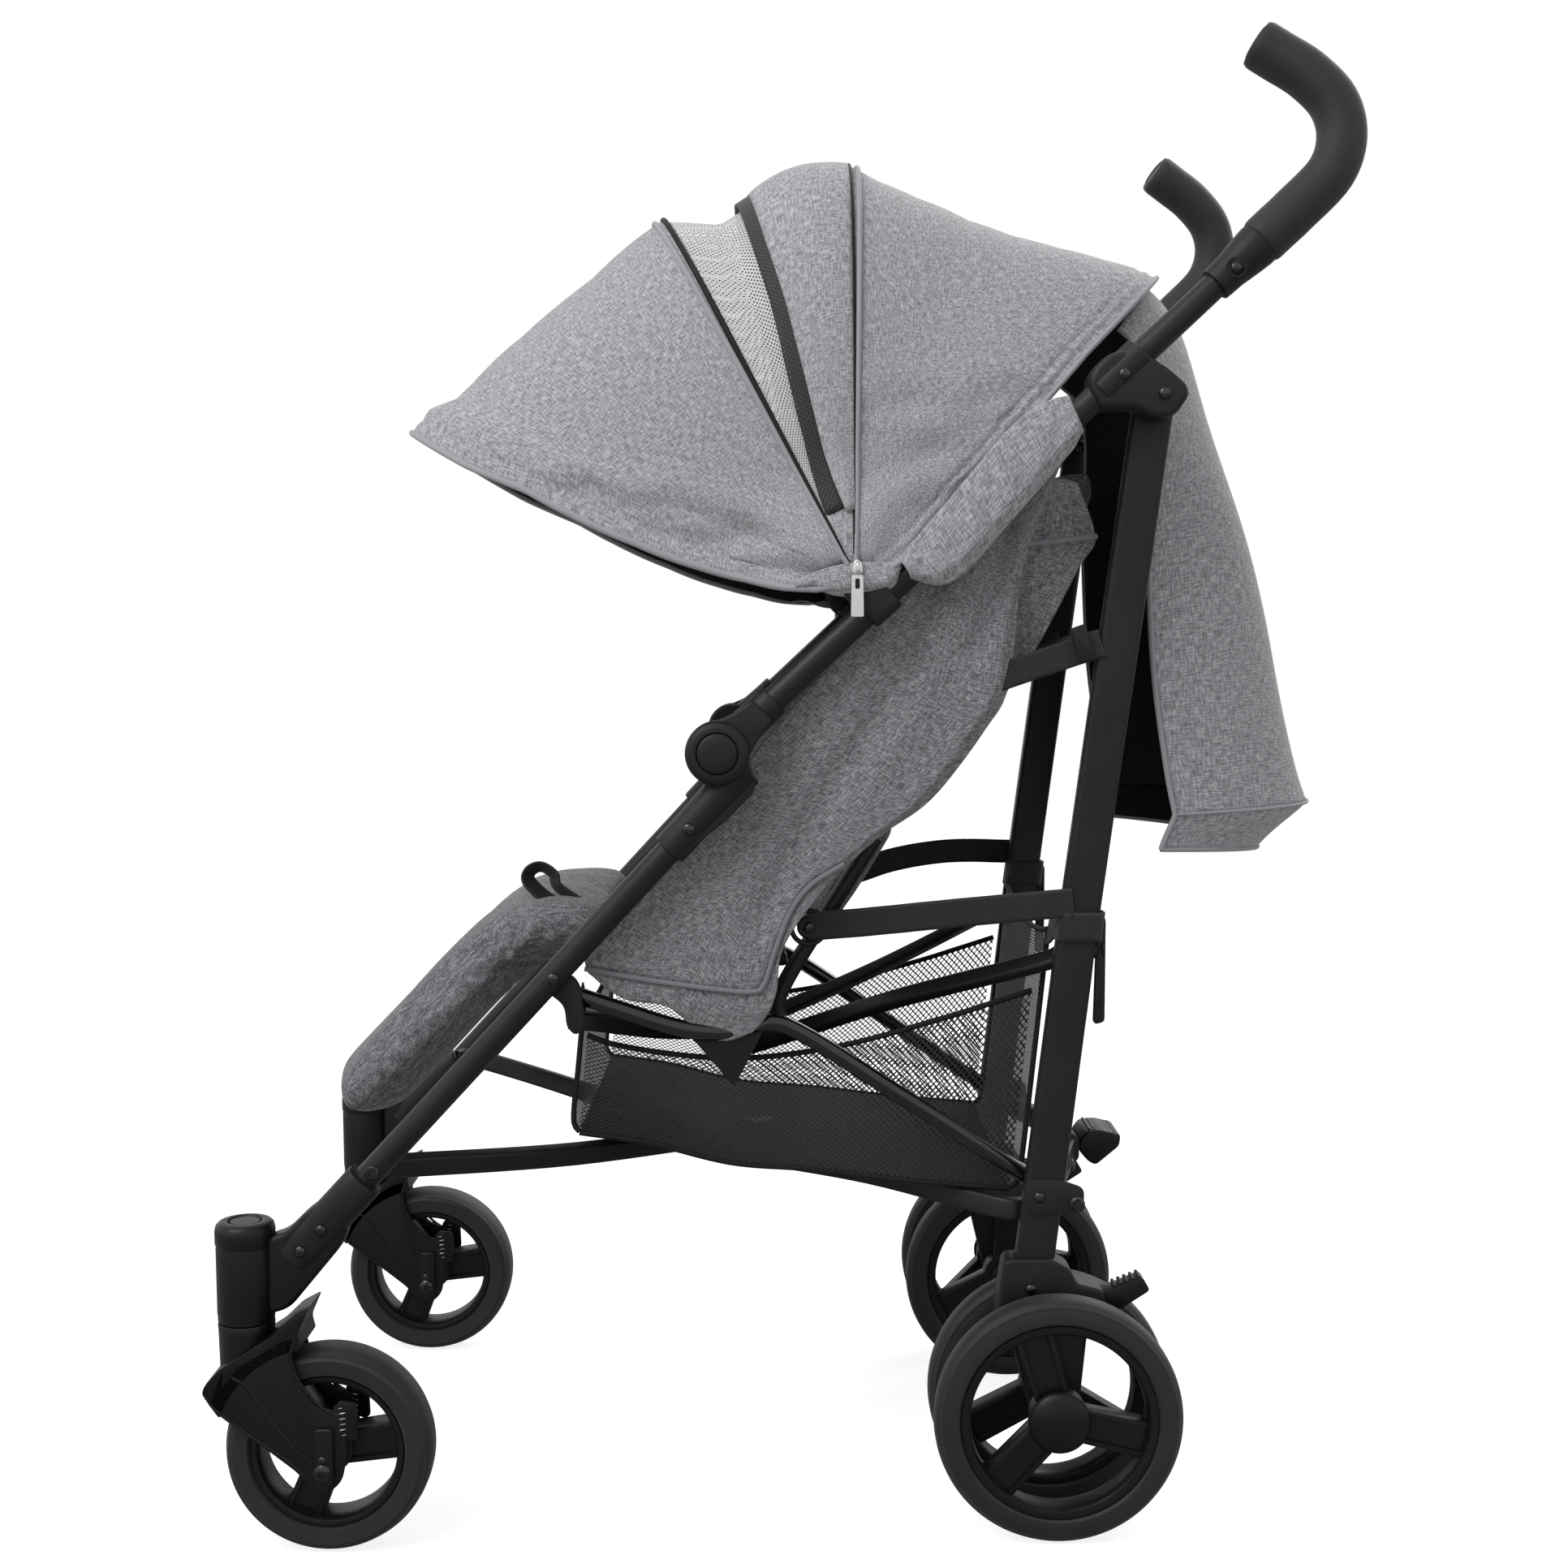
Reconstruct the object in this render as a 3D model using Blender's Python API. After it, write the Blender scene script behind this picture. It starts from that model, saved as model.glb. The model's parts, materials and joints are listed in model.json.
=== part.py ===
"""Umbrella-fold buggy in one frame: +Z up, +X the buggy's left, -Y the front, floor at z = 0.

Every separate piece is one object. Pieces that move hang from an empty on their joint's axis.
Lengths are metres. Side shapes are outlines of (y, z) points.
"""
import math

import bmesh
import bpy
from mathutils import Vector

# Overall lines
TRACK_X = 0.200
GAP = 0.0003
PIN_GAP = 0.0003
TUBE_RADIUS = 0.0095
SOCKET_WALL = 0.0030
FRONT_TUBE_ANGLE = math.radians(47.3)
HANDLE_ANGLE = math.radians(43.2)

# Main pivots, as (y, z)
HUB = (-0.0468, 0.5787)
LEG_PIVOT = (0.2640, 0.8290)
LINK_FRONT = (-0.1600, 0.4050)
BRACE_FRONT = (-0.1500, 0.3800)
CANOPY_PIVOT = (0.0500, 0.7000)
BACKREST_PIVOT = (-0.0010, 0.3775)
BRAKE_PIVOT = (0.2310, 0.1710)
FOLD_PEDAL_PIVOT = (0.2440, 0.2470)
LOWER_BRACE_FRONT = (-0.2890, 0.2755)
CASTER_Y = -0.3890

# Hub
HUB_RADIUS = 0.0225
HUB_CLEAR_RADIUS = 0.0234
HUB_INNER_X = TRACK_X - 0.0130
HUB_SPLIT_X = TRACK_X + 0.0001
HUB_OUTER_X = TRACK_X + 0.0215
HUB_BUTTON_RADIUS = 0.0140
HUB_BUTTON_RISE = 0.0025
HUB_PIN_RADIUS = 0.0060
HUB_EDGE_CHAMFER = 0.0020
FRONT_TUBE_OFFSET = 0.0217
FRONT_TUBE_TOP = 0.0220
LOWER_SLEEVE_END = 0.0750
UPPER_SLEEVE_START = 0.0237
UPPER_SLEEVE_END = 0.0546
HANDLE_TUBE_START = 0.0300
WEB_INSET = 0.0005
BORE_OVERRUN = 0.0100

# Front tube end and caster housing
FRONT_TUBE_END = 0.4700
CASTER_SLEEVE_START = 0.4000
CASTER_SLEEVE_END = 0.4760
CASTER_RADIUS = 0.0205
CASTER_CAP_RADIUS = 0.0211
CASTER_BOTTOM_Z = 0.1680
CASTER_CAP_Z = 0.2250
CASTER_TOP_Z = 0.2410
CASTER_CAP_RECESS_RADIUS = 0.0120
CASTER_CAP_RECESS_DEPTH = 0.0020
CASTER_ARM_HALF_WIDTH = 0.0090
SWIVEL_PIN_RADIUS = 0.0060
SWIVEL_PIN_TOP_Z = 0.2080

# Front fork, wheel and suspension
FRONT_WHEEL_Y = -0.3290
FRONT_WHEEL_RADIUS = 0.0750
FRONT_WHEEL_WIDTH = 0.0360
FORK_GAP_HALF = 0.0187
FORK_HALF_WIDTH = 0.0225
FORK_WHEEL_CLEARANCE = 0.0045
FORK_STEM_RADIUS_TOP = 0.0205
FORK_STEM_RADIUS_BOTTOM = 0.0190
FORK_STEM_BOTTOM_Z = 0.1300
SUSPENSION_TRAVEL = 0.0040
FRONT_AXLE_RADIUS = 0.0040
CARRIER_BAR_HALF_WIDTH = 0.0065
CARRIER_BAR_BOTTOM_Z = 0.0560
CARRIER_BAR_TOP_Z = 0.0950
CARRIER_BAR_THICKNESS = 0.0030

# Rear wheels and feet
REAR_WHEEL_Y = 0.2005
REAR_WHEEL_RADIUS = 0.0910
REAR_OUTER_LANE = (TRACK_X - 0.0230, TRACK_X + 0.0050)
REAR_INNER_LANE = (TRACK_X - 0.0830, TRACK_X - 0.0550)
FOOT_LANE = (TRACK_X - 0.0520, TRACK_X - 0.0260)
REAR_AXLE_RADIUS = 0.0050
REAR_AXLE_SPAN = (TRACK_X - 0.0780, TRACK_X)
WHEEL_SEGMENTS = 24
WHEEL_HUB_RADIUS = 0.0190
WHEEL_RIM_FRACTION = 0.72
WHEEL_RIM_WALL = 0.0030
WHEEL_SPOKES = 3
WHEEL_SPOKE_HALF_WIDTH = 0.0130
FRONT_SPOKE_TURN = math.radians(8.0)
REAR_OUTER_SPOKE_TURN = math.radians(107.0)
REAR_INNER_SPOKE_TURN = math.radians(88.0)
WHEEL_SHOULDER = 0.0060
WHEEL_DISH = 0.0040

# Rear legs and their fittings
LEG_WIDTH = 0.0290
LEG_THICKNESS = 0.0150
LEG_TOP_X = TRACK_X - 0.0285
LEG_LINE = ((0.2658, 0.8420), (0.2183, 0.4780), (0.2081, 0.3910), (0.1830, 0.1760))
LEG_BOTTOM_X = TRACK_X - 0.0390
LEG_LEAN_SPAN_Z = (0.1700, 0.8400)
LEG_CHAMFER = 0.0030
LEG_PIN_RADIUS = 0.0040
LEG_RELIEF_Z = 0.8060
LEG_RELIEF_DEPTH = 0.0011
BRACKET_EAR_X = LEG_TOP_X + LEG_THICKNESS / 2 + 0.0005
BRACKET_SLEEVE_HALF_LENGTH = 0.0180
BRACKET_CENTRE = 0.3868

# Grip and connector
GRIP_RADIUS = 0.0170
CONNECTOR_START = 0.4756
CONNECTOR_END = 0.5178
CONNECTOR_RADIUS = 0.0160
HANDLE_TUBE_END = 0.5050
SPIGOT_RADIUS = 0.0095
SPIGOT_END = 0.5400
GRIP_LEAN = 0.0150

# Backrest tubes and pedals
BACKREST_X = TRACK_X - 0.0535
BACKREST_TUBE_RADIUS = 0.0060
PEDAL_LANE = (TRACK_X - 0.0470, TRACK_X - 0.0310)
PEDAL_PIN_RADIUS = 0.0025
PEDAL_SIDE_GAP = 0.0006
FOLD_HOUSING_HALF_WIDTH = 0.0290
FOLD_PEDAL_HALF_WIDTH = 0.0225

# Link tubes and braces
LINK_RADIUS = 0.0065
LINK_FRONT_X = TRACK_X - 0.0200
LINK_KNEE_X = TRACK_X - 0.0350
LINK_REAR_X = TRACK_X - 0.0540
LINK_PIN_RADIUS = 0.0035
BRACE_WIDTH = 0.0120
BRACE_HEIGHT = 0.0160
BRACE_CROSS_OFFSET = 0.0085
BRACE_CHAMFER = 0.0020
BRACE_CROSS_X = 0.0080
BRACE_FRONT_X = TRACK_X - 0.0360
UPPER_BRACE_REAR_X = TRACK_X - 0.0510
LOWER_BRACE_X = TRACK_X - 0.0200
LOWER_BRACE_REAR_X = TRACK_X - 0.0540
BRACE_CLIP_CENTRE = 0.1963
BRACE_CLIP_HALF_LENGTH = 0.0160
UPPER_BRACE_WIDTH = 0.0100
UPPER_BRACE_HEIGHT = 0.0140
UPPER_BRACE_OFFSET = 0.0075

# Canopy
CANOPY_HALF_WIDTH = TRACK_X - 0.0015
CANOPY_POWER = 3.2
BOW_RADIUS = 0.0030
BOW_EYE_RADIUS = 0.0080
FRONT_BOW_ANGLE = math.radians(160.3)
BOW_EYE_HALF_LENGTH = 0.0035
FRONT_BOW_HALF_WIDTH = TRACK_X
MID_BOW_HALF_WIDTH = TRACK_X - 0.0080
CANOPY_PIN_RADIUS = 0.0030
CANOPY_CLIP_CENTRE = 0.1540
CANOPY_CLIP_HALF_LENGTH = 0.0110
CANOPY_FOOT_RADIUS = 0.0450
SEAM_GAP = 0.00065
FLAP_SEAM_GAP = 0.0016
MID_BOW_ANGLE = math.radians(117.5)
TOP_SEAM_ANGLE = math.radians(90.0)
REAR_EDGE_ANGLE = math.radians(46.0)
CANOPY_CLOTH = 0.0030
BOW_CLOTH_GAP = 0.0040

# Soft goods
CALF_PAD_HALF_WIDTH = TRACK_X - 0.0600
BACKREST_PAD_HALF_WIDTH = BACKREST_X - BACKREST_TUBE_RADIUS - GAP
PAD_THICKNESS = 0.0300
SEAT_PAD_THICKNESS = 0.0240
SIDE_PANEL_LANE = (TRACK_X - 0.0200, TRACK_X - 0.0135)
BASKET_SIDE_GAP = 0.0035
BASKET_HALF_WIDTH = LINK_REAR_X - LINK_RADIUS - BASKET_SIDE_GAP
BASKET_WALL = 0.0035
FLAP_HALF_WIDTH = TRACK_X - 0.0530
STRAP_THICKNESS = 0.0020
STRAP_HALF_WIDTH = 0.0100
STRAP_END_X = TRACK_X - 0.0406
CABLE_RADIUS = 0.0025

COLOURS = {
    "frame_paint": ((0.035, 0.035, 0.038), 0.45, 0.0),
    "link_metal": ((0.45, 0.46, 0.47), 0.30, 1.0),
    "black_plastic": ((0.030, 0.030, 0.032), 0.55, 0.0),
    "grey_plastic": ((0.10, 0.10, 0.105), 0.50, 0.0),
    "grip_foam": ((0.022, 0.022, 0.022), 0.90, 0.0),
    "tyre_foam": ((0.030, 0.030, 0.031), 0.80, 0.0),
    "grey_cloth": ((0.17, 0.175, 0.18), 0.95, 0.0),
    "black_mesh": ((0.025, 0.025, 0.026), 0.90, 0.0),
    "pale_mesh": ((0.45, 0.46, 0.47), 0.90, 0.0),
    "webbing": ((0.025, 0.025, 0.026), 0.85, 0.0),
    "cable_jacket": ((0.020, 0.020, 0.020), 0.45, 0.0),
}


def clear_scene():
    for obj in list(bpy.data.objects):
        bpy.data.objects.remove(obj)


def material(name):
    """The named finish, made on first use."""
    found = bpy.data.materials.get(name)
    if found:
        return found
    colour, roughness, metallic = COLOURS[name]
    made = bpy.data.materials.new(name)
    made.use_nodes = True
    shader = made.node_tree.nodes["Principled BSDF"]
    shader.inputs["Base Color"].default_value = (*colour, 1.0)
    shader.inputs["Roughness"].default_value = roughness
    shader.inputs["Metallic"].default_value = metallic
    return made


class Pivot:
    """An empty on a joint's axis, with its place in world coordinates."""

    def __init__(self, name, point, parent=None):
        self.point = Vector(point)
        self.empty = bpy.data.objects.new(name, None)
        bpy.context.scene.collection.objects.link(self.empty)
        self.empty.empty_display_size = 0.02
        if parent is None:
            self.empty.location = self.point
        else:
            self.empty.parent = parent.empty
            self.empty.location = self.point - parent.point


def solid(bm):
    """A loose mesh object, in world coordinates, with its faces turned outward."""
    bmesh.ops.recalc_face_normals(bm, faces=bm.faces)
    mesh = bpy.data.meshes.new("shape")
    bm.to_mesh(mesh)
    bm.free()
    obj = bpy.data.objects.new("shape", mesh)
    bpy.context.scene.collection.objects.link(obj)
    return obj


def combine(base, other, operation):
    """base with other joined, cut or kept in common; other is used up."""
    modifier = base.modifiers.new("combine", "BOOLEAN")
    modifier.solver = "EXACT"
    modifier.operation = operation
    modifier.object = other
    bpy.context.view_layer.update()
    graph = bpy.context.evaluated_depsgraph_get()
    result = bpy.data.meshes.new_from_object(base.evaluated_get(graph))
    base.modifiers.clear()
    base.data = result
    bpy.data.objects.remove(other)
    return base


def join(base, *others):
    for other in others:
        combine(base, other, "UNION")
    return base


def cut(base, *others):
    for other in others:
        combine(base, other, "DIFFERENCE")
    return base


def place(obj, name, finish, pivot, smooth=35.0):
    """Names the shape, gives it its finish, and sets its origin on the pivot's axis."""
    obj.name = name
    obj.data.name = name
    obj.data.materials.clear()
    obj.data.materials.append(material(finish))
    obj.data.shade_smooth()
    obj.data.set_sharp_from_angle(angle=math.radians(smooth))
    for vertex in obj.data.vertices:
        vertex.co -= pivot.point
    obj.parent = pivot.empty
    obj.location = (0.0, 0.0, 0.0)
    return obj


def mirrored(obj):
    """A copy of the shape on the other side of the buggy."""
    bm = bmesh.new()
    bm.from_mesh(obj.data)
    for vertex in bm.verts:
        vertex.co.x = -vertex.co.x
    bmesh.ops.reverse_faces(bm, faces=bm.faces)
    return solid(bm)


def place_pair(obj, name, finish, left_pivot, right_pivot=None):
    other = mirrored(obj)
    place(obj, name + "_left", finish, left_pivot)
    place(other, name + "_right", finish, right_pivot or left_pivot)


def along(start, angle, distance, offset=0.0):
    """The (y, z) point at a distance along a slanted line, and offset to its upper left."""
    y = start[0] + distance * math.cos(angle) - offset * math.sin(angle)
    z = start[1] + distance * math.sin(angle) + offset * math.cos(angle)
    return (y, z)


def at(x, yz):
    return Vector((x, yz[0], yz[1]))


def prism(outline, x0, x1, bevel=0.0):
    """A side outline carried from x0 to x1, with its two faces' edges bevelled if asked."""
    bm = bmesh.new()
    near = [bm.verts.new((x0, y, z)) for y, z in outline]
    far = [bm.verts.new((x1, y, z)) for y, z in outline]
    faces = [bm.faces.new(near), bm.faces.new(far)]
    for i in range(len(outline)):
        j = (i + 1) % len(outline)
        bm.faces.new((near[i], near[j], far[j], far[i]))
    bmesh.ops.recalc_face_normals(bm, faces=bm.faces)
    if bevel:
        edges = list({edge for face in faces for edge in face.edges})
        bmesh.ops.bevel(bm, geom=edges, offset=bevel, segments=1, profile=0.5, affect="EDGES")
    return solid(bm)


def sweep_rings(points, section, side):
    """Rings of the section along the points, mitred at the bends."""
    rings = []
    for i, point in enumerate(points):
        before = (point - points[i - 1]).normalized() if i else None
        after = (points[i + 1] - point).normalized() if i + 1 < len(points) else None
        forward = ((before or after) + (after or before)).normalized()
        across = (side - forward * side.dot(forward)).normalized()
        up = across.cross(forward)
        stretch = 1.0
        if before and after:
            stretch = 1.0 / max(0.5, math.sqrt((1.0 + before.dot(after)) / 2.0))
        bend = (after - before) if before and after else Vector()
        bends_up = abs(bend.dot(up)) >= abs(bend.dot(across))
        wide, high = (1.0, stretch) if bends_up else (stretch, 1.0)
        rings.append([point + across * (a * wide) + up * (b * high) for a, b in section])
    return rings


def skin(bm, rings):
    """Closes a row of equal rings into one body with flat ends."""
    made = [[bm.verts.new(point) for point in ring] for ring in rings]
    for first, second in zip(made, made[1:]):
        for i in range(len(first)):
            j = (i + 1) % len(first)
            bm.faces.new((first[i], first[j], second[j], second[i]))
    bm.faces.new(made[0])
    bm.faces.new(made[-1])


def sweep(points, section, side=(1.0, 0.0, 0.0)):
    bm = bmesh.new()
    skin(bm, sweep_rings([Vector(p) for p in points], section, Vector(side)))
    return solid(bm)


def circle(radius, sides):
    step = math.tau / sides
    return [(radius * math.cos(i * step), radius * math.sin(i * step)) for i in range(sides)]


def rectangle(width, height, chamfer=0.0):
    """A section's corners, cut off by the chamfer if there is one."""
    w, h, c = width / 2.0, height / 2.0, chamfer
    if not c:
        return [(-w, -h), (w, -h), (w, h), (-w, h)]
    return [(-w + c, -h), (w - c, -h), (w, -h + c), (w, h - c),
            (w - c, h), (-w + c, h), (-w, h - c), (-w, -h + c)]


def rod(start, end, radius, sides=12, end_radius=None):
    """A straight round bar, or a cone if its end has a radius of its own."""
    start, end = Vector(start), Vector(end)
    axis = (end - start).normalized()
    side = Vector((1.0, 0.0, 0.0)) if abs(axis.x) < 0.9 else Vector((0.0, 1.0, 0.0))
    across = (side - axis * side.dot(axis)).normalized()
    up = across.cross(axis)
    bm = bmesh.new()
    rings = []
    for point, size in ((start, radius), (end, end_radius or radius)):
        rings.append([point + across * a + up * b for a, b in circle(size, sides)])
    skin(bm, rings)
    return solid(bm)


def cross_rod(yz, x0, x1, radius, sides=16):
    return rod(at(x0, yz), at(x1, yz), radius, sides)


def turned(profile, centre, segments):
    """A closed (radius, x) profile turned round a lateral axis through the (y, z) centre."""
    bm = bmesh.new()
    step = math.tau / segments
    rings = []
    for radius, x in profile:
        if radius == 0.0:
            rings.append([bm.verts.new(at(x, centre))])
            continue
        ring = []
        for i in range(segments):
            y = centre[0] + radius * math.cos(i * step)
            z = centre[1] + radius * math.sin(i * step)
            ring.append(bm.verts.new((x, y, z)))
        rings.append(ring)
    pairs = list(zip(rings, rings[1:] + rings[:1]))
    for first, second in pairs:
        for i in range(segments):
            j = (i + 1) % segments
            corners = [first[i % len(first)], first[j % len(first)],
                       second[j % len(second)], second[i % len(second)]]
            corners = list(dict.fromkeys(corners))
            if len(corners) > 2:
                bm.faces.new(corners)
    return solid(bm)


def shell(grid, thickness):
    """A grid of points made into a closed sheet, half its thickness to each side."""
    rows, columns = len(grid), len(grid[0])
    upper, lower = [], []
    for i in range(rows):
        top, bottom = [], []
        for j in range(columns):
            along_rows = grid[min(i + 1, rows - 1)][j] - grid[max(i - 1, 0)][j]
            along_columns = grid[i][min(j + 1, columns - 1)] - grid[i][max(j - 1, 0)]
            normal = along_rows.cross(along_columns).normalized() * (thickness / 2.0)
            top.append(grid[i][j] + normal)
            bottom.append(grid[i][j] - normal)
        upper.append(top)
        lower.append(bottom)
    bm = bmesh.new()
    up = [[bm.verts.new(p) for p in row] for row in upper]
    down = [[bm.verts.new(p) for p in row] for row in lower]
    for i in range(rows - 1):
        for j in range(columns - 1):
            bm.faces.new((up[i][j], up[i][j + 1], up[i + 1][j + 1], up[i + 1][j]))
            bm.faces.new((down[i][j], down[i + 1][j], down[i + 1][j + 1], down[i][j + 1]))
    for i in range(rows - 1):
        bm.faces.new((up[i][0], up[i + 1][0], down[i + 1][0], down[i][0]))
        bm.faces.new((up[i][-1], down[i][-1], down[i + 1][-1], up[i + 1][-1]))
    for j in range(columns - 1):
        bm.faces.new((up[0][j], down[0][j], down[0][j + 1], up[0][j + 1]))
        bm.faces.new((up[-1][j], up[-1][j + 1], down[-1][j + 1], down[-1][j]))
    return solid(bm)


def front_tube_start():
    """The front tube's line starts below the hub, offset to its lower right."""
    return along(HUB, FRONT_TUBE_ANGLE, 0.0, -FRONT_TUBE_OFFSET)


def on_front_tube(distance, offset=0.0):
    return along(front_tube_start(), FRONT_TUBE_ANGLE, -distance, offset)


def on_handle(distance, offset=0.0):
    return along(HUB, HANDLE_ANGLE, distance, offset)


def make_front_tube(pivot):
    tube = rod(at(TRACK_X, on_front_tube(FRONT_TUBE_TOP)),
               at(TRACK_X, on_front_tube(FRONT_TUBE_END)), TUBE_RADIUS, 16)
    brace_pin = cross_rod(LOWER_BRACE_FRONT, LOWER_BRACE_X - BRACE_WIDTH / 2 - 0.002,
                          TRACK_X - 0.005, LINK_PIN_RADIUS, 12)
    join(tube, brace_pin)
    place_pair(tube, "front_tube", "frame_paint", pivot)


def make_elbow_lower(pivot):
    """The hub's lower half: an ear on the axis and a sleeve round the front tube."""
    sleeve = rod(at(TRACK_X, on_front_tube(0.0)), at(TRACK_X, on_front_tube(LOWER_SLEEVE_END)),
                 TUBE_RADIUS + SOCKET_WALL, 16)
    ear = cross_rod(HUB, HUB_INNER_X, HUB_SPLIT_X - GAP, HUB_RADIUS, 24)
    web_outline = [on_front_tube(0.003, -0.010), on_front_tube(0.001, FRONT_TUBE_OFFSET),
                   on_front_tube(0.024, FRONT_TUBE_OFFSET - 0.005), on_front_tube(0.060, 0.008),
                   on_front_tube(0.060, -0.009)]
    web = prism(web_outline, HUB_INNER_X + WEB_INSET, HUB_SPLIT_X - 2 * GAP)
    body = join(ear, web, sleeve)
    upper_lane = cross_rod(HUB, HUB_SPLIT_X, TRACK_X + 0.040, HUB_CLEAR_RADIUS, 32)
    tube_bore = rod(at(TRACK_X, on_front_tube(FRONT_TUBE_TOP - GAP)),
                    at(TRACK_X, on_front_tube(LOWER_SLEEVE_END + BORE_OVERRUN)),
                    TUBE_RADIUS + PIN_GAP, 16)
    pin_bore = cross_rod(HUB, HUB_INNER_X - 0.005, HUB_SPLIT_X + 0.005,
                         HUB_PIN_RADIUS + 2 * PIN_GAP, 24)
    cut(body, upper_lane, tube_bore, pin_bore)
    place_pair(body, "elbow_lower", "black_plastic", pivot)


def make_elbow_upper(pivot):
    """The hub's upper half: the round outer ear with its pin, and a sleeve on the handle tube."""
    x0, x1 = HUB_SPLIT_X + GAP, HUB_OUTER_X
    ear = turned([(0.0, x0), (HUB_RADIUS, x0), (HUB_RADIUS, x1 - HUB_EDGE_CHAMFER),
                  (HUB_RADIUS - HUB_EDGE_CHAMFER, x1), (HUB_BUTTON_RADIUS + 0.001, x1),
                  (HUB_BUTTON_RADIUS, x1 + HUB_BUTTON_RISE), (0.0, x1 + HUB_BUTTON_RISE)],
                 HUB, 28)
    pin = cross_rod(HUB, HUB_INNER_X + 0.001, x0 + 0.003, HUB_PIN_RADIUS, 24)
    web_outline = [on_handle(0.004, 0.0130), on_handle(0.004, -0.0130),
                   on_handle(0.040, -0.0070), on_handle(0.040, 0.0070)]
    web = prism(web_outline, x0 + 0.0006, TRACK_X + 0.0085)
    sleeve = rod(at(TRACK_X, on_handle(UPPER_SLEEVE_START)),
                 at(TRACK_X, on_handle(UPPER_SLEEVE_END)), TUBE_RADIUS + SOCKET_WALL - 0.0005, 16)
    bore = rod(at(TRACK_X, on_handle(HANDLE_TUBE_START - GAP)),
               at(TRACK_X, on_handle(UPPER_SLEEVE_END + BORE_OVERRUN)), TUBE_RADIUS + PIN_GAP, 16)
    body = cut(join(web, sleeve), bore)
    join(body, ear, pin)
    place_pair(body, "elbow_upper", "black_plastic", pivot)


def make_handle_tube(pivot):
    tube = rod(at(TRACK_X, on_handle(HANDLE_TUBE_START)),
               at(TRACK_X, on_handle(HANDLE_TUBE_END)), TUBE_RADIUS, 16)
    place_pair(tube, "handle_tube", "frame_paint", pivot)


def make_caster_housing(pivot):
    """The upright swivel housing with its cap, joined to a sleeve on the front tube's end."""
    axis = (CASTER_Y, 0.0)
    bottom = Vector((TRACK_X, axis[0], CASTER_BOTTOM_Z))
    neck = Vector((TRACK_X, axis[0], CASTER_CAP_Z))
    top = Vector((TRACK_X, axis[0], CASTER_TOP_Z))
    body = rod(bottom, neck, CASTER_RADIUS, 24)
    cap = rod(neck - Vector((0, 0, 0.001)), top, CASTER_CAP_RADIUS, 24)
    arm_outline = [(-0.366, 0.173), (-0.317, 0.225), (-0.314, 0.237), (-0.308, 0.255),
                   (-0.322, 0.273), (-0.338, 0.255), (-0.360, 0.237), (-0.385, 0.235),
                   (-0.385, 0.173)]
    arm = prism(arm_outline, TRACK_X - CASTER_ARM_HALF_WIDTH, TRACK_X + CASTER_ARM_HALF_WIDTH)
    sleeve = rod(at(TRACK_X, on_front_tube(CASTER_SLEEVE_START)),
                 at(TRACK_X, on_front_tube(CASTER_SLEEVE_END)), TUBE_RADIUS + SOCKET_WALL, 16)
    join(body, cap, arm, sleeve)
    recess = rod(top - Vector((0, 0, CASTER_CAP_RECESS_DEPTH)), top + Vector((0, 0, 0.004)),
                 CASTER_CAP_RECESS_RADIUS, 20)
    tube_bore = rod(at(TRACK_X, on_front_tube(CASTER_SLEEVE_START - 0.012)),
                    at(TRACK_X, on_front_tube(FRONT_TUBE_END + GAP)), TUBE_RADIUS + PIN_GAP, 16)
    pin_bore = rod(bottom - Vector((0, 0, 0.005)),
                   Vector((TRACK_X, axis[0], SWIVEL_PIN_TOP_Z + GAP)),
                   SWIVEL_PIN_RADIUS + 2 * PIN_GAP, 16)
    cut(body, recess, tube_bore, pin_bore)
    place_pair(body, "caster_housing", "black_plastic", pivot)


def make_fork(left, right):
    """Two plates over the wheel, joined by the crown and the swivel stem above it."""
    outline = [(-0.401, 0.140), (-0.413, 0.129), (-0.417, 0.121), (-0.409, 0.110),
               (-0.395, 0.099), (-0.348, 0.062), (-0.338, 0.050), (-0.326, 0.048),
               (-0.317, 0.056), (-0.312, 0.080), (-0.316, 0.106), (-0.334, 0.110),
               (-0.348, 0.130), (-0.354, 0.150), (-0.348, 0.164), (-0.339, 0.182),
               (-0.353, 0.174), (-0.366, 0.160), (-0.380, 0.150)]
    body = prism(outline, TRACK_X - FORK_HALF_WIDTH, TRACK_X + FORK_HALF_WIDTH)
    centre = Vector((TRACK_X, CASTER_Y, 0.0))
    stem = rod(centre + Vector((0, 0, FORK_STEM_BOTTOM_Z)),
               centre + Vector((0, 0, CASTER_BOTTOM_Z - GAP)),
               FORK_STEM_RADIUS_BOTTOM, 20, FORK_STEM_RADIUS_TOP)
    pin = rod(centre + Vector((0, 0, CASTER_BOTTOM_Z - 0.010)),
              centre + Vector((0, 0, SWIVEL_PIN_TOP_Z)), SWIVEL_PIN_RADIUS, 16)
    join(body, stem, pin)
    wheel_centre = (FRONT_WHEEL_Y, FRONT_WHEEL_RADIUS)
    wheel_space = cross_rod(wheel_centre, TRACK_X - FORK_GAP_HALF, TRACK_X + FORK_GAP_HALF,
                            FRONT_WHEEL_RADIUS + FORK_WHEEL_CLEARANCE, 36)
    low, high = FRONT_WHEEL_RADIUS, FRONT_WHEEL_RADIUS + SUSPENSION_TRAVEL
    half = FRONT_AXLE_RADIUS + 2 * PIN_GAP
    slot_outline = [(FRONT_WHEEL_Y - half, low - half), (FRONT_WHEEL_Y + half, low - half),
                    (FRONT_WHEEL_Y + half, high + half), (FRONT_WHEEL_Y - half, high + half)]
    slot = prism(slot_outline, TRACK_X - 0.040, TRACK_X + 0.040)
    cut(body, wheel_space, slot)
    place_pair(body, "caster_fork", "black_plastic", left, right)


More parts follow.
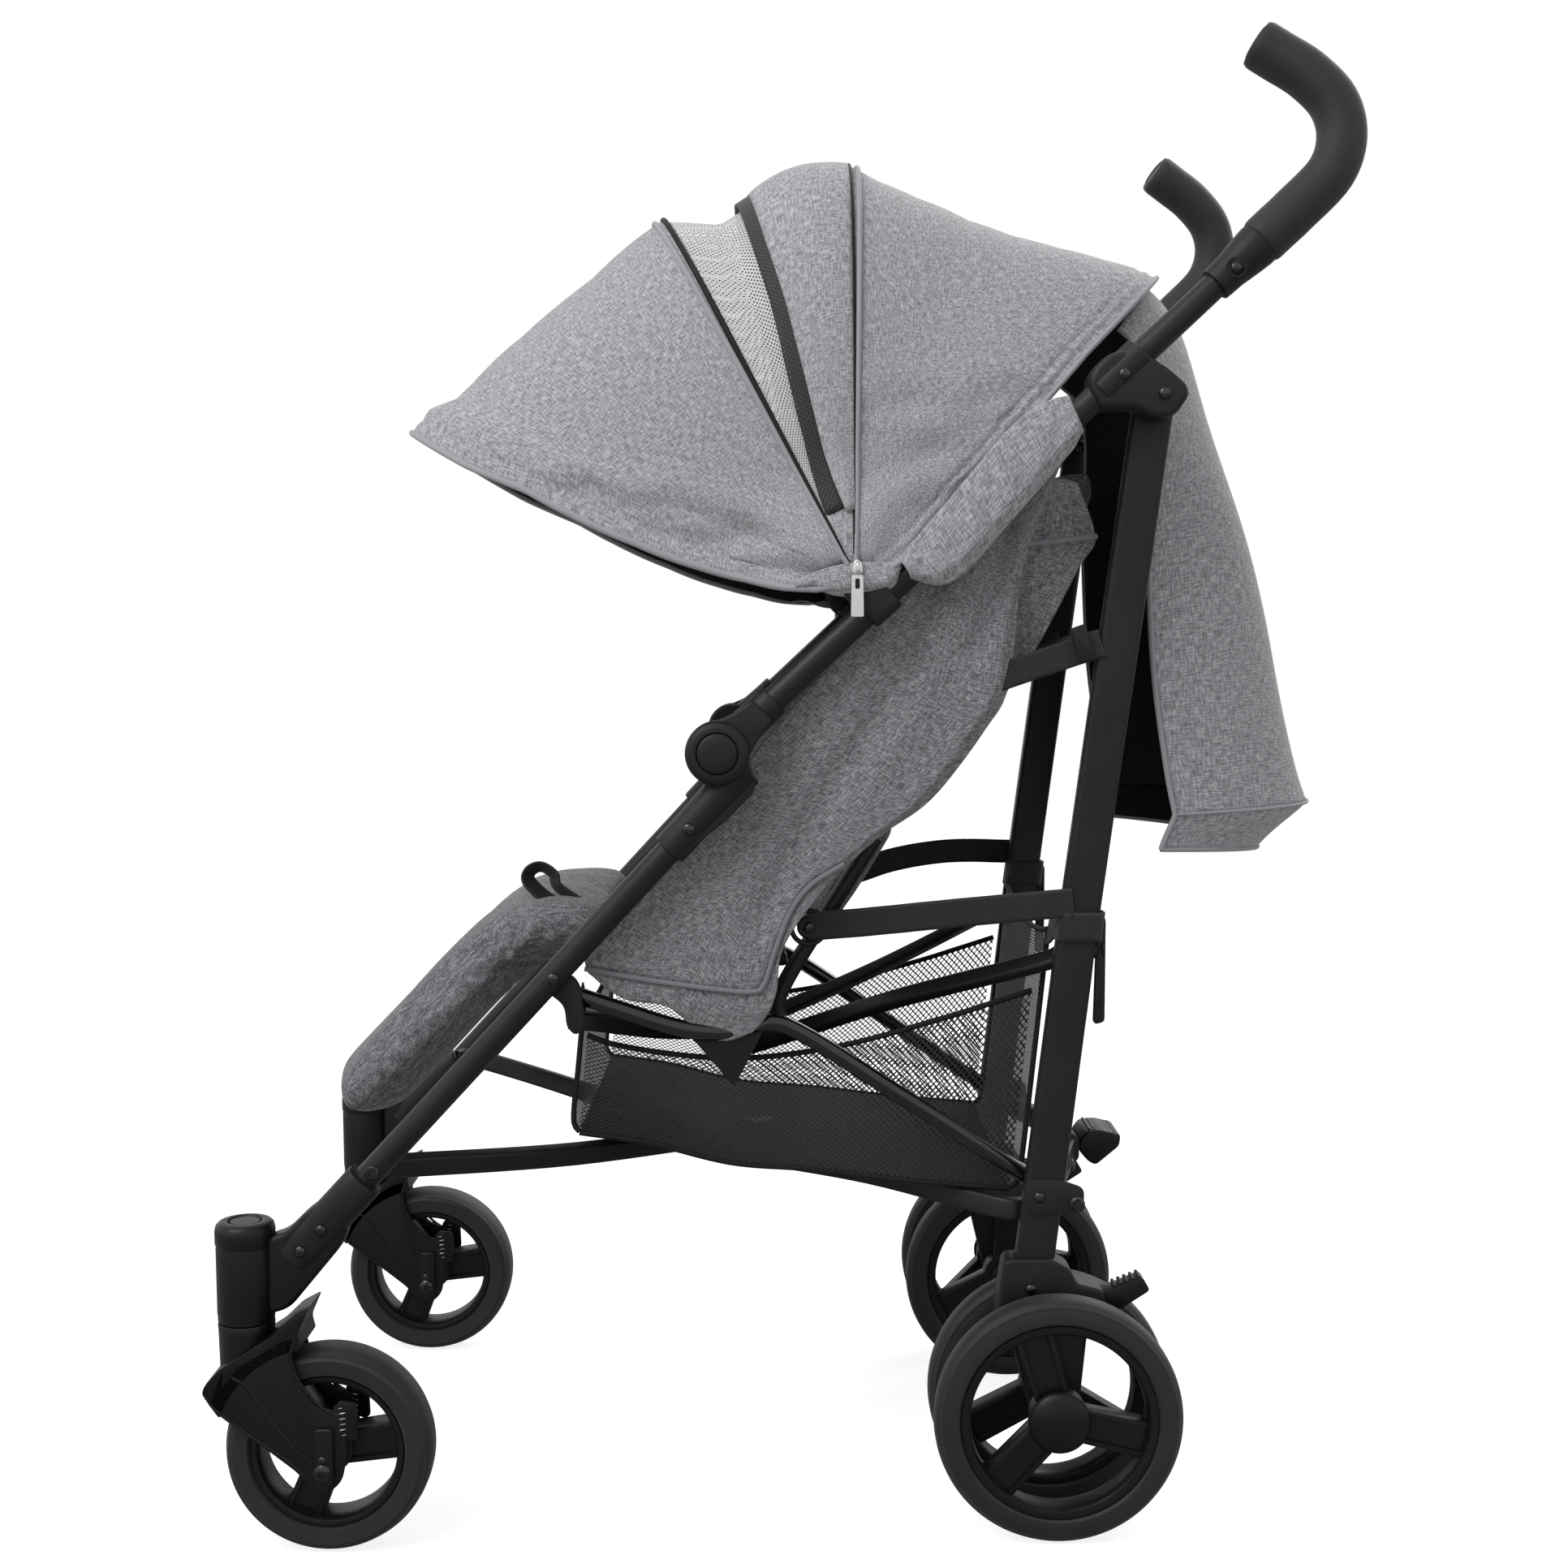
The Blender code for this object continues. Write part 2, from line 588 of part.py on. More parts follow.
def make_suspension_carrier(left, right):
    """The axle that slides in the fork's slots, with a sprung guide bar on each end."""
    wheel_centre = (FRONT_WHEEL_Y, FRONT_WHEEL_RADIUS)
    inner = FORK_HALF_WIDTH + GAP
    outer = inner + CARRIER_BAR_THICKNESS
    body = cross_rod(wheel_centre, TRACK_X - outer + 0.001, TRACK_X + outer - 0.001,
                     FRONT_AXLE_RADIUS, 16)
    half = CARRIER_BAR_HALF_WIDTH
    bar = [(FRONT_WHEEL_Y - half, CARRIER_BAR_BOTTOM_Z + 0.003),
           (FRONT_WHEEL_Y - half + 0.003, CARRIER_BAR_BOTTOM_Z),
           (FRONT_WHEEL_Y + half - 0.003, CARRIER_BAR_BOTTOM_Z),
           (FRONT_WHEEL_Y + half, CARRIER_BAR_BOTTOM_Z + 0.003),
           (FRONT_WHEEL_Y + half, CARRIER_BAR_TOP_Z), (FRONT_WHEEL_Y - half, CARRIER_BAR_TOP_Z)]
    join(body, prism(bar, TRACK_X + inner, TRACK_X + outer),
         prism(bar, TRACK_X - outer, TRACK_X - inner))
    place_pair(body, "suspension_carrier", "grey_plastic", left, right)


def make_wheel(centre, x0, x1, radius, spoke_turn, bore_radius, bore_span):
    """A foam-tyred spoked wheel between two lateral positions, with its axle bore cut."""
    rim = radius * WHEEL_RIM_FRACTION
    s, d = WHEEL_SHOULDER, WHEEL_DISH
    profile = [(0.0, x0 + d), (rim - WHEEL_RIM_WALL, x0 + d), (rim, x0 + 0.001), (radius - s, x0),
               (radius, x0 + s), (radius, x1 - s), (radius - s, x1), (rim, x1 - 0.001),
               (rim - WHEEL_RIM_WALL, x1 - d), (0.0, x1 - d)]
    wheel = turned(profile, centre, WHEEL_SEGMENTS)
    inner = WHEEL_HUB_RADIUS + 0.004
    outer = rim - 0.005
    for spoke in range(WHEEL_SPOKES):
        start = spoke_turn + math.tau * spoke / WHEEL_SPOKES
        end = start + math.tau / WHEEL_SPOKES
        inner_pad = math.asin(WHEEL_SPOKE_HALF_WIDTH / inner)
        outer_pad = math.asin(WHEEL_SPOKE_HALF_WIDTH / outer)
        window = []
        steps = 3
        for i in range(steps + 1):
            turn = start + inner_pad + (end - start - 2 * inner_pad) * i / steps
            window.append((centre[0] + inner * math.cos(turn), centre[1] + inner * math.sin(turn)))
        for i in range(steps + 1):
            turn = end - outer_pad - (end - start - 2 * outer_pad) * i / steps
            window.append((centre[0] + outer * math.cos(turn), centre[1] + outer * math.sin(turn)))
        cut(wheel, prism(window, x0 - 0.005, x1 + 0.005))
    cut(wheel, cross_rod(centre, bore_span[0], bore_span[1], bore_radius, 20))
    return wheel


def make_front_wheels(left, right):
    half = FRONT_WHEEL_WIDTH / 2.0
    wheel = make_wheel((FRONT_WHEEL_Y, FRONT_WHEEL_RADIUS), TRACK_X - half, TRACK_X + half,
                       FRONT_WHEEL_RADIUS, FRONT_SPOKE_TURN, FRONT_AXLE_RADIUS + PIN_GAP,
                       (TRACK_X - 0.040, TRACK_X + 0.040))
    place_pair(wheel, "front_wheel", "tyre_foam", left, right)


def make_rear_wheels(outer_left, outer_right, inner_left, inner_right):
    centre = (REAR_WHEEL_Y, REAR_WHEEL_RADIUS)
    x0, x1 = REAR_OUTER_LANE
    outer = make_wheel(centre, x0, x1, REAR_WHEEL_RADIUS, REAR_OUTER_SPOKE_TURN,
                       REAR_AXLE_RADIUS + PIN_GAP, (x0 - BORE_OVERRUN, REAR_AXLE_SPAN[1] + GAP))
    place_pair(outer, "rear_wheel_outer", "tyre_foam", outer_left, outer_right)
    x0, x1 = REAR_INNER_LANE
    inner = make_wheel(centre, x0, x1, REAR_WHEEL_RADIUS, REAR_INNER_SPOKE_TURN,
                       REAR_AXLE_RADIUS + PIN_GAP, (REAR_AXLE_SPAN[0] - GAP, x1 + BORE_OVERRUN))
    place_pair(inner, "rear_wheel_inner", "tyre_foam", inner_left, inner_right)


def leg_x(z):
    """The leg's lateral centre, which leans inward towards the floor."""
    low, high = LEG_LEAN_SPAN_Z
    share = (z - low) / (high - low)
    return LEG_BOTTOM_X + (LEG_TOP_X - LEG_BOTTOM_X) * share


def make_rear_leg(pivot):
    """The flat-sided leg, pared down a little where the upper bracket's ear lies over it."""
    leg = sweep([at(leg_x(z), (y, z)) for y, z in LEG_LINE],
                rectangle(LEG_THICKNESS, LEG_WIDTH, LEG_CHAMFER))
    pared_x = LEG_TOP_X + LEG_THICKNESS / 2 - LEG_RELIEF_DEPTH
    top = LEG_LINE[0]
    relief = prism([(top[0] - 0.060, LEG_RELIEF_Z), (top[0] + 0.060, LEG_RELIEF_Z),
                    (top[0] + 0.060, top[1] + 0.020), (top[0] - 0.060, top[1] + 0.020)],
                   pared_x, TRACK_X)
    pin_bore = cross_rod(LEG_PIVOT, LEG_TOP_X - LEG_THICKNESS, TRACK_X, LEG_PIN_RADIUS + PIN_GAP, 16)
    cut(leg, relief, pin_bore)
    place_pair(leg, "rear_leg", "frame_paint", pivot)


def make_upper_bracket(pivot):
    """A sleeve on the handle tube with an inner ear and pin for the rear leg."""
    sleeve = rod(at(TRACK_X, on_handle(BRACKET_CENTRE - BRACKET_SLEEVE_HALF_LENGTH)),
                 at(TRACK_X, on_handle(BRACKET_CENTRE + BRACKET_SLEEVE_HALF_LENGTH)),
                 TUBE_RADIUS + SOCKET_WALL, 16)
    outline = [(0.241, 0.857), (0.253, 0.855), (0.267, 0.847), (0.280, 0.835), (0.281, 0.822),
               (0.272, 0.812), (0.258, 0.813), (0.247, 0.820), (0.222, 0.820), (0.212, 0.831),
               (0.216, 0.840)]
    ear = prism(outline, BRACKET_EAR_X, TRACK_X)
    pin = cross_rod(LEG_PIVOT, LEG_TOP_X - LEG_THICKNESS / 2 - 0.003, BRACKET_EAR_X + 0.003,
                    LEG_PIN_RADIUS, 16)
    body = join(sleeve, ear, pin)
    bore = rod(at(TRACK_X, on_handle(BRACKET_CENTRE - 0.040)),
               at(TRACK_X, on_handle(BRACKET_CENTRE + 0.040)), TUBE_RADIUS + PIN_GAP, 16)
    cut(body, bore)
    place_pair(body, "upper_bracket", "black_plastic", pivot)


def make_connector(pivot):
    body = rod(at(TRACK_X, on_handle(CONNECTOR_START)), at(TRACK_X, on_handle(CONNECTOR_END)),
               TUBE_RADIUS + SOCKET_WALL, 16, CONNECTOR_RADIUS)
    spigot = rod(at(TRACK_X, on_handle(CONNECTOR_END - 0.006)),
                 at(TRACK_X, on_handle(SPIGOT_END)), SPIGOT_RADIUS, 12)
    join(body, spigot)
    bore = rod(at(TRACK_X, on_handle(CONNECTOR_START - 0.010)),
               at(TRACK_X, on_handle(HANDLE_TUBE_END + GAP)), TUBE_RADIUS + PIN_GAP, 16)
    cut(body, bore)
    place_pair(body, "handle_connector", "black_plastic", pivot)


def make_grip(pivot):
    """The curved foam grip, hooked forward over the end of the handle."""
    start = on_handle(CONNECTOR_END + GAP)
    line = [start, on_handle(CONNECTOR_END + 0.032), (0.3790, 0.9810), (0.3860, 1.0080),
            (0.3820, 1.0300), (0.3640, 1.0500), (0.3440, 1.0640), (0.3300, 1.0735)]
    lean = [0.0, 0.0, 0.10, 0.25, 0.45, 0.70, 0.90, 1.0]
    points = [at(TRACK_X - GRIP_LEAN * share, yz) for share, yz in zip(lean, line)]
    grip = sweep(points, circle(GRIP_RADIUS, 14))
    bore = rod(at(TRACK_X, on_handle(CONNECTOR_END - 0.010)),
               at(TRACK_X, on_handle(SPIGOT_END + GAP)), SPIGOT_RADIUS + PIN_GAP, 12)
    cut(grip, bore)
    place_pair(grip, "handle_grip", "grip_foam", pivot)


def make_canopy_clip(pivot):
    """A ring on the handle tube with an ear and a pin that carry the canopy's bows."""
    centre, half = CANOPY_CLIP_CENTRE, CANOPY_CLIP_HALF_LENGTH
    ring = rod(at(TRACK_X, on_handle(centre - half)), at(TRACK_X, on_handle(centre + half)),
               TUBE_RADIUS + SOCKET_WALL, 16)
    low, high = on_handle(centre - half + 0.002), on_handle(centre + half - 0.002)
    outline = [low, high, (CANOPY_PIVOT[0] + 0.008, CANOPY_PIVOT[1] + 0.004),
               (CANOPY_PIVOT[0], CANOPY_PIVOT[1] + 0.008),
               (CANOPY_PIVOT[0] - 0.008, CANOPY_PIVOT[1])]
    ear = prism(outline, TRACK_X + 0.0050, TRACK_X + 0.0120)
    pin = cross_rod(CANOPY_PIVOT, TRACK_X - 0.0125, TRACK_X + 0.0060, CANOPY_PIN_RADIUS, 12)
    body = join(ring, ear, pin)
    bore = rod(at(TRACK_X, on_handle(centre - 0.030)), at(TRACK_X, on_handle(centre + 0.030)),
               TUBE_RADIUS + PIN_GAP, 16)
    cut(body, bore)
    place_pair(body, "canopy_clip", "black_plastic", pivot)


def canopy_radius(angle):
    """The hood's height over its pivot line at an angle, as seen from the side."""
    known = [(46.0, 0.3330), (52.0, 0.3190), (65.0, 0.3010), (72.0, 0.2980), (80.0, 0.3030),
             (90.0, 0.3205), (104.0, 0.3075), (110.0, 0.2990), (117.5, 0.3145), (130.0, 0.3120),
             (142.7, 0.3205), (152.0, 0.3330), (160.3, 0.3590), (170.0, 0.3620)]
    degrees = math.degrees(angle)
    for (a0, r0), (a1, r1) in zip(known, known[1:]):
        if a0 <= degrees <= a1:
            return r0 + (r1 - r0) * (degrees - a0) / (a1 - a0)
    return known[0][1] if degrees < known[0][0] else known[-1][1]


def canopy_point(angle, turn, half_width, shift=0.0):
    """A point of the hood: turn runs from one foot (0) over the top to the other (pi)."""
    power = 2.0 / CANOPY_POWER
    x = half_width * math.copysign(abs(math.cos(turn)) ** power, math.cos(turn))
    reach = canopy_radius(angle) * max(0.0, math.sin(turn)) ** power
    y = CANOPY_PIVOT[0] + reach * math.cos(angle) - shift * math.sin(angle)
    z = CANOPY_PIVOT[1] + reach * math.sin(angle) + shift * math.cos(angle)
    return Vector((x, y, z))


def make_canopy_bow(name, angle, half_width, pivot):
    """A bent wire over the hood with a flat eye on each of its two pivot pins."""
    foot_turn = 0.0006
    steps = 20
    turns = [foot_turn + (math.pi - 2 * foot_turn) * (0.5 - 0.5 * math.cos(math.pi * i / steps))
             for i in range(steps + 1)]
    points = [canopy_point(angle, turn, half_width) for turn in turns]
    bow = sweep(points, circle(BOW_RADIUS, 6), (0.0, -math.sin(angle), math.cos(angle)))
    for side in (1.0, -1.0):
        inner = side * (half_width - BOW_EYE_HALF_LENGTH)
        outer = side * (half_width + BOW_EYE_HALF_LENGTH)
        join(bow, cross_rod(CANOPY_PIVOT, inner, outer, BOW_EYE_RADIUS, 16))
        cut(bow, cross_rod(CANOPY_PIVOT, inner - side * 0.004, outer + side * 0.004,
                           CANOPY_PIN_RADIUS + 2 * PIN_GAP, 16))
    place(bow, name, "black_plastic", pivot)


def make_canopy_panel(name, finish, pivot, first, last, first_shift, last_shift, rows):
    """Hood cloth between two angles, kept clear of the bows along its borders."""
    columns = 16
    grid = []
    for i in range(rows):
        share = i / (rows - 1)
        angle = first + (last - first) * share
        shift = first_shift + (last_shift - first_shift) * share
        start = math.asin((CANOPY_FOOT_RADIUS / canopy_radius(angle)) ** (CANOPY_POWER / 2.0))
        row = []
        for j in range(columns + 1):
            turn = start + (math.pi - 2 * start) * (0.5 - 0.5 * math.cos(math.pi * j / columns))
            row.append(canopy_point(angle, turn, CANOPY_HALF_WIDTH, shift))
        grid.append(row)
    place(shell(grid, CANOPY_CLOTH), name, finish, pivot)


def make_canopy_flap(pivot):
    """The hood's rear flap, which bulges back and hangs down behind the seat."""
    middle = [(0.3120, 0.8950), (0.3350, 0.8270), (0.3590, 0.7560), (0.3800, 0.6800),
              (0.3900, 0.6300), (0.4080, 0.5600), (0.4155, 0.5320), (0.3950, 0.5080)]
    edge = [(0.2660, 0.8700), (0.2680, 0.8250), (0.2640, 0.7600), (0.2640, 0.6900),
            (0.2680, 0.6300), (0.2780, 0.5650), (0.2870, 0.5300), (0.2860, 0.5050)]
    xs = [FLAP_HALF_WIDTH * (j / 6.0 - 1.0) for j in range(13)]
    top = []
    for x in xs:
        reach = (1.0 - abs(x / CANOPY_HALF_WIDTH) ** CANOPY_POWER) ** (1.0 / CANOPY_POWER)
        turn = math.atan2(reach ** (CANOPY_POWER / 2.0),
                          math.copysign(abs(x / CANOPY_HALF_WIDTH) ** (CANOPY_POWER / 2.0), x))
        top.append(canopy_point(REAR_EDGE_ANGLE, turn, CANOPY_HALF_WIDTH, -FLAP_SEAM_GAP))
    grid = [top]
    for middle_yz, edge_yz in zip(middle, edge):
        row = []
        for x in xs:
            bulge = 1.0 - abs(x / FLAP_HALF_WIDTH) ** 2.4
            y = edge_yz[0] + (middle_yz[0] - edge_yz[0]) * bulge
            z = edge_yz[1] + (middle_yz[1] - edge_yz[1]) * bulge
            row.append(Vector((x, y, z)))
        grid.append(row)
    place(shell(grid, CANOPY_CLOTH), "canopy_rear_flap", "grey_cloth", pivot)


def make_brace_bracket(pivot):
    """A clip on the front tube with the link tube's pin and the upper brace's pin."""
    centre, half = BRACE_CLIP_CENTRE, BRACE_CLIP_HALF_LENGTH
    ring = rod(at(TRACK_X, on_front_tube(centre - half)),
               at(TRACK_X, on_front_tube(centre + half)), TUBE_RADIUS + SOCKET_WALL, 16)
    outline = [on_front_tube(centre - half + 0.003), on_front_tube(centre + half - 0.003), (-0.174, 0.398),
               (-0.160, 0.372), (-0.148, 0.370), (-0.140, 0.377), (-0.144, 0.398)]
    ear = prism(outline, TRACK_X - 0.0130, TRACK_X - 0.0060)
    link_pin = cross_rod(LINK_FRONT, LINK_FRONT_X - LINK_RADIUS - 0.0015, TRACK_X - 0.010,
                         LINK_PIN_RADIUS, 12)
    brace_pin = cross_rod(BRACE_FRONT, BRACE_FRONT_X - UPPER_BRACE_WIDTH / 2 - 0.0030,
                          TRACK_X - 0.010, LINK_PIN_RADIUS, 12)
    body = join(ring, ear, link_pin, brace_pin)
    bore = rod(at(TRACK_X, on_front_tube(centre - 0.030)),
               at(TRACK_X, on_front_tube(centre + 0.030)), TUBE_RADIUS + PIN_GAP, 16)
    cut(body, bore)
    place_pair(body, "brace_bracket", "black_plastic", pivot)


def make_link_tube(pivot):
    """The bright bent tube from the front tube's bracket to beside the rear leg."""
    points = [(LINK_FRONT_X, -0.1680, 0.4076), (LINK_FRONT_X - 0.0015, -0.0700, 0.3755),
              (LINK_KNEE_X, 0.0020, 0.3760), (LINK_REAR_X, 0.1730, 0.2640),
              (LINK_REAR_X, 0.1800, 0.2595)]
    tube = sweep(points, circle(LINK_RADIUS, 12))
    back_pin = cross_rod(BACKREST_PIVOT, BACKREST_X - 0.0075, LINK_KNEE_X, LINK_PIN_RADIUS, 12)
    join(tube, back_pin)
    cut(tube, cross_rod(LINK_FRONT, LINK_FRONT_X - 0.020, LINK_FRONT_X + 0.020,
                        LINK_PIN_RADIUS + 2 * PIN_GAP, 16))
    place_pair(tube, "link_tube", "link_metal", pivot)


def make_lower_brace(pivot):
    """Two flat bars crossing under the basket, one over the other."""
    reach = LOWER_BRACE_FRONT
    for name, side, offset in (("lower_brace_upper_bar", 1.0, BRACE_CROSS_OFFSET),
                               ("lower_brace_lower_bar", -1.0, -BRACE_CROSS_OFFSET)):
        points = [(side * LOWER_BRACE_X, reach[0] - 0.0090, reach[1]),
                  (side * LOWER_BRACE_X, reach[0] + 0.0100, reach[1]),
                  (side * BRACE_CROSS_X, -0.0440, 0.2470 + offset),
                  (-side * BRACE_CROSS_X, -0.0230, 0.2465 + offset),
                  (-side * LOWER_BRACE_REAR_X, 0.1600, 0.2350),
                  (-side * LOWER_BRACE_REAR_X, 0.1780, 0.2340)]
        bar = sweep(points, rectangle(BRACE_WIDTH, BRACE_HEIGHT, BRACE_CHAMFER))
        bore_at = cross_rod(reach, side * (LOWER_BRACE_X - BRACE_WIDTH), side * (LOWER_BRACE_X + BRACE_WIDTH),
                            LINK_PIN_RADIUS + 2 * PIN_GAP, 16)
        cut(bar, bore_at)
        place(bar, name, "frame_paint", pivot)


def make_upper_brace(pivot):
    """Two bars crossing under the seat, from the front brackets to beside the rear legs."""
    front = BRACE_FRONT
    for name, side, offset in (("upper_brace_upper_bar", 1.0, UPPER_BRACE_OFFSET),
                               ("upper_brace_lower_bar", -1.0, -UPPER_BRACE_OFFSET)):
        points = [(side * BRACE_FRONT_X, front[0] - 0.0070, front[1]),
                  (side * BRACE_FRONT_X, front[0] + 0.0080, front[1] - 0.0010),
                  (side * BRACE_CROSS_X, -0.0420, 0.3350 + offset),
                  (-side * BRACE_CROSS_X, -0.0270, 0.3360 + offset),
                  (-side * UPPER_BRACE_REAR_X, 0.1900, 0.4200),
                  (-side * UPPER_BRACE_REAR_X, 0.2050, 0.4270)]
        bar = sweep(points, rectangle(UPPER_BRACE_WIDTH, UPPER_BRACE_HEIGHT, BRACE_CHAMFER))
        bore_at = cross_rod(front, side * (BRACE_FRONT_X - BRACE_WIDTH), side * (BRACE_FRONT_X + BRACE_WIDTH),
                            LINK_PIN_RADIUS + 2 * PIN_GAP, 16)
        cut(bar, bore_at)
        place(bar, name, "frame_paint", pivot)


def make_backrest_tube(pivot):
    points = [(BACKREST_X, -0.0015, 0.3690), (BACKREST_X, -0.0030, 0.3960),
              (BACKREST_X, 0.0675, 0.5130)]
    tube = sweep(points, circle(BACKREST_TUBE_RADIUS, 12))
    cut(tube, cross_rod(BACKREST_PIVOT, BACKREST_X - 0.015, BACKREST_X + 0.015,
                        LINK_PIN_RADIUS + 2 * PIN_GAP, 12))
    place_pair(tube, "backrest_tube", "frame_paint", pivot)


def make_foot(pivot):
    """The foot on the leg's end, with the two wheels' axle and lugs for the brake pedal."""
    outline = [(0.1570, 0.1570), (0.1660, 0.1690), (0.1630, 0.2000), (0.2010, 0.2030),
               (0.2150, 0.1860), (0.2360, 0.1800), (0.2380, 0.1650), (0.2240, 0.1560),
               (0.2190, 0.0900), (0.2110, 0.0760), (0.1900, 0.0760), (0.1820, 0.0900)]
    body = prism(outline, FOOT_LANE[0], FOOT_LANE[1], 0.0015)
    axle = cross_rod((REAR_WHEEL_Y, REAR_WHEEL_RADIUS), REAR_AXLE_SPAN[0], REAR_AXLE_SPAN[1],
                     REAR_AXLE_RADIUS, 20)
    join(body, axle)
    lean = (LEG_LINE[2][0] - LEG_LINE[3][0]) / (LEG_LINE[2][1] - LEG_LINE[3][1])
    low, high = LEG_LINE[3][1] - GAP, LEG_LINE[3][1] + 0.080
    socket_line = [(LEG_LINE[3][0] + lean * (z - LEG_LINE[3][1]), z) for z in (low, high)]
    leg_socket = sweep([at(leg_x(z), (y, z)) for y, z in socket_line],
                       rectangle(LEG_THICKNESS + 2 * GAP, LEG_WIDTH + 2 * GAP))
    notch = prism([(0.2235, 0.150), (0.2450, 0.150), (0.2450, 0.190), (0.2235, 0.190)],
                  PEDAL_LANE[0], PEDAL_LANE[1])
    pin_bore = cross_rod(BRAKE_PIVOT, FOOT_LANE[0] - 0.005, FOOT_LANE[1] + 0.005,
                         PEDAL_PIN_RADIUS + 2 * PIN_GAP, 12)
    cut(body, leg_socket, notch, pin_bore)
    place_pair(body, "rear_foot", "black_plastic", pivot)


def make_brake_pedal(left, right):
    """A ribbed foot pedal on a pin between the foot's lugs."""
    outline = [(0.2250, 0.1665), (0.2250, 0.1750), (0.2320, 0.1770), (0.2500, 0.1810),
               (0.2650, 0.1880), (0.2710, 0.1780), (0.2500, 0.1640), (0.2400, 0.1640)]
    body = prism(outline, PEDAL_LANE[0] + PEDAL_SIDE_GAP, PEDAL_LANE[1] - PEDAL_SIDE_GAP)
    pin = cross_rod(BRAKE_PIVOT, FOOT_LANE[0] + 0.0005, FOOT_LANE[1] - 0.0005, PEDAL_PIN_RADIUS, 12)
    join(body, pin)
    place_pair(body, "brake_pedal", "grey_plastic", left, right)


def make_fold_lock_brace(pivot):
    """The folding bar between the rear legs, with the middle housing of its foot pedal."""
    ends = leg_x(0.2440) - LEG_THICKNESS / 2.0 - 2 * GAP
    points = [(ends, 0.1985, 0.2440), (ends - 0.012, 0.2000, 0.2440), (0.030, 0.2310, 0.2470),
              (-0.030, 0.2310, 0.2470), (-ends + 0.012, 0.2000, 0.2440), (-ends, 0.1985, 0.2440)]
    bar = sweep(points, rectangle(0.0180, 0.0100, 0.002), (0.0, 0.0, 1.0))
    housing = prism([(0.2230, 0.2350), (0.2380, 0.2350), (0.2500, 0.2410), (0.2500, 0.2530),
                     (0.2380, 0.2600), (0.2230, 0.2600)],
                    -FOLD_HOUSING_HALF_WIDTH, FOLD_HOUSING_HALF_WIDTH, 0.001)
    join(bar, housing)
    notch = prism([(0.2388, 0.225), (0.2600, 0.225), (0.2600, 0.270), (0.2388, 0.270)],
                  -FOLD_PEDAL_HALF_WIDTH - 0.0007, FOLD_PEDAL_HALF_WIDTH + 0.0007)
    pin_bore = cross_rod(FOLD_PEDAL_PIVOT, -0.040, 0.040, PEDAL_PIN_RADIUS + 2 * PIN_GAP, 12)
    cut(bar, notch, pin_bore)
    place(bar, "fold_lock_brace", "frame_paint", pivot)


def make_fold_pedal(pivot):
    outline = [(0.2400, 0.2440), (0.2400, 0.2520), (0.2460, 0.2600), (0.2740, 0.2570),
               (0.2720, 0.2470), (0.2540, 0.2320), (0.2480, 0.2350)]
    body = prism(outline, -FOLD_PEDAL_HALF_WIDTH, FOLD_PEDAL_HALF_WIDTH, 0.001)
    pin = cross_rod(FOLD_PEDAL_PIVOT, 0.0005 - FOLD_HOUSING_HALF_WIDTH,
                    FOLD_HOUSING_HALF_WIDTH - 0.0005, PEDAL_PIN_RADIUS, 12)
    join(body, pin)
    place(body, "fold_pedal", "black_plastic", pivot)


def make_brake_cable(pivot):
    """The jacketed cable that couples the two brake pedals, held at both feet."""
    end = FOOT_LANE[0] - 0.0004
    half = [(end, 0.1900, 0.1940), (0.95 * end, 0.1905, 0.1950), (0.81 * end, 0.1950, 0.2000),
            (0.61 * end, 0.2020, 0.2080), (0.41 * end, 0.2080, 0.2130), (0.20 * end, 0.2120, 0.2160)]
    points = half + [(0.0, 0.2130, 0.2170)] + [(-x, y, z) for x, y, z in reversed(half)]
    curve = bpy.data.curves.new("brake_cable", "CURVE")
    curve.dimensions = "3D"
    curve.bevel_depth = CABLE_RADIUS
    curve.bevel_resolution = 2
    curve.use_fill_caps = True
    line = curve.splines.new("POLY")
    line.points.add(len(points) - 1)
    for point, place_at in zip(line.points, points):
        point.co = (*(Vector(place_at) - pivot.point), 1.0)
    obj = bpy.data.objects.new("brake_cable", curve)
    bpy.context.scene.collection.objects.link(obj)
    obj.data.materials.append(material("cable_jacket"))
    obj.parent = pivot.empty


def make_side_panel(pivot):
    """The stiffened cloth side of the seat, hung inside the frame tubes."""
    outline = [(-0.143, 0.423), (-0.015, 0.404), (-0.004, 0.423), (0.005, 0.447), (0.029, 0.479),
               (0.067, 0.515), (0.107, 0.544), (0.145, 0.594), (0.162, 0.628), (0.171, 0.709),
               (0.192, 0.766), (0.205, 0.806), (0.083, 0.695), (-0.006, 0.605), (-0.015, 0.591),
               (-0.068, 0.515), (-0.123, 0.459), (-0.143, 0.438)]
    panel = prism(outline, SIDE_PANEL_LANE[0], SIDE_PANEL_LANE[1], 0.001)
    place_pair(panel, "side_panel", "grey_cloth", pivot)


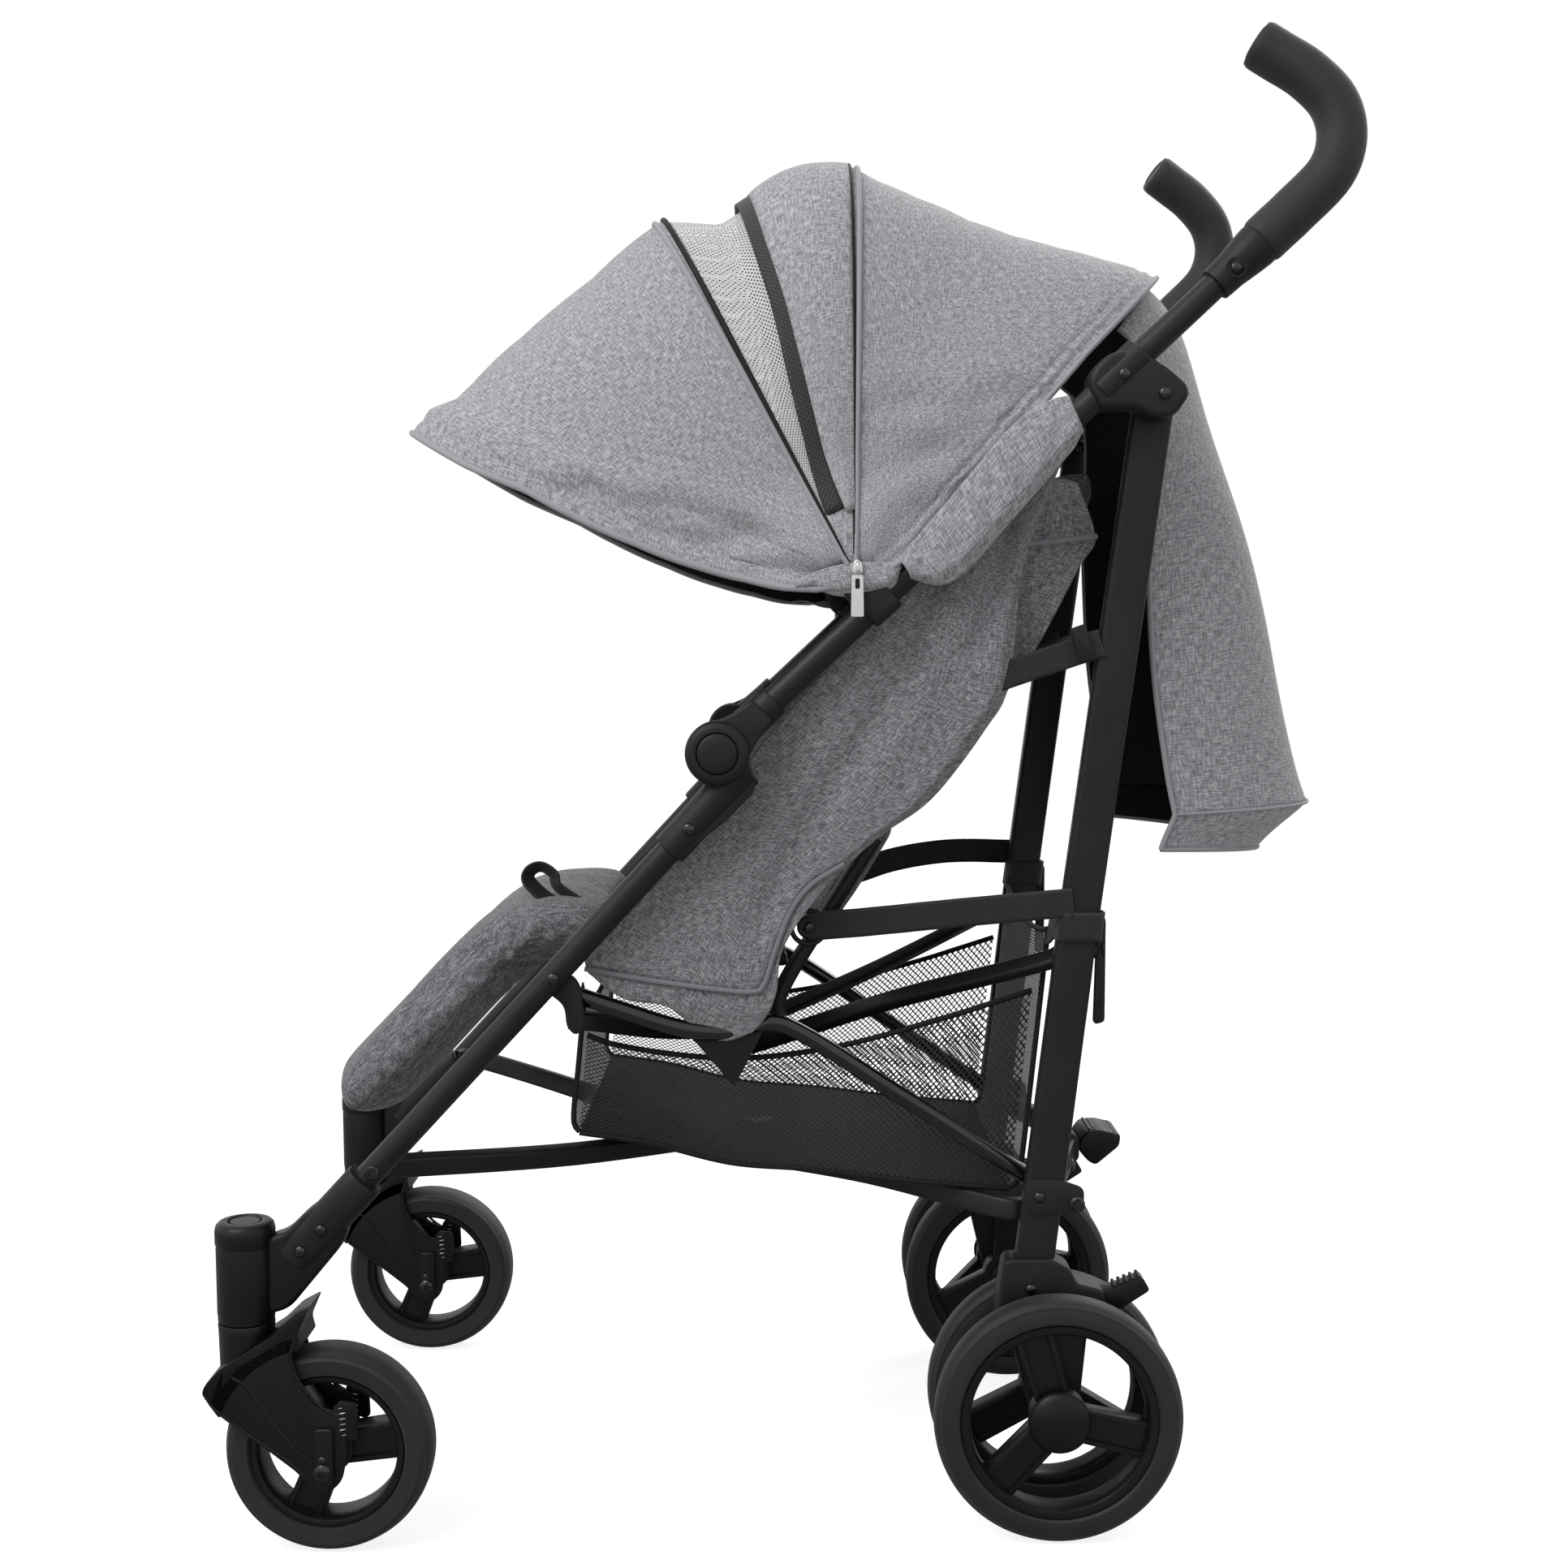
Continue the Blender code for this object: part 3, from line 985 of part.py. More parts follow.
def cushion(line, half_width, thickness, crown, channels=0):
    """A crowned pad along a (y, z) line, thinner at its borders, with sewn cross channels."""
    columns = 10
    line = [Vector((0.0, y, z)) for y, z in line]
    rings = []
    for i, point in enumerate(line):
        ahead = line[min(i + 1, len(line) - 1)] - line[max(i - 1, 0)]
        normal = Vector((0.0, -ahead.z, ahead.y)).normalized()
        normal *= math.copysign(1.0, normal.z)
        at_end = i in (0, len(line) - 1)
        at_channel = channels and i % channels == 0
        fullness = 0.55 if at_end else 0.80 if at_channel else 1.0
        top, bottom = [], []
        for j in range(columns + 1):
            share = 2.0 * j / columns - 1.0
            drawn_in = 1.0 - 0.45 * abs(share) ** 4
            lift = thickness / 2.0 * fullness * drawn_in + crown * fullness * (1.0 - share ** 2)
            drop = thickness / 2.0 * fullness * drawn_in
            across = Vector((half_width * share * (0.985 if at_end else 1.0), 0.0, 0.0))
            top.append(point + across + normal * lift)
            bottom.append(point + across - normal * drop)
        rings.append(top + bottom[::-1])
    bm = bmesh.new()
    skin(bm, rings)
    return solid(bm)


def sampled(points, count):
    """The line through the points, cut into equal steps."""
    points = [Vector((y, z)) for y, z in points]
    lengths = [0.0]
    for first, second in zip(points, points[1:]):
        lengths.append(lengths[-1] + (second - first).length)
    result = []
    for k in range(count + 1):
        goal = lengths[-1] * k / count
        for i in range(len(points) - 1):
            if goal <= lengths[i + 1] + 1e-9:
                share = (goal - lengths[i]) / (lengths[i + 1] - lengths[i])
                spot = points[i].lerp(points[i + 1], share)
                result.append((spot.x, spot.y))
                break
    return result


def make_seat_pad(pivot):
    line = sampled([(-0.130, 0.4420), (-0.090, 0.4390), (-0.045, 0.4330), (-0.016, 0.4300)], 8)
    pad = cushion(line, SIDE_PANEL_LANE[0] - GAP, SEAT_PAD_THICKNESS, 0.004, 4)
    place(pad, "seat_pad", "grey_cloth", pivot)


def make_backrest_pad(pivot):
    line = sampled([(0.0140, 0.4340), (0.0660, 0.5160), (0.1380, 0.6360), (0.2300, 0.7900)], 12)
    pad = cushion(line, BACKREST_PAD_HALF_WIDTH, SEAT_PAD_THICKNESS, 0.004, 4)
    place(pad, "backrest_pad", "grey_cloth", pivot)


def make_calf_pad(pivot):
    line = sampled([(-0.1322, 0.4330), (-0.1600, 0.4380), (-0.1900, 0.4350), (-0.2130, 0.4220),
                    (-0.2460, 0.3910), (-0.3260, 0.3060)], 10)
    pad = cushion(line, CALF_PAD_HALF_WIDTH, PAD_THICKNESS, 0.006, 3)
    place(pad, "calf_pad", "grey_cloth", pivot)


def make_recline_strap(pivot):
    """The webbing that holds the backrest from behind, from leg to leg."""
    half = [(STRAP_END_X, 0.2460, 0.6560), (STRAP_END_X, 0.2260, 0.6550),
            (0.93 * STRAP_END_X, 0.2120, 0.6520), (0.69 * STRAP_END_X, 0.1960, 0.6470),
            (0.345 * STRAP_END_X, 0.1880, 0.6440)]
    line = half + [(0.0, 0.1860, 0.6430)] + [(-x, y, z) for x, y, z in reversed(half)]
    tilt = Vector((0.0, 0.5, 0.85)).normalized() * STRAP_HALF_WIDTH
    grid = [[Vector(p) - tilt, Vector(p) + tilt] for p in line]
    place(shell(grid, STRAP_THICKNESS), "recline_strap", "webbing", pivot)


def make_basket(pivot):
    """An open cloth basket with a raised rear end, resting just over the lower brace."""
    floor = [(-0.1010, 0.2800), (-0.0400, 0.2645), (0.0210, 0.2600), (0.0990, 0.2510)]
    wall = BASKET_WALL
    outer = [(-0.1500, 0.3870), (-0.1580, 0.2940), (-0.1500, 0.2870), *floor, (0.1680, 0.2440),
             (0.1760, 0.2510), (0.1990, 0.4440)]
    inner = [(-0.1500 + wall, 0.4600), (-0.1500 + wall, 0.3870), (-0.1580 + wall, 0.2940 + wall),
             *[(y, z + wall) for y, z in floor], (0.1680 - wall, 0.2440 + 1.5 * wall),
             (0.1990 - wall, 0.4440), (0.1990 - wall, 0.4600)]
    body = prism(outer, -BASKET_HALF_WIDTH, BASKET_HALF_WIDTH, 0.002)
    hollow = prism(inner, -BASKET_HALF_WIDTH + wall, BASKET_HALF_WIDTH - wall)
    sides = [(-0.1380, 0.3560), (-0.1240, 0.3510), (-0.0190, 0.3450), (0.0480, 0.3550),
             (0.1200, 0.3750), (0.1550, 0.3860), (0.1840, 0.3940), (0.1950, 0.4600), (-0.1380, 0.4600)]
    low_sides = prism(sides, -BASKET_HALF_WIDTH - 0.010, BASKET_HALF_WIDTH + 0.010)
    cut(body, hollow, low_sides)
    place(body, "basket", "black_mesh", pivot)


def build():
    clear_scene()
    root = Pivot("frame_origin", (0.0, 0.0, 0.0))
    handle = Pivot("axis_frame_fold", at(0.0, HUB), root)
    leg = Pivot("axis_rear_leg_fold", at(0.0, LEG_PIVOT), handle)
    link = Pivot("axis_link_swing", at(0.0, LINK_FRONT), root)
    lower_brace = Pivot("axis_lower_brace_swing", at(0.0, LOWER_BRACE_FRONT), root)
    upper_brace = Pivot("axis_upper_brace_swing", at(0.0, BRACE_FRONT), root)
    backrest = Pivot("axis_backrest_recline", at(0.0, BACKREST_PIVOT), link)
    hood_front = Pivot("axis_canopy_front", at(0.0, CANOPY_PIVOT), handle)
    hood_mid = Pivot("axis_canopy_mid", at(0.0, CANOPY_PIVOT), handle)
    fold_pedal = Pivot("axis_fold_pedal", at(0.0, FOLD_PEDAL_PIVOT), leg)
    swivel, carrier, front_spin, brake, outer_spin, inner_spin = [], [], [], [], [], []
    for side, word in ((1.0, "left"), (-1.0, "right")):
        x = side * TRACK_X
        swivel.append(Pivot("axis_swivel_" + word, (x, CASTER_Y, CASTER_BOTTOM_Z), root))
        axle = (x, FRONT_WHEEL_Y, FRONT_WHEEL_RADIUS)
        carrier.append(Pivot("axis_suspension_" + word, axle, swivel[-1]))
        front_spin.append(Pivot("axis_front_wheel_" + word, axle, carrier[-1]))
        brake.append(Pivot("axis_brake_pedal_" + word, (side * LEG_BOTTOM_X, *BRAKE_PIVOT), leg))
        outer = (side * sum(REAR_OUTER_LANE) / 2.0, REAR_WHEEL_Y, REAR_WHEEL_RADIUS)
        inner = (side * sum(REAR_INNER_LANE) / 2.0, REAR_WHEEL_Y, REAR_WHEEL_RADIUS)
        outer_spin.append(Pivot("axis_rear_wheel_outer_" + word, outer, leg))
        inner_spin.append(Pivot("axis_rear_wheel_inner_" + word, inner, leg))

    make_front_tube(root)
    make_elbow_lower(root)
    make_caster_housing(root)
    make_brace_bracket(root)
    make_side_panel(root)
    make_seat_pad(root)
    make_calf_pad(root)
    make_basket(root)
    make_fork(*swivel)
    make_suspension_carrier(*carrier)
    make_front_wheels(*front_spin)
    make_handle_tube(handle)
    make_elbow_upper(handle)
    make_upper_bracket(handle)
    make_connector(handle)
    make_grip(handle)
    make_canopy_clip(handle)
    make_canopy_panel("canopy_rear_panel", "grey_cloth", handle, REAR_EDGE_ANGLE,
                      TOP_SEAM_ANGLE, 0.0, -SEAM_GAP, 4)
    make_canopy_flap(handle)
    make_canopy_panel("canopy_mesh_window", "pale_mesh", hood_mid, TOP_SEAM_ANGLE,
                      MID_BOW_ANGLE, SEAM_GAP, -BOW_CLOTH_GAP, 3)
    make_canopy_bow("canopy_bow_mid", MID_BOW_ANGLE, MID_BOW_HALF_WIDTH, hood_mid)
    make_canopy_panel("canopy_front_panel", "grey_cloth", hood_front, MID_BOW_ANGLE,
                      FRONT_BOW_ANGLE, BOW_CLOTH_GAP, -BOW_CLOTH_GAP, 5)
    make_canopy_bow("canopy_bow_front", FRONT_BOW_ANGLE, FRONT_BOW_HALF_WIDTH, hood_front)
    make_rear_leg(leg)
    make_foot(leg)
    make_brake_pedal(*brake)
    make_rear_wheels(*outer_spin, *inner_spin)
    make_fold_lock_brace(leg)
    make_fold_pedal(fold_pedal)
    make_brake_cable(leg)
    make_link_tube(link)
    make_lower_brace(lower_brace)
    make_upper_brace(upper_brace)
    make_backrest_tube(backrest)
    make_backrest_pad(backrest)
    make_recline_strap(backrest)


build()
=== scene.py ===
"""The looks of a folding umbrella buggy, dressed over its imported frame."""

import json
import logging
import math
from dataclasses import dataclass
from enum import Enum
from itertools import pairwise
from typing import Callable, Iterable, Sequence

import bmesh
import bpy
from bmesh.types import BMEdge, BMesh, BMFace, BMVert
from bpy.types import Material, Node, NodeSocket, NodeTree, Object
from mathutils import Matrix, Vector


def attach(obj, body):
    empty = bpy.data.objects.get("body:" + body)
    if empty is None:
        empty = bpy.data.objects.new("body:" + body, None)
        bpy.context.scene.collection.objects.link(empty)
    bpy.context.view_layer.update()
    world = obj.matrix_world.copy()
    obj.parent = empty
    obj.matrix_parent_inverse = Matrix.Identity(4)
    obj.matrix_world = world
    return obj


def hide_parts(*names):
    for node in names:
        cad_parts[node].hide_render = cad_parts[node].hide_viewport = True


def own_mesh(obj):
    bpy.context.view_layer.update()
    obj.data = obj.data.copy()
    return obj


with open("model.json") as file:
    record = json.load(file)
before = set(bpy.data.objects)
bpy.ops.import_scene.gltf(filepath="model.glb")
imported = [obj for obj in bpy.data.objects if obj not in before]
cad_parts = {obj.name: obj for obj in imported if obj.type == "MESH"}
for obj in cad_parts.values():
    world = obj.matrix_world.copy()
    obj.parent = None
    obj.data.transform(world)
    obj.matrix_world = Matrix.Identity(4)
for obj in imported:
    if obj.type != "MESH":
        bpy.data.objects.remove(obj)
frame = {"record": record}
log = logging.getLogger("buggy")

Flat = tuple[float, float]
Place = tuple[float, float, float]

LEFT, RIGHT = 1.0, -1.0
DRESSED = "_dressed"
TRACK_X = 0.2
TUBE_RADIUS = 0.0095
HUB = (-0.0468, 0.5787)
FRONT_TUBE_START = (-0.0309, 0.564)
FRONT_TUBE_TILT = math.radians(47.3)
HANDLE_TILT = math.radians(43.2)
CANOPY_PIVOT = (0.05, 0.7)
FRONT_AXLE = (-0.329, 0.075)
REAR_AXLE = (0.2005, 0.091)


# Small tools

def side_name(side: float) -> str:
    """The word for a side of the buggy."""
    return "left" if side > 0 else "right"


def on_front_tube(along: float, offset: float = 0.0) -> Flat:
    """A point in the side view on the front tube, measured down from the fold hub.

    Args:
        along: Distance down the tube, in metres.
        offset: Distance to the tube's front upper side.

    Returns:
        The point's y and z.
    """
    cos, sin = math.cos(FRONT_TUBE_TILT), math.sin(FRONT_TUBE_TILT)
    return (FRONT_TUBE_START[0] - along * cos - offset * sin,
            FRONT_TUBE_START[1] - along * sin + offset * cos)


def on_handle(along: float, offset: float = 0.0) -> Flat:
    """A point in the side view on the handle tube, measured up from the fold hub.

    Args:
        along: Distance up the tube, in metres.
        offset: Distance to the tube's upper front side.

    Returns:
        The point's y and z.
    """
    cos, sin = math.cos(HANDLE_TILT), math.sin(HANDLE_TILT)
    return (HUB[0] + along * cos - offset * sin, HUB[1] + along * sin + offset * cos)


def at(x: float, point: Flat) -> Vector:
    """A side view point placed at x."""
    return Vector((x, point[0], point[1]))


def smooth(points: Iterable[Sequence[float]], steps: int = 6) -> list[Vector]:
    """A soft line through some points.

    Args:
        points: The points it passes.
        steps: Stretches between each two points.

    Returns:
        The line's points, the given ones among them.
    """
    given = [Vector(p) for p in points]
    held = [2 * given[0] - given[1], *given, 2 * given[-1] - given[-2]]
    line = []
    for a, b, c, d in zip(held, held[1:], held[2:], held[3:]):
        for k in range(steps):
            t = k / steps
            line.append(0.5 * (2 * b + (c - a) * t + (2 * a - 5 * b + 4 * c - d) * t * t
                               + (3 * b - a - 3 * c + d) * t ** 3))
    return [*line, given[-1]]


def along_line(line: Sequence[Vector], share: float) -> Vector:
    """The point at a share of a line's length.

    Args:
        line: The line's points.
        share: From 0, its start, to 1, its end.

    Returns:
        The point.
    """
    lengths = [(b - a).length for a, b in pairwise(line)]
    left = max(0.0, min(1.0, share)) * sum(lengths)
    for (a, b), length in zip(pairwise(line), lengths):
        if left <= length and length > 0:
            return a.lerp(b, left / length)
        left -= length
    return line[-1].copy()


def rounded(corners: Sequence[Flat], radius: float, steps: int = 4) -> list[Flat]:
    """An outline with each of its corners drawn as a short arc.

    Args:
        corners: The outline's corners in order.
        radius: How far from a corner its arc starts.
        steps: Stretches in each arc.

    Returns:
        The outline's points.
    """
    drawn = []
    for before, here, after in zip([corners[-1], *corners[:-1]], corners, [*corners[1:], corners[0]]):
        a, b, c = Vector(before), Vector(here), Vector(after)
        reach = min(radius, (a - b).length * 0.46, (c - b).length * 0.46)
        start, end = b + (a - b).normalized() * reach, b + (c - b).normalized() * reach
        for k in range(steps + 1):
            t = k / steps
            p = (1 - t) ** 2 * start + 2 * t * (1 - t) * b + t * t * end
            drawn.append((p.x, p.y))
    return drawn


def circle(radius: float, sides: int = 32) -> list[Flat]:
    """A round section."""
    return [(radius * math.cos(2 * math.pi * k / sides), radius * math.sin(2 * math.pi * k / sides))
            for k in range(sides)]


def box_section(width: float, height: float, corner: float) -> list[Flat]:
    """A rectangular section with round corners."""
    w, h = width / 2, height / 2
    return rounded([(-w, -h), (w, -h), (w, h), (-w, h)], corner)


def ease(value: float, low: float, high: float) -> float:
    """0 at low and 1 at high, with a soft start and end."""
    t = max(0.0, min(1.0, (value - low) / (high - low)))
    return t * t * (3 - 2 * t)


def ridge(distance: float, width: float) -> float:
    """The height of a soft fold at a distance from its crest."""
    return math.exp(-(distance / width) ** 2)


# Shells: each returns one bmesh that a Piece takes in

def stations(line: Sequence[Vector], across: Place = (1.0, 0.0, 0.0),
             sizes: Callable[[float], Flat] | None = None) -> list[Matrix]:
    """A frame at each point of a line, for a section to be carried along it.

    Args:
        line: The line's points.
        across: Where the section's first axis points.
        sizes: The section's two scales at a share of the way along.

    Returns:
        One matrix a point; its third axis follows the line.
    """
    side = Vector(across)
    frames = []
    for k, point in enumerate(line):
        ahead = (line[min(k + 1, len(line) - 1)] - line[max(k - 1, 0)]).normalized()
        side = (side - ahead * side.dot(ahead)).normalized()
        up = ahead.cross(side)
        turn = Matrix((side, up, ahead)).transposed().to_4x4()
        a, b = sizes(k / (len(line) - 1)) if sizes else (1.0, 1.0)
        frames.append(Matrix.Translation(point) @ turn @ Matrix.Diagonal((a, b, 1.0, 1.0)))
    return frames


def sweep(section: Sequence[Flat], frames: Sequence[Matrix], closed: bool = False) -> BMesh:
    """A section carried through frames, closed at both ends.

    Args:
        section: The section's points in order.
        frames: Where it stands in turn.
        closed: True where the last frame meets the first.

    Returns:
        The shell.
    """
    bm = bmesh.new()
    ring = [bm.verts.new(frames[0] @ Vector((a, b, 0.0))) for a, b in section]
    first = bm.faces.new(ring)
    edges = list(first.edges)
    if closed:
        bmesh.ops.delete(bm, geom=[first], context="FACES_ONLY")
    for before, after in pairwise(frames):
        made = bmesh.ops.extrude_edge_only(bm, edges=edges)["geom"]
        verts = [v for v in made if isinstance(v, BMVert)]
        fresh = set(verts)
        edges = [e for e in made if isinstance(e, BMEdge) and all(v in fresh for v in e.verts)]
        bmesh.ops.transform(bm, matrix=after @ before.inverted(), verts=verts)
    if closed:
        bmesh.ops.remove_doubles(bm, verts=bm.verts, dist=1e-5)
    else:
        bmesh.ops.contextual_create(bm, geom=edges)
    bmesh.ops.recalc_face_normals(bm, faces=bm.faces)
    return bm


def tube(points: Iterable[Sequence[float]], radius: float, sides: int = 32, steps: int = 1,
         across: Place = (1.0, 0.0, 0.0), sizes: Callable[[float], Flat] | None = None) -> BMesh:
    """A round bar along some points.

    Args:
        points: The points it passes.
        radius: Its radius.
        sides: Faces round it.
        steps: Stretches between each two points; 1 leaves the line straight between them.
        across: Where its first axis points.
        sizes: Its two scales at a share of the way along.

    Returns:
        The shell.
    """
    line = smooth(points, steps) if steps > 1 else [Vector(p) for p in points]
    return sweep(circle(radius, sides), stations(line, across, sizes))


def lathe(profile: Sequence[Flat], centre: Place, axis: Place = (1.0, 0.0, 0.0), steps: int = 48) -> BMesh:
    """A profile turned about an axis.

    Args:
        profile: Radius and place along the axis of each point; it is closed where its ends meet.
        centre: A point on the axis, from which places along it count.
        axis: The axis.
        steps: Faces round it.

    Returns:
        The shell.
    """
    bm = bmesh.new()
    middle, along = Vector(centre), Vector(axis).normalized()
    out = along.orthogonal().normalized()
    verts = [bm.verts.new(middle + out * r + along * s) for r, s in profile]
    edges = [bm.edges.new(pair) for pair in pairwise(verts)]
    bmesh.ops.spin(bm, geom=verts + edges, cent=middle, axis=along, dvec=(0, 0, 0), angle=2 * math.pi,
                   steps=steps, use_merge=True, use_duplicate=False)
    bmesh.ops.remove_doubles(bm, verts=bm.verts, dist=1e-6)
    bmesh.ops.recalc_face_normals(bm, faces=bm.faces)
    return bm


def pin(start: Place, radius: float, length: float, steps: int = 20) -> BMesh:
    """A plain pin from a point towards +x."""
    return lathe([(0, 0), (radius, 0), (radius, length), (0, length)], start, steps=steps)


def collar(section: Sequence[Flat], place: Callable[[float], Flat], marks: Sequence[Flat]) -> BMesh:
    """A section carried along a frame tube and scaled at each mark.

    Args:
        section: The section's points in order.
        place: The side view point for a distance along the tube.
        marks: Distance along the tube and scale at each station.

    Returns:
        The shell.
    """
    frames = stations([at(TRACK_X, place(along)) for along, _ in marks])
    return sweep(section, [m @ Matrix.Diagonal((g, g, 1, 1)) for m, (_, g) in zip(frames, marks)])


def plate(outline: Sequence[Flat], low: float, high: float, edge: float = 0.0006, steps: int = 2) -> BMesh:
    """A flat part cut to a side view outline, its edges broken.

    Args:
        outline: The outline's points, y and z.
        low: Its one face's x.
        high: Its other face's x.
        edge: Radius of the edges.
        steps: Faces across an edge.

    Returns:
        The shell.
    """
    bm = bmesh.new()
    face = bm.faces.new([bm.verts.new((low, y, z)) for y, z in outline])
    made = bmesh.ops.extrude_face_region(bm, geom=[face])["geom"]
    bmesh.ops.translate(bm, vec=(high - low, 0, 0), verts=[v for v in made if isinstance(v, BMVert)])
    bmesh.ops.recalc_face_normals(bm, faces=bm.faces)
    if edge > 0:
        rims = [e for e in bm.edges if abs(e.verts[0].co.x - e.verts[1].co.x) < 1e-7]
        bmesh.ops.bevel(bm, geom=rims, offset=edge, offset_type="OFFSET", segments=steps, profile=0.5,
                        affect="EDGES", clamp_overlap=True, material=-1)
    return bm


def read_off(table: Sequence[Flat], value: float) -> float:
    """Reads a table of pairs at a value, straight between its rows."""
    for (a, first), (b, second) in pairwise(table):
        if value <= b:
            return first + (second - first) * max(0.0, (value - a) / (b - a))
    return table[-1][1]


def cloth_grid(columns: int, rows: int, place: Callable[[float, float], Vector],
               size: Flat = (1.0, 1.0)) -> BMesh:
    """A sheet whose points a formula places, its texture map in metres.

    Args:
        columns: Faces across.
        rows: Faces along.
        place: The point for a share across and a share along.
        size: The flat sheet's width and length.

    Returns:
        The shell, one layer thick.
    """
    bm = bmesh.new()
    layer = bm.loops.layers.uv.new("UVMap")
    bmesh.ops.create_grid(bm, x_segments=columns, y_segments=rows, size=0.5, calc_uvs=True)
    for face in bm.faces:
        for loop in face.loops:
            u, v = loop[layer].uv
            loop[layer].uv = (u * size[0], v * size[1])
    for vert in bm.verts:
        vert.co = place(vert.co.x + 0.5, vert.co.y + 0.5)
    return bm


def dome(centre: Place, radius: float, height: float, axis: Place = (1.0, 0.0, 0.0)) -> BMesh:
    """A rivet's domed head, its flat side on the centre."""
    return lathe([(0, 0), (radius, 0), (radius, 0.35 * height), (0.86 * radius, 0.72 * height),
                  (0.5 * radius, 0.95 * height), (0, height)], centre, axis, 20)


def screw(centre: Place, radius: float, height: float) -> BMesh:
    """A pan head screw with a round socket, looking along +x."""
    return lathe([(0, 0), (radius, 0), (radius, 0.7 * height), (0.85 * radius, height),
                  (0.45 * radius, height), (0.4 * radius, 0.45 * height), (0, 0.4 * height)], centre,
                 steps=20)


class Piece:
    """One piece in the making: shells in a single mesh, each with its own finish."""

    def __init__(self, name: str) -> None:
        """Starts an empty piece.

        Args:
            name: The finished object's name.
        """
        self.name = name
        self.bm = bmesh.new()
        self.uv = self.bm.loops.layers.uv.new("UVMap")
        self.finishes: list[Material] = []

    def add(self, shell: BMesh, finish: Material, flip: bool = False) -> "Piece":
        """Takes a shell in.

        Args:
            shell: The shell, which is used up.
            finish: Its material.
            flip: True to turn its faces round.

        Returns:
            This piece.
        """
        if finish not in self.finishes:
            self.finishes.append(finish)
        for face in shell.faces:
            face.material_index = self.finishes.index(finish)
            face.smooth = True
        if flip:
            bmesh.ops.reverse_faces(shell, faces=shell.faces)
        spare = bpy.data.meshes.new("spare")
        shell.to_mesh(spare)
        shell.free()
        self.bm.from_mesh(spare)
        bpy.data.meshes.remove(spare)
        return self

    def mirror_in(self) -> "Piece":
        """Adds the same shells on the buggy's other side, as one piece."""
        half = bmesh.ops.duplicate(self.bm, geom=[*self.bm.verts, *self.bm.edges, *self.bm.faces])["geom"]
        bmesh.ops.scale(self.bm, vec=(-1, 1, 1), verts=[v for v in half if isinstance(v, BMVert)])
        bmesh.ops.reverse_faces(self.bm, faces=[f for f in half if isinstance(f, BMFace)])
        return self

    def done(self, side: float = LEFT, sharp: float = 38.0) -> Object:
        """Makes the object, mirrored where it stands on the right.

        Args:
            side: 1 for the left of the buggy, -1 for its right.
            sharp: Angle in degrees past which an edge looks sharp.

        Returns:
            The object.
        """
        if side < 0:
            bmesh.ops.scale(self.bm, vec=(-1, 1, 1), verts=self.bm.verts)
            bmesh.ops.reverse_faces(self.bm, faces=self.bm.faces)
        mesh = bpy.data.meshes.new(self.name)
        self.bm.to_mesh(mesh)
        self.bm.free()
        mesh.set_sharp_from_angle(angle=math.radians(sharp))
        made = bpy.data.objects.new(self.name, mesh)
        for finish in self.finishes:
            mesh.materials.append(finish)
        bpy.context.scene.collection.objects.link(made)
        log.info("%s: %d faces", self.name, len(mesh.polygons))
        return made

    def dress(self, body: str, side: float = LEFT) -> Object:
        """Makes the object, riding on a body in place of the node that it is named for."""
        return seat_on(self.done(side), body, self.name.removesuffix(DRESSED))


def seat_on(piece: Object, body: str, *nodes: str) -> Object:
    """Makes a piece ride on a body and stand for CAD nodes.

    Args:
        piece: The piece.
        body: The body's name.
        *nodes: The nodes that it replaces.

    Returns:
        The piece.
    """
    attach(piece, body)
    if nodes:
        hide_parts(*nodes)
    return piece


def thicken(piece: Object, thickness: float, inner: int = 0, offset: float = -1.0) -> None:
    """Gives a sheet its thickness.

    Args:
        piece: The sheet.
        thickness: In metres.
        inner: How many material slots further the inner side's finish is.
        offset: -1 inwards, 1 outwards.
    """
    made = piece.modifiers.new("thickness", "SOLIDIFY")
    made.thickness = thickness
    made.offset = offset
    made.use_even_offset = True
    made.material_offset = inner
    made.material_offset_rim = 0


def soften(piece: Object, levels: int = 1) -> None:
    """Adds a subdivision surface."""
    made = piece.modifiers.new("softness", "SUBSURF")
    made.levels = levels
    made.render_levels = levels


# Finishes

def linear(code: str) -> tuple[float, float, float, float]:
    """The linear colour of an sRGB hex value."""
    parts = [int(code[k:k + 2], 16) / 255 for k in (1, 3, 5)]
    r, g, b = (c / 12.92 if c <= 0.04045 else ((c + 0.055) / 1.055) ** 2.4 for c in parts)
    return r, g, b, 1.0


def add_node(tree: NodeTree, kind: str, values: dict[str | int, object] | None = None,
             links: dict[str | int, NodeSocket] | None = None, **settings: object) -> Node:
    """Adds a shader node.

    Args:
        tree: The node tree.
        kind: The node's type, without its ShaderNode start.
        values: Plain values by input.
        links: Sockets by the input that they feed.
        **settings: The node's own settings.

    Returns:
        The node.
    """
    made = tree.nodes.new("ShaderNode" + kind)
    for name, value in settings.items():
        setattr(made, name, value)
    for name, value in (values or {}).items():
        made.inputs[name].default_value = value
    for name, socket in (links or {}).items():
        tree.links.new(socket, made.inputs[name])
    return made


def blank(name: str) -> tuple[Material, NodeTree]:
    """A material with an empty node tree."""
    made = bpy.data.materials.new(name)
    made.use_nodes = True
    made.node_tree.nodes.clear()
    return made, made.node_tree


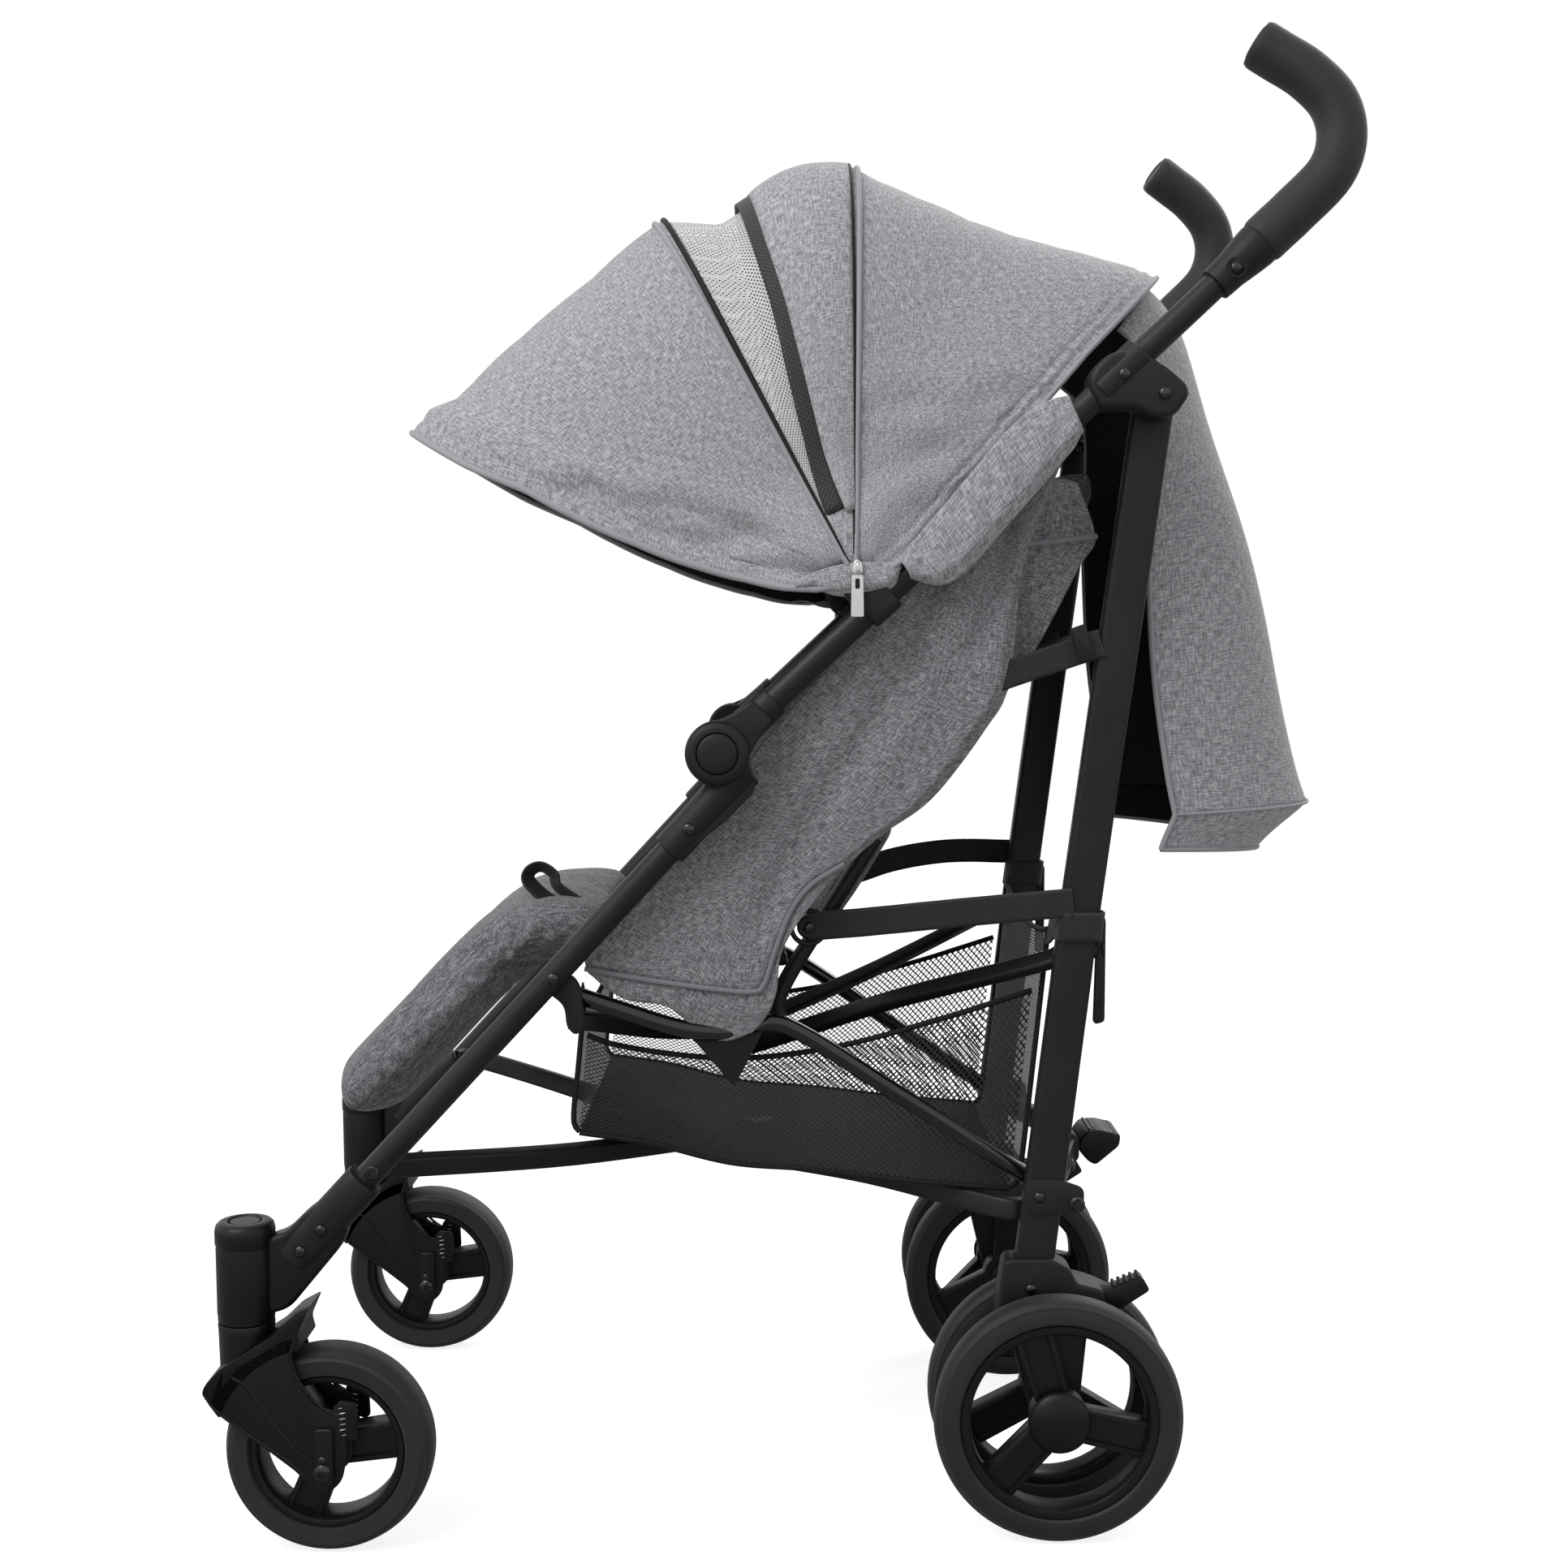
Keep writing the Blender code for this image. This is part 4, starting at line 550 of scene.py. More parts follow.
def ramp(tree: NodeTree, source: NodeSocket, stops: Sequence[tuple[float, str]]) -> Node:
    """A colour ramp between hex values.

    Args:
        tree: The node tree.
        source: What drives it.
        stops: Position and hex value of each stop.

    Returns:
        The node.
    """
    made = add_node(tree, "ValToRGB", links={"Fac": source})
    ends = made.color_ramp.elements
    while len(ends) < len(stops):
        ends.new(0.5)
    for element, (position, code) in zip(ends, stops):
        element.position = position
        element.color = linear(code)
    return made


@dataclass(frozen=True)
class Hard:
    """A hard finish with a fine grain: its colour drifts a little and its grain catches the light.

    The grain is the grains' spacing and the bump their height, in metres.
    """

    name: str
    colour: str
    worn: str
    roughness: float
    grain: float
    bump: float
    metallic: float = 0.0
    coat: float = 0.0

    def material(self) -> Material:
        """The finish as a material."""
        made, tree = blank(self.name)
        where = add_node(tree, "TexCoord")
        fine = add_node(tree, "TexNoise", {"Scale": 1.0 / self.grain, "Detail": 2.0},
                        {"Vector": where.outputs["Object"]})
        broad = add_node(tree, "TexNoise", {"Scale": 14.0, "Detail": 3.0},
                         {"Vector": where.outputs["Object"]})
        tone = ramp(tree, broad.outputs["Fac"], [(0.35, self.colour), (0.75, self.worn)])
        gloss = add_node(tree, "MapRange", {"From Min": 0.3, "From Max": 0.7, "To Min": self.roughness - 0.05,
                                            "To Max": self.roughness + 0.07}, {"Value": fine.outputs["Fac"]})
        bump = add_node(tree, "Bump", {"Strength": 0.35, "Distance": self.bump},
                        {"Height": fine.outputs["Fac"]})
        # Matt moulded and woven blacks reflect less than a smooth plastic; metal keeps its own level
        shade = add_node(tree, "BsdfPrincipled", {"Metallic": self.metallic, "Coat Weight": self.coat,
                                                  "Coat Roughness": 0.12,
                                                  "Specular IOR Level": 0.5 if self.metallic else 0.28},
                         {"Base Color": tone.outputs["Color"], "Roughness": gloss.outputs["Result"],
                          "Normal": bump.outputs["Normal"]})
        add_node(tree, "OutputMaterial", links={"Surface": shade.outputs["BSDF"]})
        return made


@dataclass(frozen=True)
class Foam:
    """Closed cell foam with a skin: small pits and a dry, soft surface.

    The cell is a pit's width and the depth how far it sinks, in metres.
    """

    name: str
    colour: str
    pit_colour: str
    cell: float
    depth: float
    roughness: float = 0.72

    def material(self) -> Material:
        """The finish as a material."""
        made, tree = blank(self.name)
        where = add_node(tree, "TexCoord")
        cells = add_node(tree, "TexVoronoi", {"Scale": 1.0 / self.cell}, {"Vector": where.outputs["Object"]})
        drift = add_node(tree, "TexNoise", {"Scale": 40.0, "Detail": 4.0},
                         {"Vector": where.outputs["Object"]})
        tone = ramp(tree, drift.outputs["Fac"], [(0.3, self.pit_colour), (0.7, self.colour)])
        bump = add_node(tree, "Bump", {"Strength": 0.5, "Distance": self.depth},
                        {"Height": cells.outputs["Distance"]})
        shade = add_node(tree, "BsdfPrincipled", {"Roughness": self.roughness, "Sheen Weight": 0.12,
                                                  "Sheen Roughness": 0.5},
                         {"Base Color": tone.outputs["Color"], "Normal": bump.outputs["Normal"]})
        add_node(tree, "OutputMaterial", links={"Surface": shade.outputs["BSDF"]})
        return made


class Weave(Enum):
    """What a cloth's threads follow."""

    MAP = "UV"
    SPACE = "Object"


@dataclass(frozen=True)
class Melange:
    """Polyester linen look woven from dark and light yarns: short streaks both ways over a mid grey.

    The yarns are 0.4 mm apart. They are drawn about three times as coarse, so that they show in the picture.
    """

    name: str
    dark: str
    middle: str
    light: str
    weave: Weave
    yarn: float = 0.0012
    streak: float = 0.0085

    def material(self) -> Material:
        """The finish as a material."""
        made, tree = blank(self.name)
        where = add_node(tree, "TexCoord").outputs[self.weave.value]
        thin, long = 1.0 / self.yarn, 1.0 / self.streak
        flat = self.weave is Weave.MAP
        scales = (((thin, long, 1.0), (long, thin, 1.0)) if flat
                  else ((long, thin, thin), (thin, long, long)))
        streaks = []
        for scale in scales:
            turned = add_node(tree, "Mapping", {"Scale": scale}, {"Vector": where})
            streaks.append(add_node(tree, "TexNoise", {"Scale": 1.0, "Detail": 2.0, "Roughness": 0.6},
                                    {"Vector": turned.outputs["Vector"]}).outputs["Fac"])
        both = add_node(tree, "Math", links={0: streaks[0], 1: streaks[1]}, operation="ADD")
        half = add_node(tree, "Math", {1: 0.5}, {0: both.outputs[0]}, operation="MULTIPLY")
        tone = ramp(tree, half.outputs[0], [(0.4, self.dark), (0.5, self.middle), (0.61, self.light)])
        bump = add_node(tree, "Bump", {"Strength": 0.35, "Distance": 0.0004}, {"Height": half.outputs[0]})
        shade = add_node(tree, "BsdfPrincipled", {"Roughness": 0.86, "Sheen Weight": 0.25,
                                                  "Sheen Roughness": 0.45, "Specular IOR Level": 0.25},
                         {"Base Color": tone.outputs["Color"], "Normal": bump.outputs["Normal"]})
        add_node(tree, "OutputMaterial", links={"Surface": shade.outputs["BSDF"]})
        return made


@dataclass(frozen=True)
class Netting:
    """Warp knitted polyester net: threads cross on the bias and leave diamond holes that light passes.

    The holes are 2 mm apart, and are drawn at the pitch given here so that they show.
    """

    name: str
    colour: str
    pitch: float
    thread: float
    roughness: float = 0.6

    def material(self) -> Material:
        """The finish as a material."""
        made, tree = blank(self.name)
        where = add_node(tree, "TexCoord").outputs["UV"]
        turned = add_node(tree, "Mapping", {"Rotation": (0.0, 0.0, math.radians(45.0))}, {"Vector": where})
        period = 2 * math.pi / (20.0 * self.pitch)
        bands = [add_node(tree, "TexWave", {"Scale": period}, {"Vector": turned.outputs["Vector"]},
                          bands_direction=way).outputs["Fac"] for way in ("X", "Y")]
        crest = add_node(tree, "Math", links={0: bands[0], 1: bands[1]}, operation="MAXIMUM")
        share = self.thread / self.pitch
        level = 0.5 + 0.5 * math.cos(math.pi * share)
        mask = add_node(tree, "Math", {1: level}, {0: crest.outputs[0]}, operation="GREATER_THAN")
        bump = add_node(tree, "Bump", {"Strength": 0.5, "Distance": 0.0005}, {"Height": crest.outputs[0]})
        thread = add_node(tree, "BsdfPrincipled",
                          {"Base Color": linear(self.colour), "Roughness": self.roughness,
                           "Sheen Weight": 0.2}, {"Normal": bump.outputs["Normal"]})
        hole = add_node(tree, "BsdfTransparent")
        both = add_node(tree, "MixShader", links={"Fac": mask.outputs[0], 1: hole.outputs[0],
                                                  2: thread.outputs[0]})
        add_node(tree, "OutputMaterial", links={"Surface": both.outputs[0]})
        return made


@dataclass(frozen=True)
class Ribbed:
    """Woven polypropylene webbing: ribs across the strap with a low shine, and painted shade darkening the
    grooves between them.

    The ribs run across the map's u, and stand 1.6 mm apart as on the strap.
    """

    name: str
    colour: str
    # The edge colour is painted shade for the grooves between the ribs
    edge: str
    rib: float = 0.0016

    def material(self) -> Material:
        """The finish as a material."""
        made, tree = blank(self.name)
        where = add_node(tree, "TexCoord").outputs["UV"]
        ribs = add_node(tree, "TexWave", {"Scale": 2 * math.pi / (20.0 * self.rib), "Distortion": 0.6,
                                          "Detail": 1.0}, {"Vector": where}, bands_direction="Y")
        # Painted shade: where the bump sinks, the grooves take the darker edge colour
        tone = ramp(tree, ribs.outputs["Fac"], [(0.15, self.edge), (0.8, self.colour)])
        bump = add_node(tree, "Bump", {"Strength": 0.8, "Distance": 0.0006}, {"Height": ribs.outputs["Fac"]})
        shade = add_node(tree, "BsdfPrincipled", {"Roughness": 0.55, "Sheen Weight": 0.15},
                         {"Base Color": tone.outputs["Color"], "Normal": bump.outputs["Normal"]})
        add_node(tree, "OutputMaterial", links={"Surface": shade.outputs["BSDF"]})
        return made


class Finishes:
    """Every finish on the buggy, made once."""

    def __init__(self) -> None:
        """Makes the materials."""
        # Steel tube under matt powder coat: a fine orange peel and soft, wide highlights
        self.coated = Hard("powder_coated_steel", "#1a1b1c", "#232426", 0.42, 0.0016, 0.00012).material()
        # The link tubes are coated glossy: thin bright lines run along them
        self.gloss = Hard("gloss_enamelled_steel", "#0c0c0d", "#131314", 0.16, 0.003, 0.00003,
                          coat=0.6).material()
        # Spark eroded moulds leave a fine even grain on the nylon fittings
        self.nylon = Hard("moulded_black_nylon", "#171819", "#1f2021", 0.48, 0.0011, 0.0001).material()
        # The casters, forks and rims are darker, with a satin skin
        self.dark = Hard("moulded_dark_nylon", "#0c0c0d", "#121213", 0.4, 0.0014, 0.00008).material()
        self.grey = Hard("moulded_grey_nylon", "#3a3836", "#454341", 0.5, 0.0012, 0.00008).material()
        # Blackened steel rivets and screws: nearly a mirror, small and dark
        self.rivet = Hard("blackened_steel_rivet", "#3b3c3e", "#4a4b4d", 0.22, 0.002, 0.00002,
                          metallic=1.0).material()
        # Zinc plated slider and puller: a pale satin metal
        self.zinc = Hard("zinc_plated_slider", "#c9c9ca", "#dadadb", 0.28, 0.002, 0.00002,
                         metallic=1.0).material()
        self.spring = Hard("spring_steel", "#8a8b8c", "#a0a0a1", 0.3, 0.002, 0.00002, metallic=1.0).material()
        self.cable = Hard("cable_jacket_vinyl", "#151516", "#1b1b1c", 0.35, 0.002, 0.00004).material()
        self.grip = Foam("grip_foam", "#1d1d1e", "#141415", 0.0013, 0.00025, 0.68).material()
        self.tyre = Foam("tyre_foam", "#1a1a1b", "#121212", 0.0016, 0.0002, 0.62).material()
        self.hood = Melange("linen_look_polyester_hood", "#828385", "#a5a6a9", "#cdced0",
                            Weave.MAP).material()
        self.seat = Melange("linen_look_polyester_seat", "#5f6062", "#858689", "#b1b2b4",
                            Weave.MAP).material()
        self.pad = Melange("linen_look_polyester_pad", "#505153", "#717275", "#989a9c",
                           Weave.SPACE).material()
        self.lining = Hard("black_taffeta_lining", "#0d0d0e", "#131314", 0.62, 0.0018, 0.00015).material()
        self.binding = Hard("black_grosgrain_binding", "#121213", "#1a1a1b", 0.66, 0.0015, 0.0002).material()
        self.black_net = Netting("black_knitted_net", "#0f0f10", 0.0036, 0.001).material()
        self.dense_net = Netting("black_double_net", "#0d0d0e", 0.0034, 0.0024).material()
        self.pale_net = Netting("white_knitted_net", "#d6d7d8", 0.0036, 0.0019, 0.5).material()
        # Webbing: its second, darker colour is painted shade in the grooves between the ribs
        self.webbing = Ribbed("black_webbing", "#19191a", "#080809").material()


# Studio

@dataclass
class Studio:
    """Camera at the photograph's place, a white floor and soft lamps."""

    camera_place: Place = (1.558, 0.0, 0.654)
    pitch_down: float = math.radians(4.12)
    lens: float = 44.05
    sensor: float = 36.0
    floor_size: float = 14.0
    floor_glow: float = 1.5
    floor_glow_share: float = 0.56
    room_light: float = 0.55
    lamp_size: float = 1.6
    key_watts: float = 46.0
    back_watts: float = 34.0

    def camera(self) -> None:
        """Places the camera beside the buggy, looking across it."""
        data = bpy.data.cameras.new("camera")
        data.lens, data.sensor_width = self.lens, self.sensor
        made = bpy.data.objects.new("camera", data)
        made.location = self.camera_place
        made.rotation_euler = (math.pi / 2 - self.pitch_down, 0.0, math.pi / 2)
        bpy.context.scene.collection.objects.link(made)
        bpy.context.scene.camera = made

    def lamp(self, name: str, place: Place, aim: Place, size: float, watts: float) -> None:
        """Adds a soft square lamp.

        Args:
            name: Its name.
            place: Where it hangs.
            aim: What it points at.
            size: Its side in metres.
            watts: Its power.
        """
        data = bpy.data.lights.new(name, "AREA")
        data.shape, data.size, data.energy = "SQUARE", size, watts
        made = bpy.data.objects.new(name, data)
        made.location = place
        made.rotation_euler = (Vector(aim) - Vector(place)).to_track_quat("-Z", "Y").to_euler()
        bpy.context.scene.collection.objects.link(made)

    def floor(self) -> None:
        """Lays a white floor that keeps the buggy's shadow."""
        made, tree = blank("white_paper_sweep")
        path = add_node(tree, "LightPath")
        matte = add_node(tree, "BsdfDiffuse", {"Color": linear("#f4f4f4")})
        lit = add_node(tree, "Math", {1: self.floor_glow}, {0: path.outputs["Is Camera Ray"]},
                       operation="MULTIPLY")
        glow = add_node(tree, "Emission", {"Color": (1.0, 1.0, 1.0, 1.0)}, {"Strength": lit.outputs[0]})
        dim = add_node(tree, "MixShader", {"Fac": self.floor_glow_share},
                       {1: matte.outputs[0], 2: glow.outputs[0]})
        add_node(tree, "OutputMaterial", links={"Surface": dim.outputs[0]})
        bm = bmesh.new()
        bmesh.ops.create_grid(bm, x_segments=1, y_segments=1, size=self.floor_size / 2)
        mesh = bpy.data.meshes.new("floor")
        bm.to_mesh(mesh)
        bm.free()
        mesh.materials.append(made)
        sheet = bpy.data.objects.new("floor", mesh)
        bpy.context.scene.collection.objects.link(sheet)

    def sky(self) -> None:
        """A white world to the camera, and an even grey one to the object."""
        world = bpy.data.worlds.new("white_room")
        world.use_nodes = True
        tree = world.node_tree
        tree.nodes.clear()
        path = add_node(tree, "LightPath")
        seen = add_node(tree, "Math", links={0: path.outputs["Is Camera Ray"],
                                             1: path.outputs["Is Glossy Ray"]}, operation="MAXIMUM")
        shown = add_node(tree, "Math", links={0: seen.outputs[0], 1: path.outputs["Is Transmission Ray"]},
                         operation="MAXIMUM")
        fill = add_node(tree, "Background", {"Color": linear("#f2f3f5"), "Strength": self.room_light})
        white = add_node(tree, "Background", {"Color": (1.0, 1.0, 1.0, 1.0), "Strength": 1.0})
        both = add_node(tree, "MixShader", links={"Fac": shown.outputs[0], 1: fill.outputs[0],
                                                  2: white.outputs[0]})
        add_node(tree, "OutputWorld", links={"Surface": both.outputs[0]})
        bpy.context.scene.world = world

    def build(self) -> None:
        """Sets up the studio."""
        scene = bpy.context.scene
        scene.view_settings.view_transform = "Standard"
        self.camera()
        self.floor()
        self.sky()
        self.lamp("key", (1.6, -1.5, 2.6), (0.0, 0.0, 0.6), self.lamp_size, self.key_watts)
        self.lamp("back", (-1.7, 1.5, 2.3), (0.0, 0.1, 0.6), self.lamp_size, self.back_watts)


# Frame

@dataclass
class FrontFrame:
    """Front tubes, the fold hub's lower half, caster housings and the bracket behind each tube."""

    finishes: Finishes
    tube_start: float = 0.022
    tube_end: float = 0.47
    hub_radius: float = 0.0225
    hub_inner: float = 0.187
    hub_outer: float = 0.1998
    sleeve_radius: float = 0.0128
    caster_y: float = -0.389
    caster_radius: float = 0.0205
    caster_low: float = 0.168
    caster_shoulder: float = 0.225
    caster_high: float = 0.241

    def front_tube(self, side: float) -> None:
        """The front tube with its rivets and the lower cross's pin."""
        f = self.finishes
        piece = Piece(f"front_tube_{side_name(side)}_dressed")
        ends = [at(TRACK_X, on_front_tube(s)) for s in (self.tube_start, self.tube_end)]
        piece.add(tube(ends, TUBE_RADIUS, 40), f.coated)
        brace_end = (-0.289, 0.2755)
        piece.add(pin((0.172, *brace_end), 0.004, 0.023), f.rivet)
        piece.add(lathe([(0, 0), (0.0068, 0), (0.0068, 0.0016), (0.0058, 0.0024), (0, 0.0024)],
                        (0.17, *brace_end), steps=20), f.rivet)
        surface = TRACK_X + TUBE_RADIUS - 0.0006
        piece.add(screw((surface, -0.2945, 0.278), 0.005, 0.0026), f.rivet)
        piece.add(dome((surface, -0.164, 0.418), 0.0044, 0.0032), f.rivet)
        piece.dress("front_frame", side)

    def elbow_lower(self, side: float) -> None:
        """The hub half on the front tube: a round ear that runs into a sleeve."""
        f = self.finishes
        piece = Piece(f"elbow_lower_{side_name(side)}_dressed")
        r = self.hub_radius
        piece.add(lathe([(0, 0), (r - 0.002, 0), (r, 0.002), (r, self.hub_outer - self.hub_inner - 0.0008),
                         (r - 0.0008, self.hub_outer - self.hub_inner), (0, self.hub_outer - self.hub_inner)],
                        (self.hub_inner, *HUB), steps=64), f.nylon)
        s = self.sleeve_radius
        marks = ((-0.004, 1.1), (0.01, 1.1), (0.03, 1.04), (0.055, 1.0), (0.072, 1.0), (0.0745, 0.97),
                 (0.075, 0.9))
        piece.add(collar(circle(s, 40), on_front_tube, marks), f.nylon)
        web = [on_front_tube(a, b) for a, b in
               ((0.0, -0.016), (0.03, -0.0155), (0.052, -0.012), (0.07, -0.01), (0.07, 0.008),
                (0.03, 0.01), (0.008, 0.02))]
        web = [(HUB[0] - 0.019, HUB[1] + 0.006), *reversed(web), (HUB[0] + 0.021, HUB[1] - 0.006)]
        piece.add(plate(rounded(web, 0.006), TRACK_X - 0.0105, TRACK_X + 0.0095, 0.003, 3), f.nylon)
        piece.add(dome((TRACK_X + s - 0.0014, -0.067, 0.525), 0.0046, 0.0034), f.rivet)
        piece.dress("front_frame", side)

    def caster_housing(self, side: float) -> None:
        """The caster's barrel with its cap, and the arm and sleeve that hold the front tube."""
        f = self.finishes
        piece = Piece(f"caster_housing_{side_name(side)}_dressed")
        r, low, shoulder, high = self.caster_radius, self.caster_low, self.caster_shoulder, self.caster_high
        middle = (TRACK_X, self.caster_y, 0.0)
        up = (0.0, 0.0, 1.0)
        barrel = [(0, low), (r - 0.0012, low), (r - 0.0004, low + 0.001), (r - 0.0004, low + 0.004),
                  (r, low + 0.006), (r + 0.0003, shoulder - 0.003), (r - 0.0004, shoulder - 0.0005),
                  (r - 0.0012, shoulder), (0, shoulder)]
        piece.add(lathe(barrel, middle, up, 72), f.dark)
        cap = [(0, shoulder - 0.002), (r - 0.0002, shoulder - 0.002), (r + 0.0008, shoulder + 0.0005),
               (r + 0.0009, high - 0.007), (r + 0.0001, high - 0.003), (r - 0.002, high - 0.0008),
               (r - 0.005, high), (0.013, high), (0.0122, high - 0.0006), (0.0118, high - 0.002),
               (0.011, high - 0.002), (0.0104, high - 0.0006), (0, high - 0.0002)]
        piece.add(lathe(cap, middle, up, 72), f.dark)
        arm = [(-0.372, 0.1735), (-0.356, 0.178), (-0.317, 0.225), (-0.312, 0.24), (-0.322, 0.262),
               (-0.34, 0.252), (-0.358, 0.234), (-0.372, 0.23)]
        piece.add(plate(rounded(arm, 0.012, 6), TRACK_X - 0.01, TRACK_X + 0.01, 0.0045, 4), f.dark)
        line = [at(TRACK_X, on_front_tube(a)) for a in (0.3985, 0.399, 0.401, 0.42, 0.46, 0.476)]
        grow = (0.86, 0.95, 1.0, 1.0, 1.0, 0.9)
        frames = [m @ Matrix.Diagonal((g * 1.06, g * 1.1, 1, 1)) for m, g in zip(stations(line), grow)]
        piece.add(sweep(box_section(0.0262, 0.0262, 0.0105), frames), f.nylon)
        for y, z in ((-0.331, 0.2375), (-0.346, 0.222)):
            piece.add(dome((TRACK_X + 0.0136, y, z), 0.0042, 0.0028), f.rivet)
        piece.dress("front_frame", side)

    def brace_bracket(self, side: float) -> None:
        """The bracket on the front tube that carries the link tube and the upper cross."""
        f = self.finishes
        piece = Piece(f"brace_bracket_{side_name(side)}_dressed")
        ear = [(-0.171, 0.406), (-0.166, 0.415), (-0.153, 0.419), (-0.146, 0.409), (-0.1435, 0.38),
               (-0.15, 0.3735), (-0.1565, 0.38), (-0.158, 0.396)]
        piece.add(plate(rounded(ear, 0.006), 0.187, 0.194, 0.0012), f.nylon)
        for y, z, reach in ((-0.16, 0.405, 0.0155), (-0.15, 0.38, 0.026)):
            piece.add(pin((0.188 - reach, y, z), 0.0034, reach), f.rivet)
            piece.add(dome((0.1886 - reach, y, z), 0.0058, 0.0018, (-1, 0, 0)), f.rivet)
        piece.dress("front_frame", side)

    def build(self) -> None:
        """Makes both sides."""
        for side in (LEFT, RIGHT):
            self.front_tube(side)
            self.elbow_lower(side)
            self.caster_housing(side)
            self.brace_bracket(side)


@dataclass
class HandleFrame:
    """Handle tubes, the hub's upper half, leg brackets, connectors and foam grips."""

    finishes: Finishes
    tube_start: float = 0.03
    tube_end: float = 0.505
    hub_inner: float = 0.2004
    hub_outer: float = 0.2215
    button_outer: float = 0.224
    sleeve_radius: float = 0.0123

    def handle_tube(self, side: float) -> None:
        """The straight tube between the hub and the grip."""
        piece = Piece(f"handle_tube_{side_name(side)}_dressed")
        ends = [at(TRACK_X, on_handle(s)) for s in (self.tube_start, self.tube_end)]
        piece.add(tube(ends, TUBE_RADIUS, 40), self.finishes.coated)
        piece.dress("handle_frame", side)

    def elbow_upper(self, side: float) -> None:
        """The outer half of the fold hub: a thick round ear with a pressed-in cap, and its sleeve."""
        f = self.finishes
        piece = Piece(f"elbow_upper_{side_name(side)}_dressed")
        r, thick = 0.0228, self.hub_outer - self.hub_inner
        ear = [(0, 0), (r - 0.0006, 0), (r, 0.0006), (r, thick - 0.005), (r - 0.0006, thick - 0.0028),
               (r - 0.0025, thick - 0.0009), (r - 0.005, thick), (0.0152, thick), (0.0147, thick - 0.0006),
               (0.0145, thick - 0.0022), (0, thick - 0.0022)]
        piece.add(lathe(ear, (self.hub_inner, *HUB), steps=72), f.nylon)
        cap = self.button_outer - self.hub_outer
        button = [(0, -0.003), (0.0141, -0.003), (0.0141, 0.0004), (0.0136, cap * 0.45), (0.0122, cap * 0.7),
                  (0.006, cap * 0.95), (0, cap)]
        piece.add(lathe(button, (self.hub_outer, *HUB), steps=64), f.nylon)
        marks = ((0.018, 1.12), (0.025, 1.06), (0.044, 1.0), (0.053, 1.0), (0.0542, 0.96), (0.0546, 0.88))
        piece.add(collar(circle(self.sleeve_radius, 40), on_handle, marks), f.nylon)
        web = [on_handle(a, b) for a, b in ((0.008, 0.0195), (0.026, 0.013), (0.044, 0.0105),
                                            (0.044, -0.0105), (0.026, -0.013), (0.008, -0.0195))]
        piece.add(plate(rounded(web, 0.004), TRACK_X + 0.0006, TRACK_X + 0.015, 0.004, 3), f.nylon)
        piece.dress("handle_frame", side)

    def upper_bracket(self, side: float) -> None:
        """The moulded bracket that hangs the rear leg from the handle tube."""
        f = self.finishes
        piece = Piece(f"upper_bracket_{side_name(side)}_dressed")
        centre = 0.3868
        outline = [(0.2165, 0.848), (0.225, 0.856), (0.237, 0.859), (0.253, 0.855), (0.266, 0.848),
                   (0.28, 0.836), (0.282, 0.828), (0.2715, 0.813), (0.257, 0.812), (0.246, 0.819),
                   (0.231, 0.819), (0.22, 0.818), (0.2125, 0.83), (0.212, 0.84)]
        piece.add(plate(rounded(outline, 0.006, 5), 0.1795, 0.2115, 0.0042, 4), f.nylon)
        marks = [(centre + off, scale) for off, scale in ((-0.02, 0.94), (-0.019, 1.0), (0.019, 1.0),
                                                          (0.02, 0.94))]
        piece.add(collar(circle(0.0135, 40), on_handle, marks), f.nylon)
        for y, z in ((0.236, 0.842), (0.264, 0.829)):
            piece.add(lathe([(0, 0), (0.0052, 0), (0.0052, 0.0006), (0.0046, 0.0008), (0, 0.0008)],
                            (0.2112, y, z), steps=24), f.nylon)
            piece.add(dome((0.2116, y, z), 0.0042, 0.0032), f.rivet)
        piece.add(pin((0.156, 0.264, 0.829), 0.004, 0.026), f.rivet)
        piece.add(dome((0.156, 0.264, 0.829), 0.006, 0.0026, (-1, 0, 0)), f.rivet)
        piece.dress("handle_frame", side)

    def handle_connector(self, side: float) -> None:
        """The collar between the tube and the grip, with a rivet in a round recess."""
        f = self.finishes
        piece = Piece(f"handle_connector_{side_name(side)}_dressed")
        marks = ((0.4756, 0.0112), (0.4762, 0.0122), (0.48, 0.0126), (0.49, 0.013), (0.505, 0.015),
                 (0.515, 0.016), (0.5175, 0.0158), (0.5179, 0.015))
        piece.add(collar(circle(1.0, 40), on_handle, marks), f.nylon)
        rivet = (TRACK_X + 0.012, 0.312, 0.9145)
        piece.add(lathe([(0.0058, 0), (0.0072, 0), (0.007, 0.0014), (0.0058, 0.0014), (0.0058, 0)],
                        rivet, steps=28), f.nylon)
        piece.add(dome(rivet, 0.004, 0.0028), f.rivet)
        piece.dress("handle_frame", side)

    def handle_grip(self, side: float) -> None:
        """The foam grip, bent forward, with a plug in its end."""
        f = self.finishes
        piece = Piece(f"handle_grip_{side_name(side)}_dressed")
        route = [*(at(TRACK_X, on_handle(along)) for along in (0.5181, 0.534, 0.5498)),
                 Vector((0.1995, 0.379, 0.981)), Vector((0.198, 0.387, 1.006)),
                 Vector((0.1955, 0.3815, 1.03)), Vector((0.1915, 0.364, 1.05)),
                 Vector((0.1875, 0.344, 1.064)), Vector((0.185, 0.33, 1.0735))]
        line = smooth(route, 7)

        def girth(share: float) -> Flat:
            """The grip's scales along its length: rounded lips at both ends."""
            lip = min(share, 1.0 - share)
            size = 0.0172 * (0.92 + 0.08 * ease(lip, 0.0, 0.025))
            return size, size

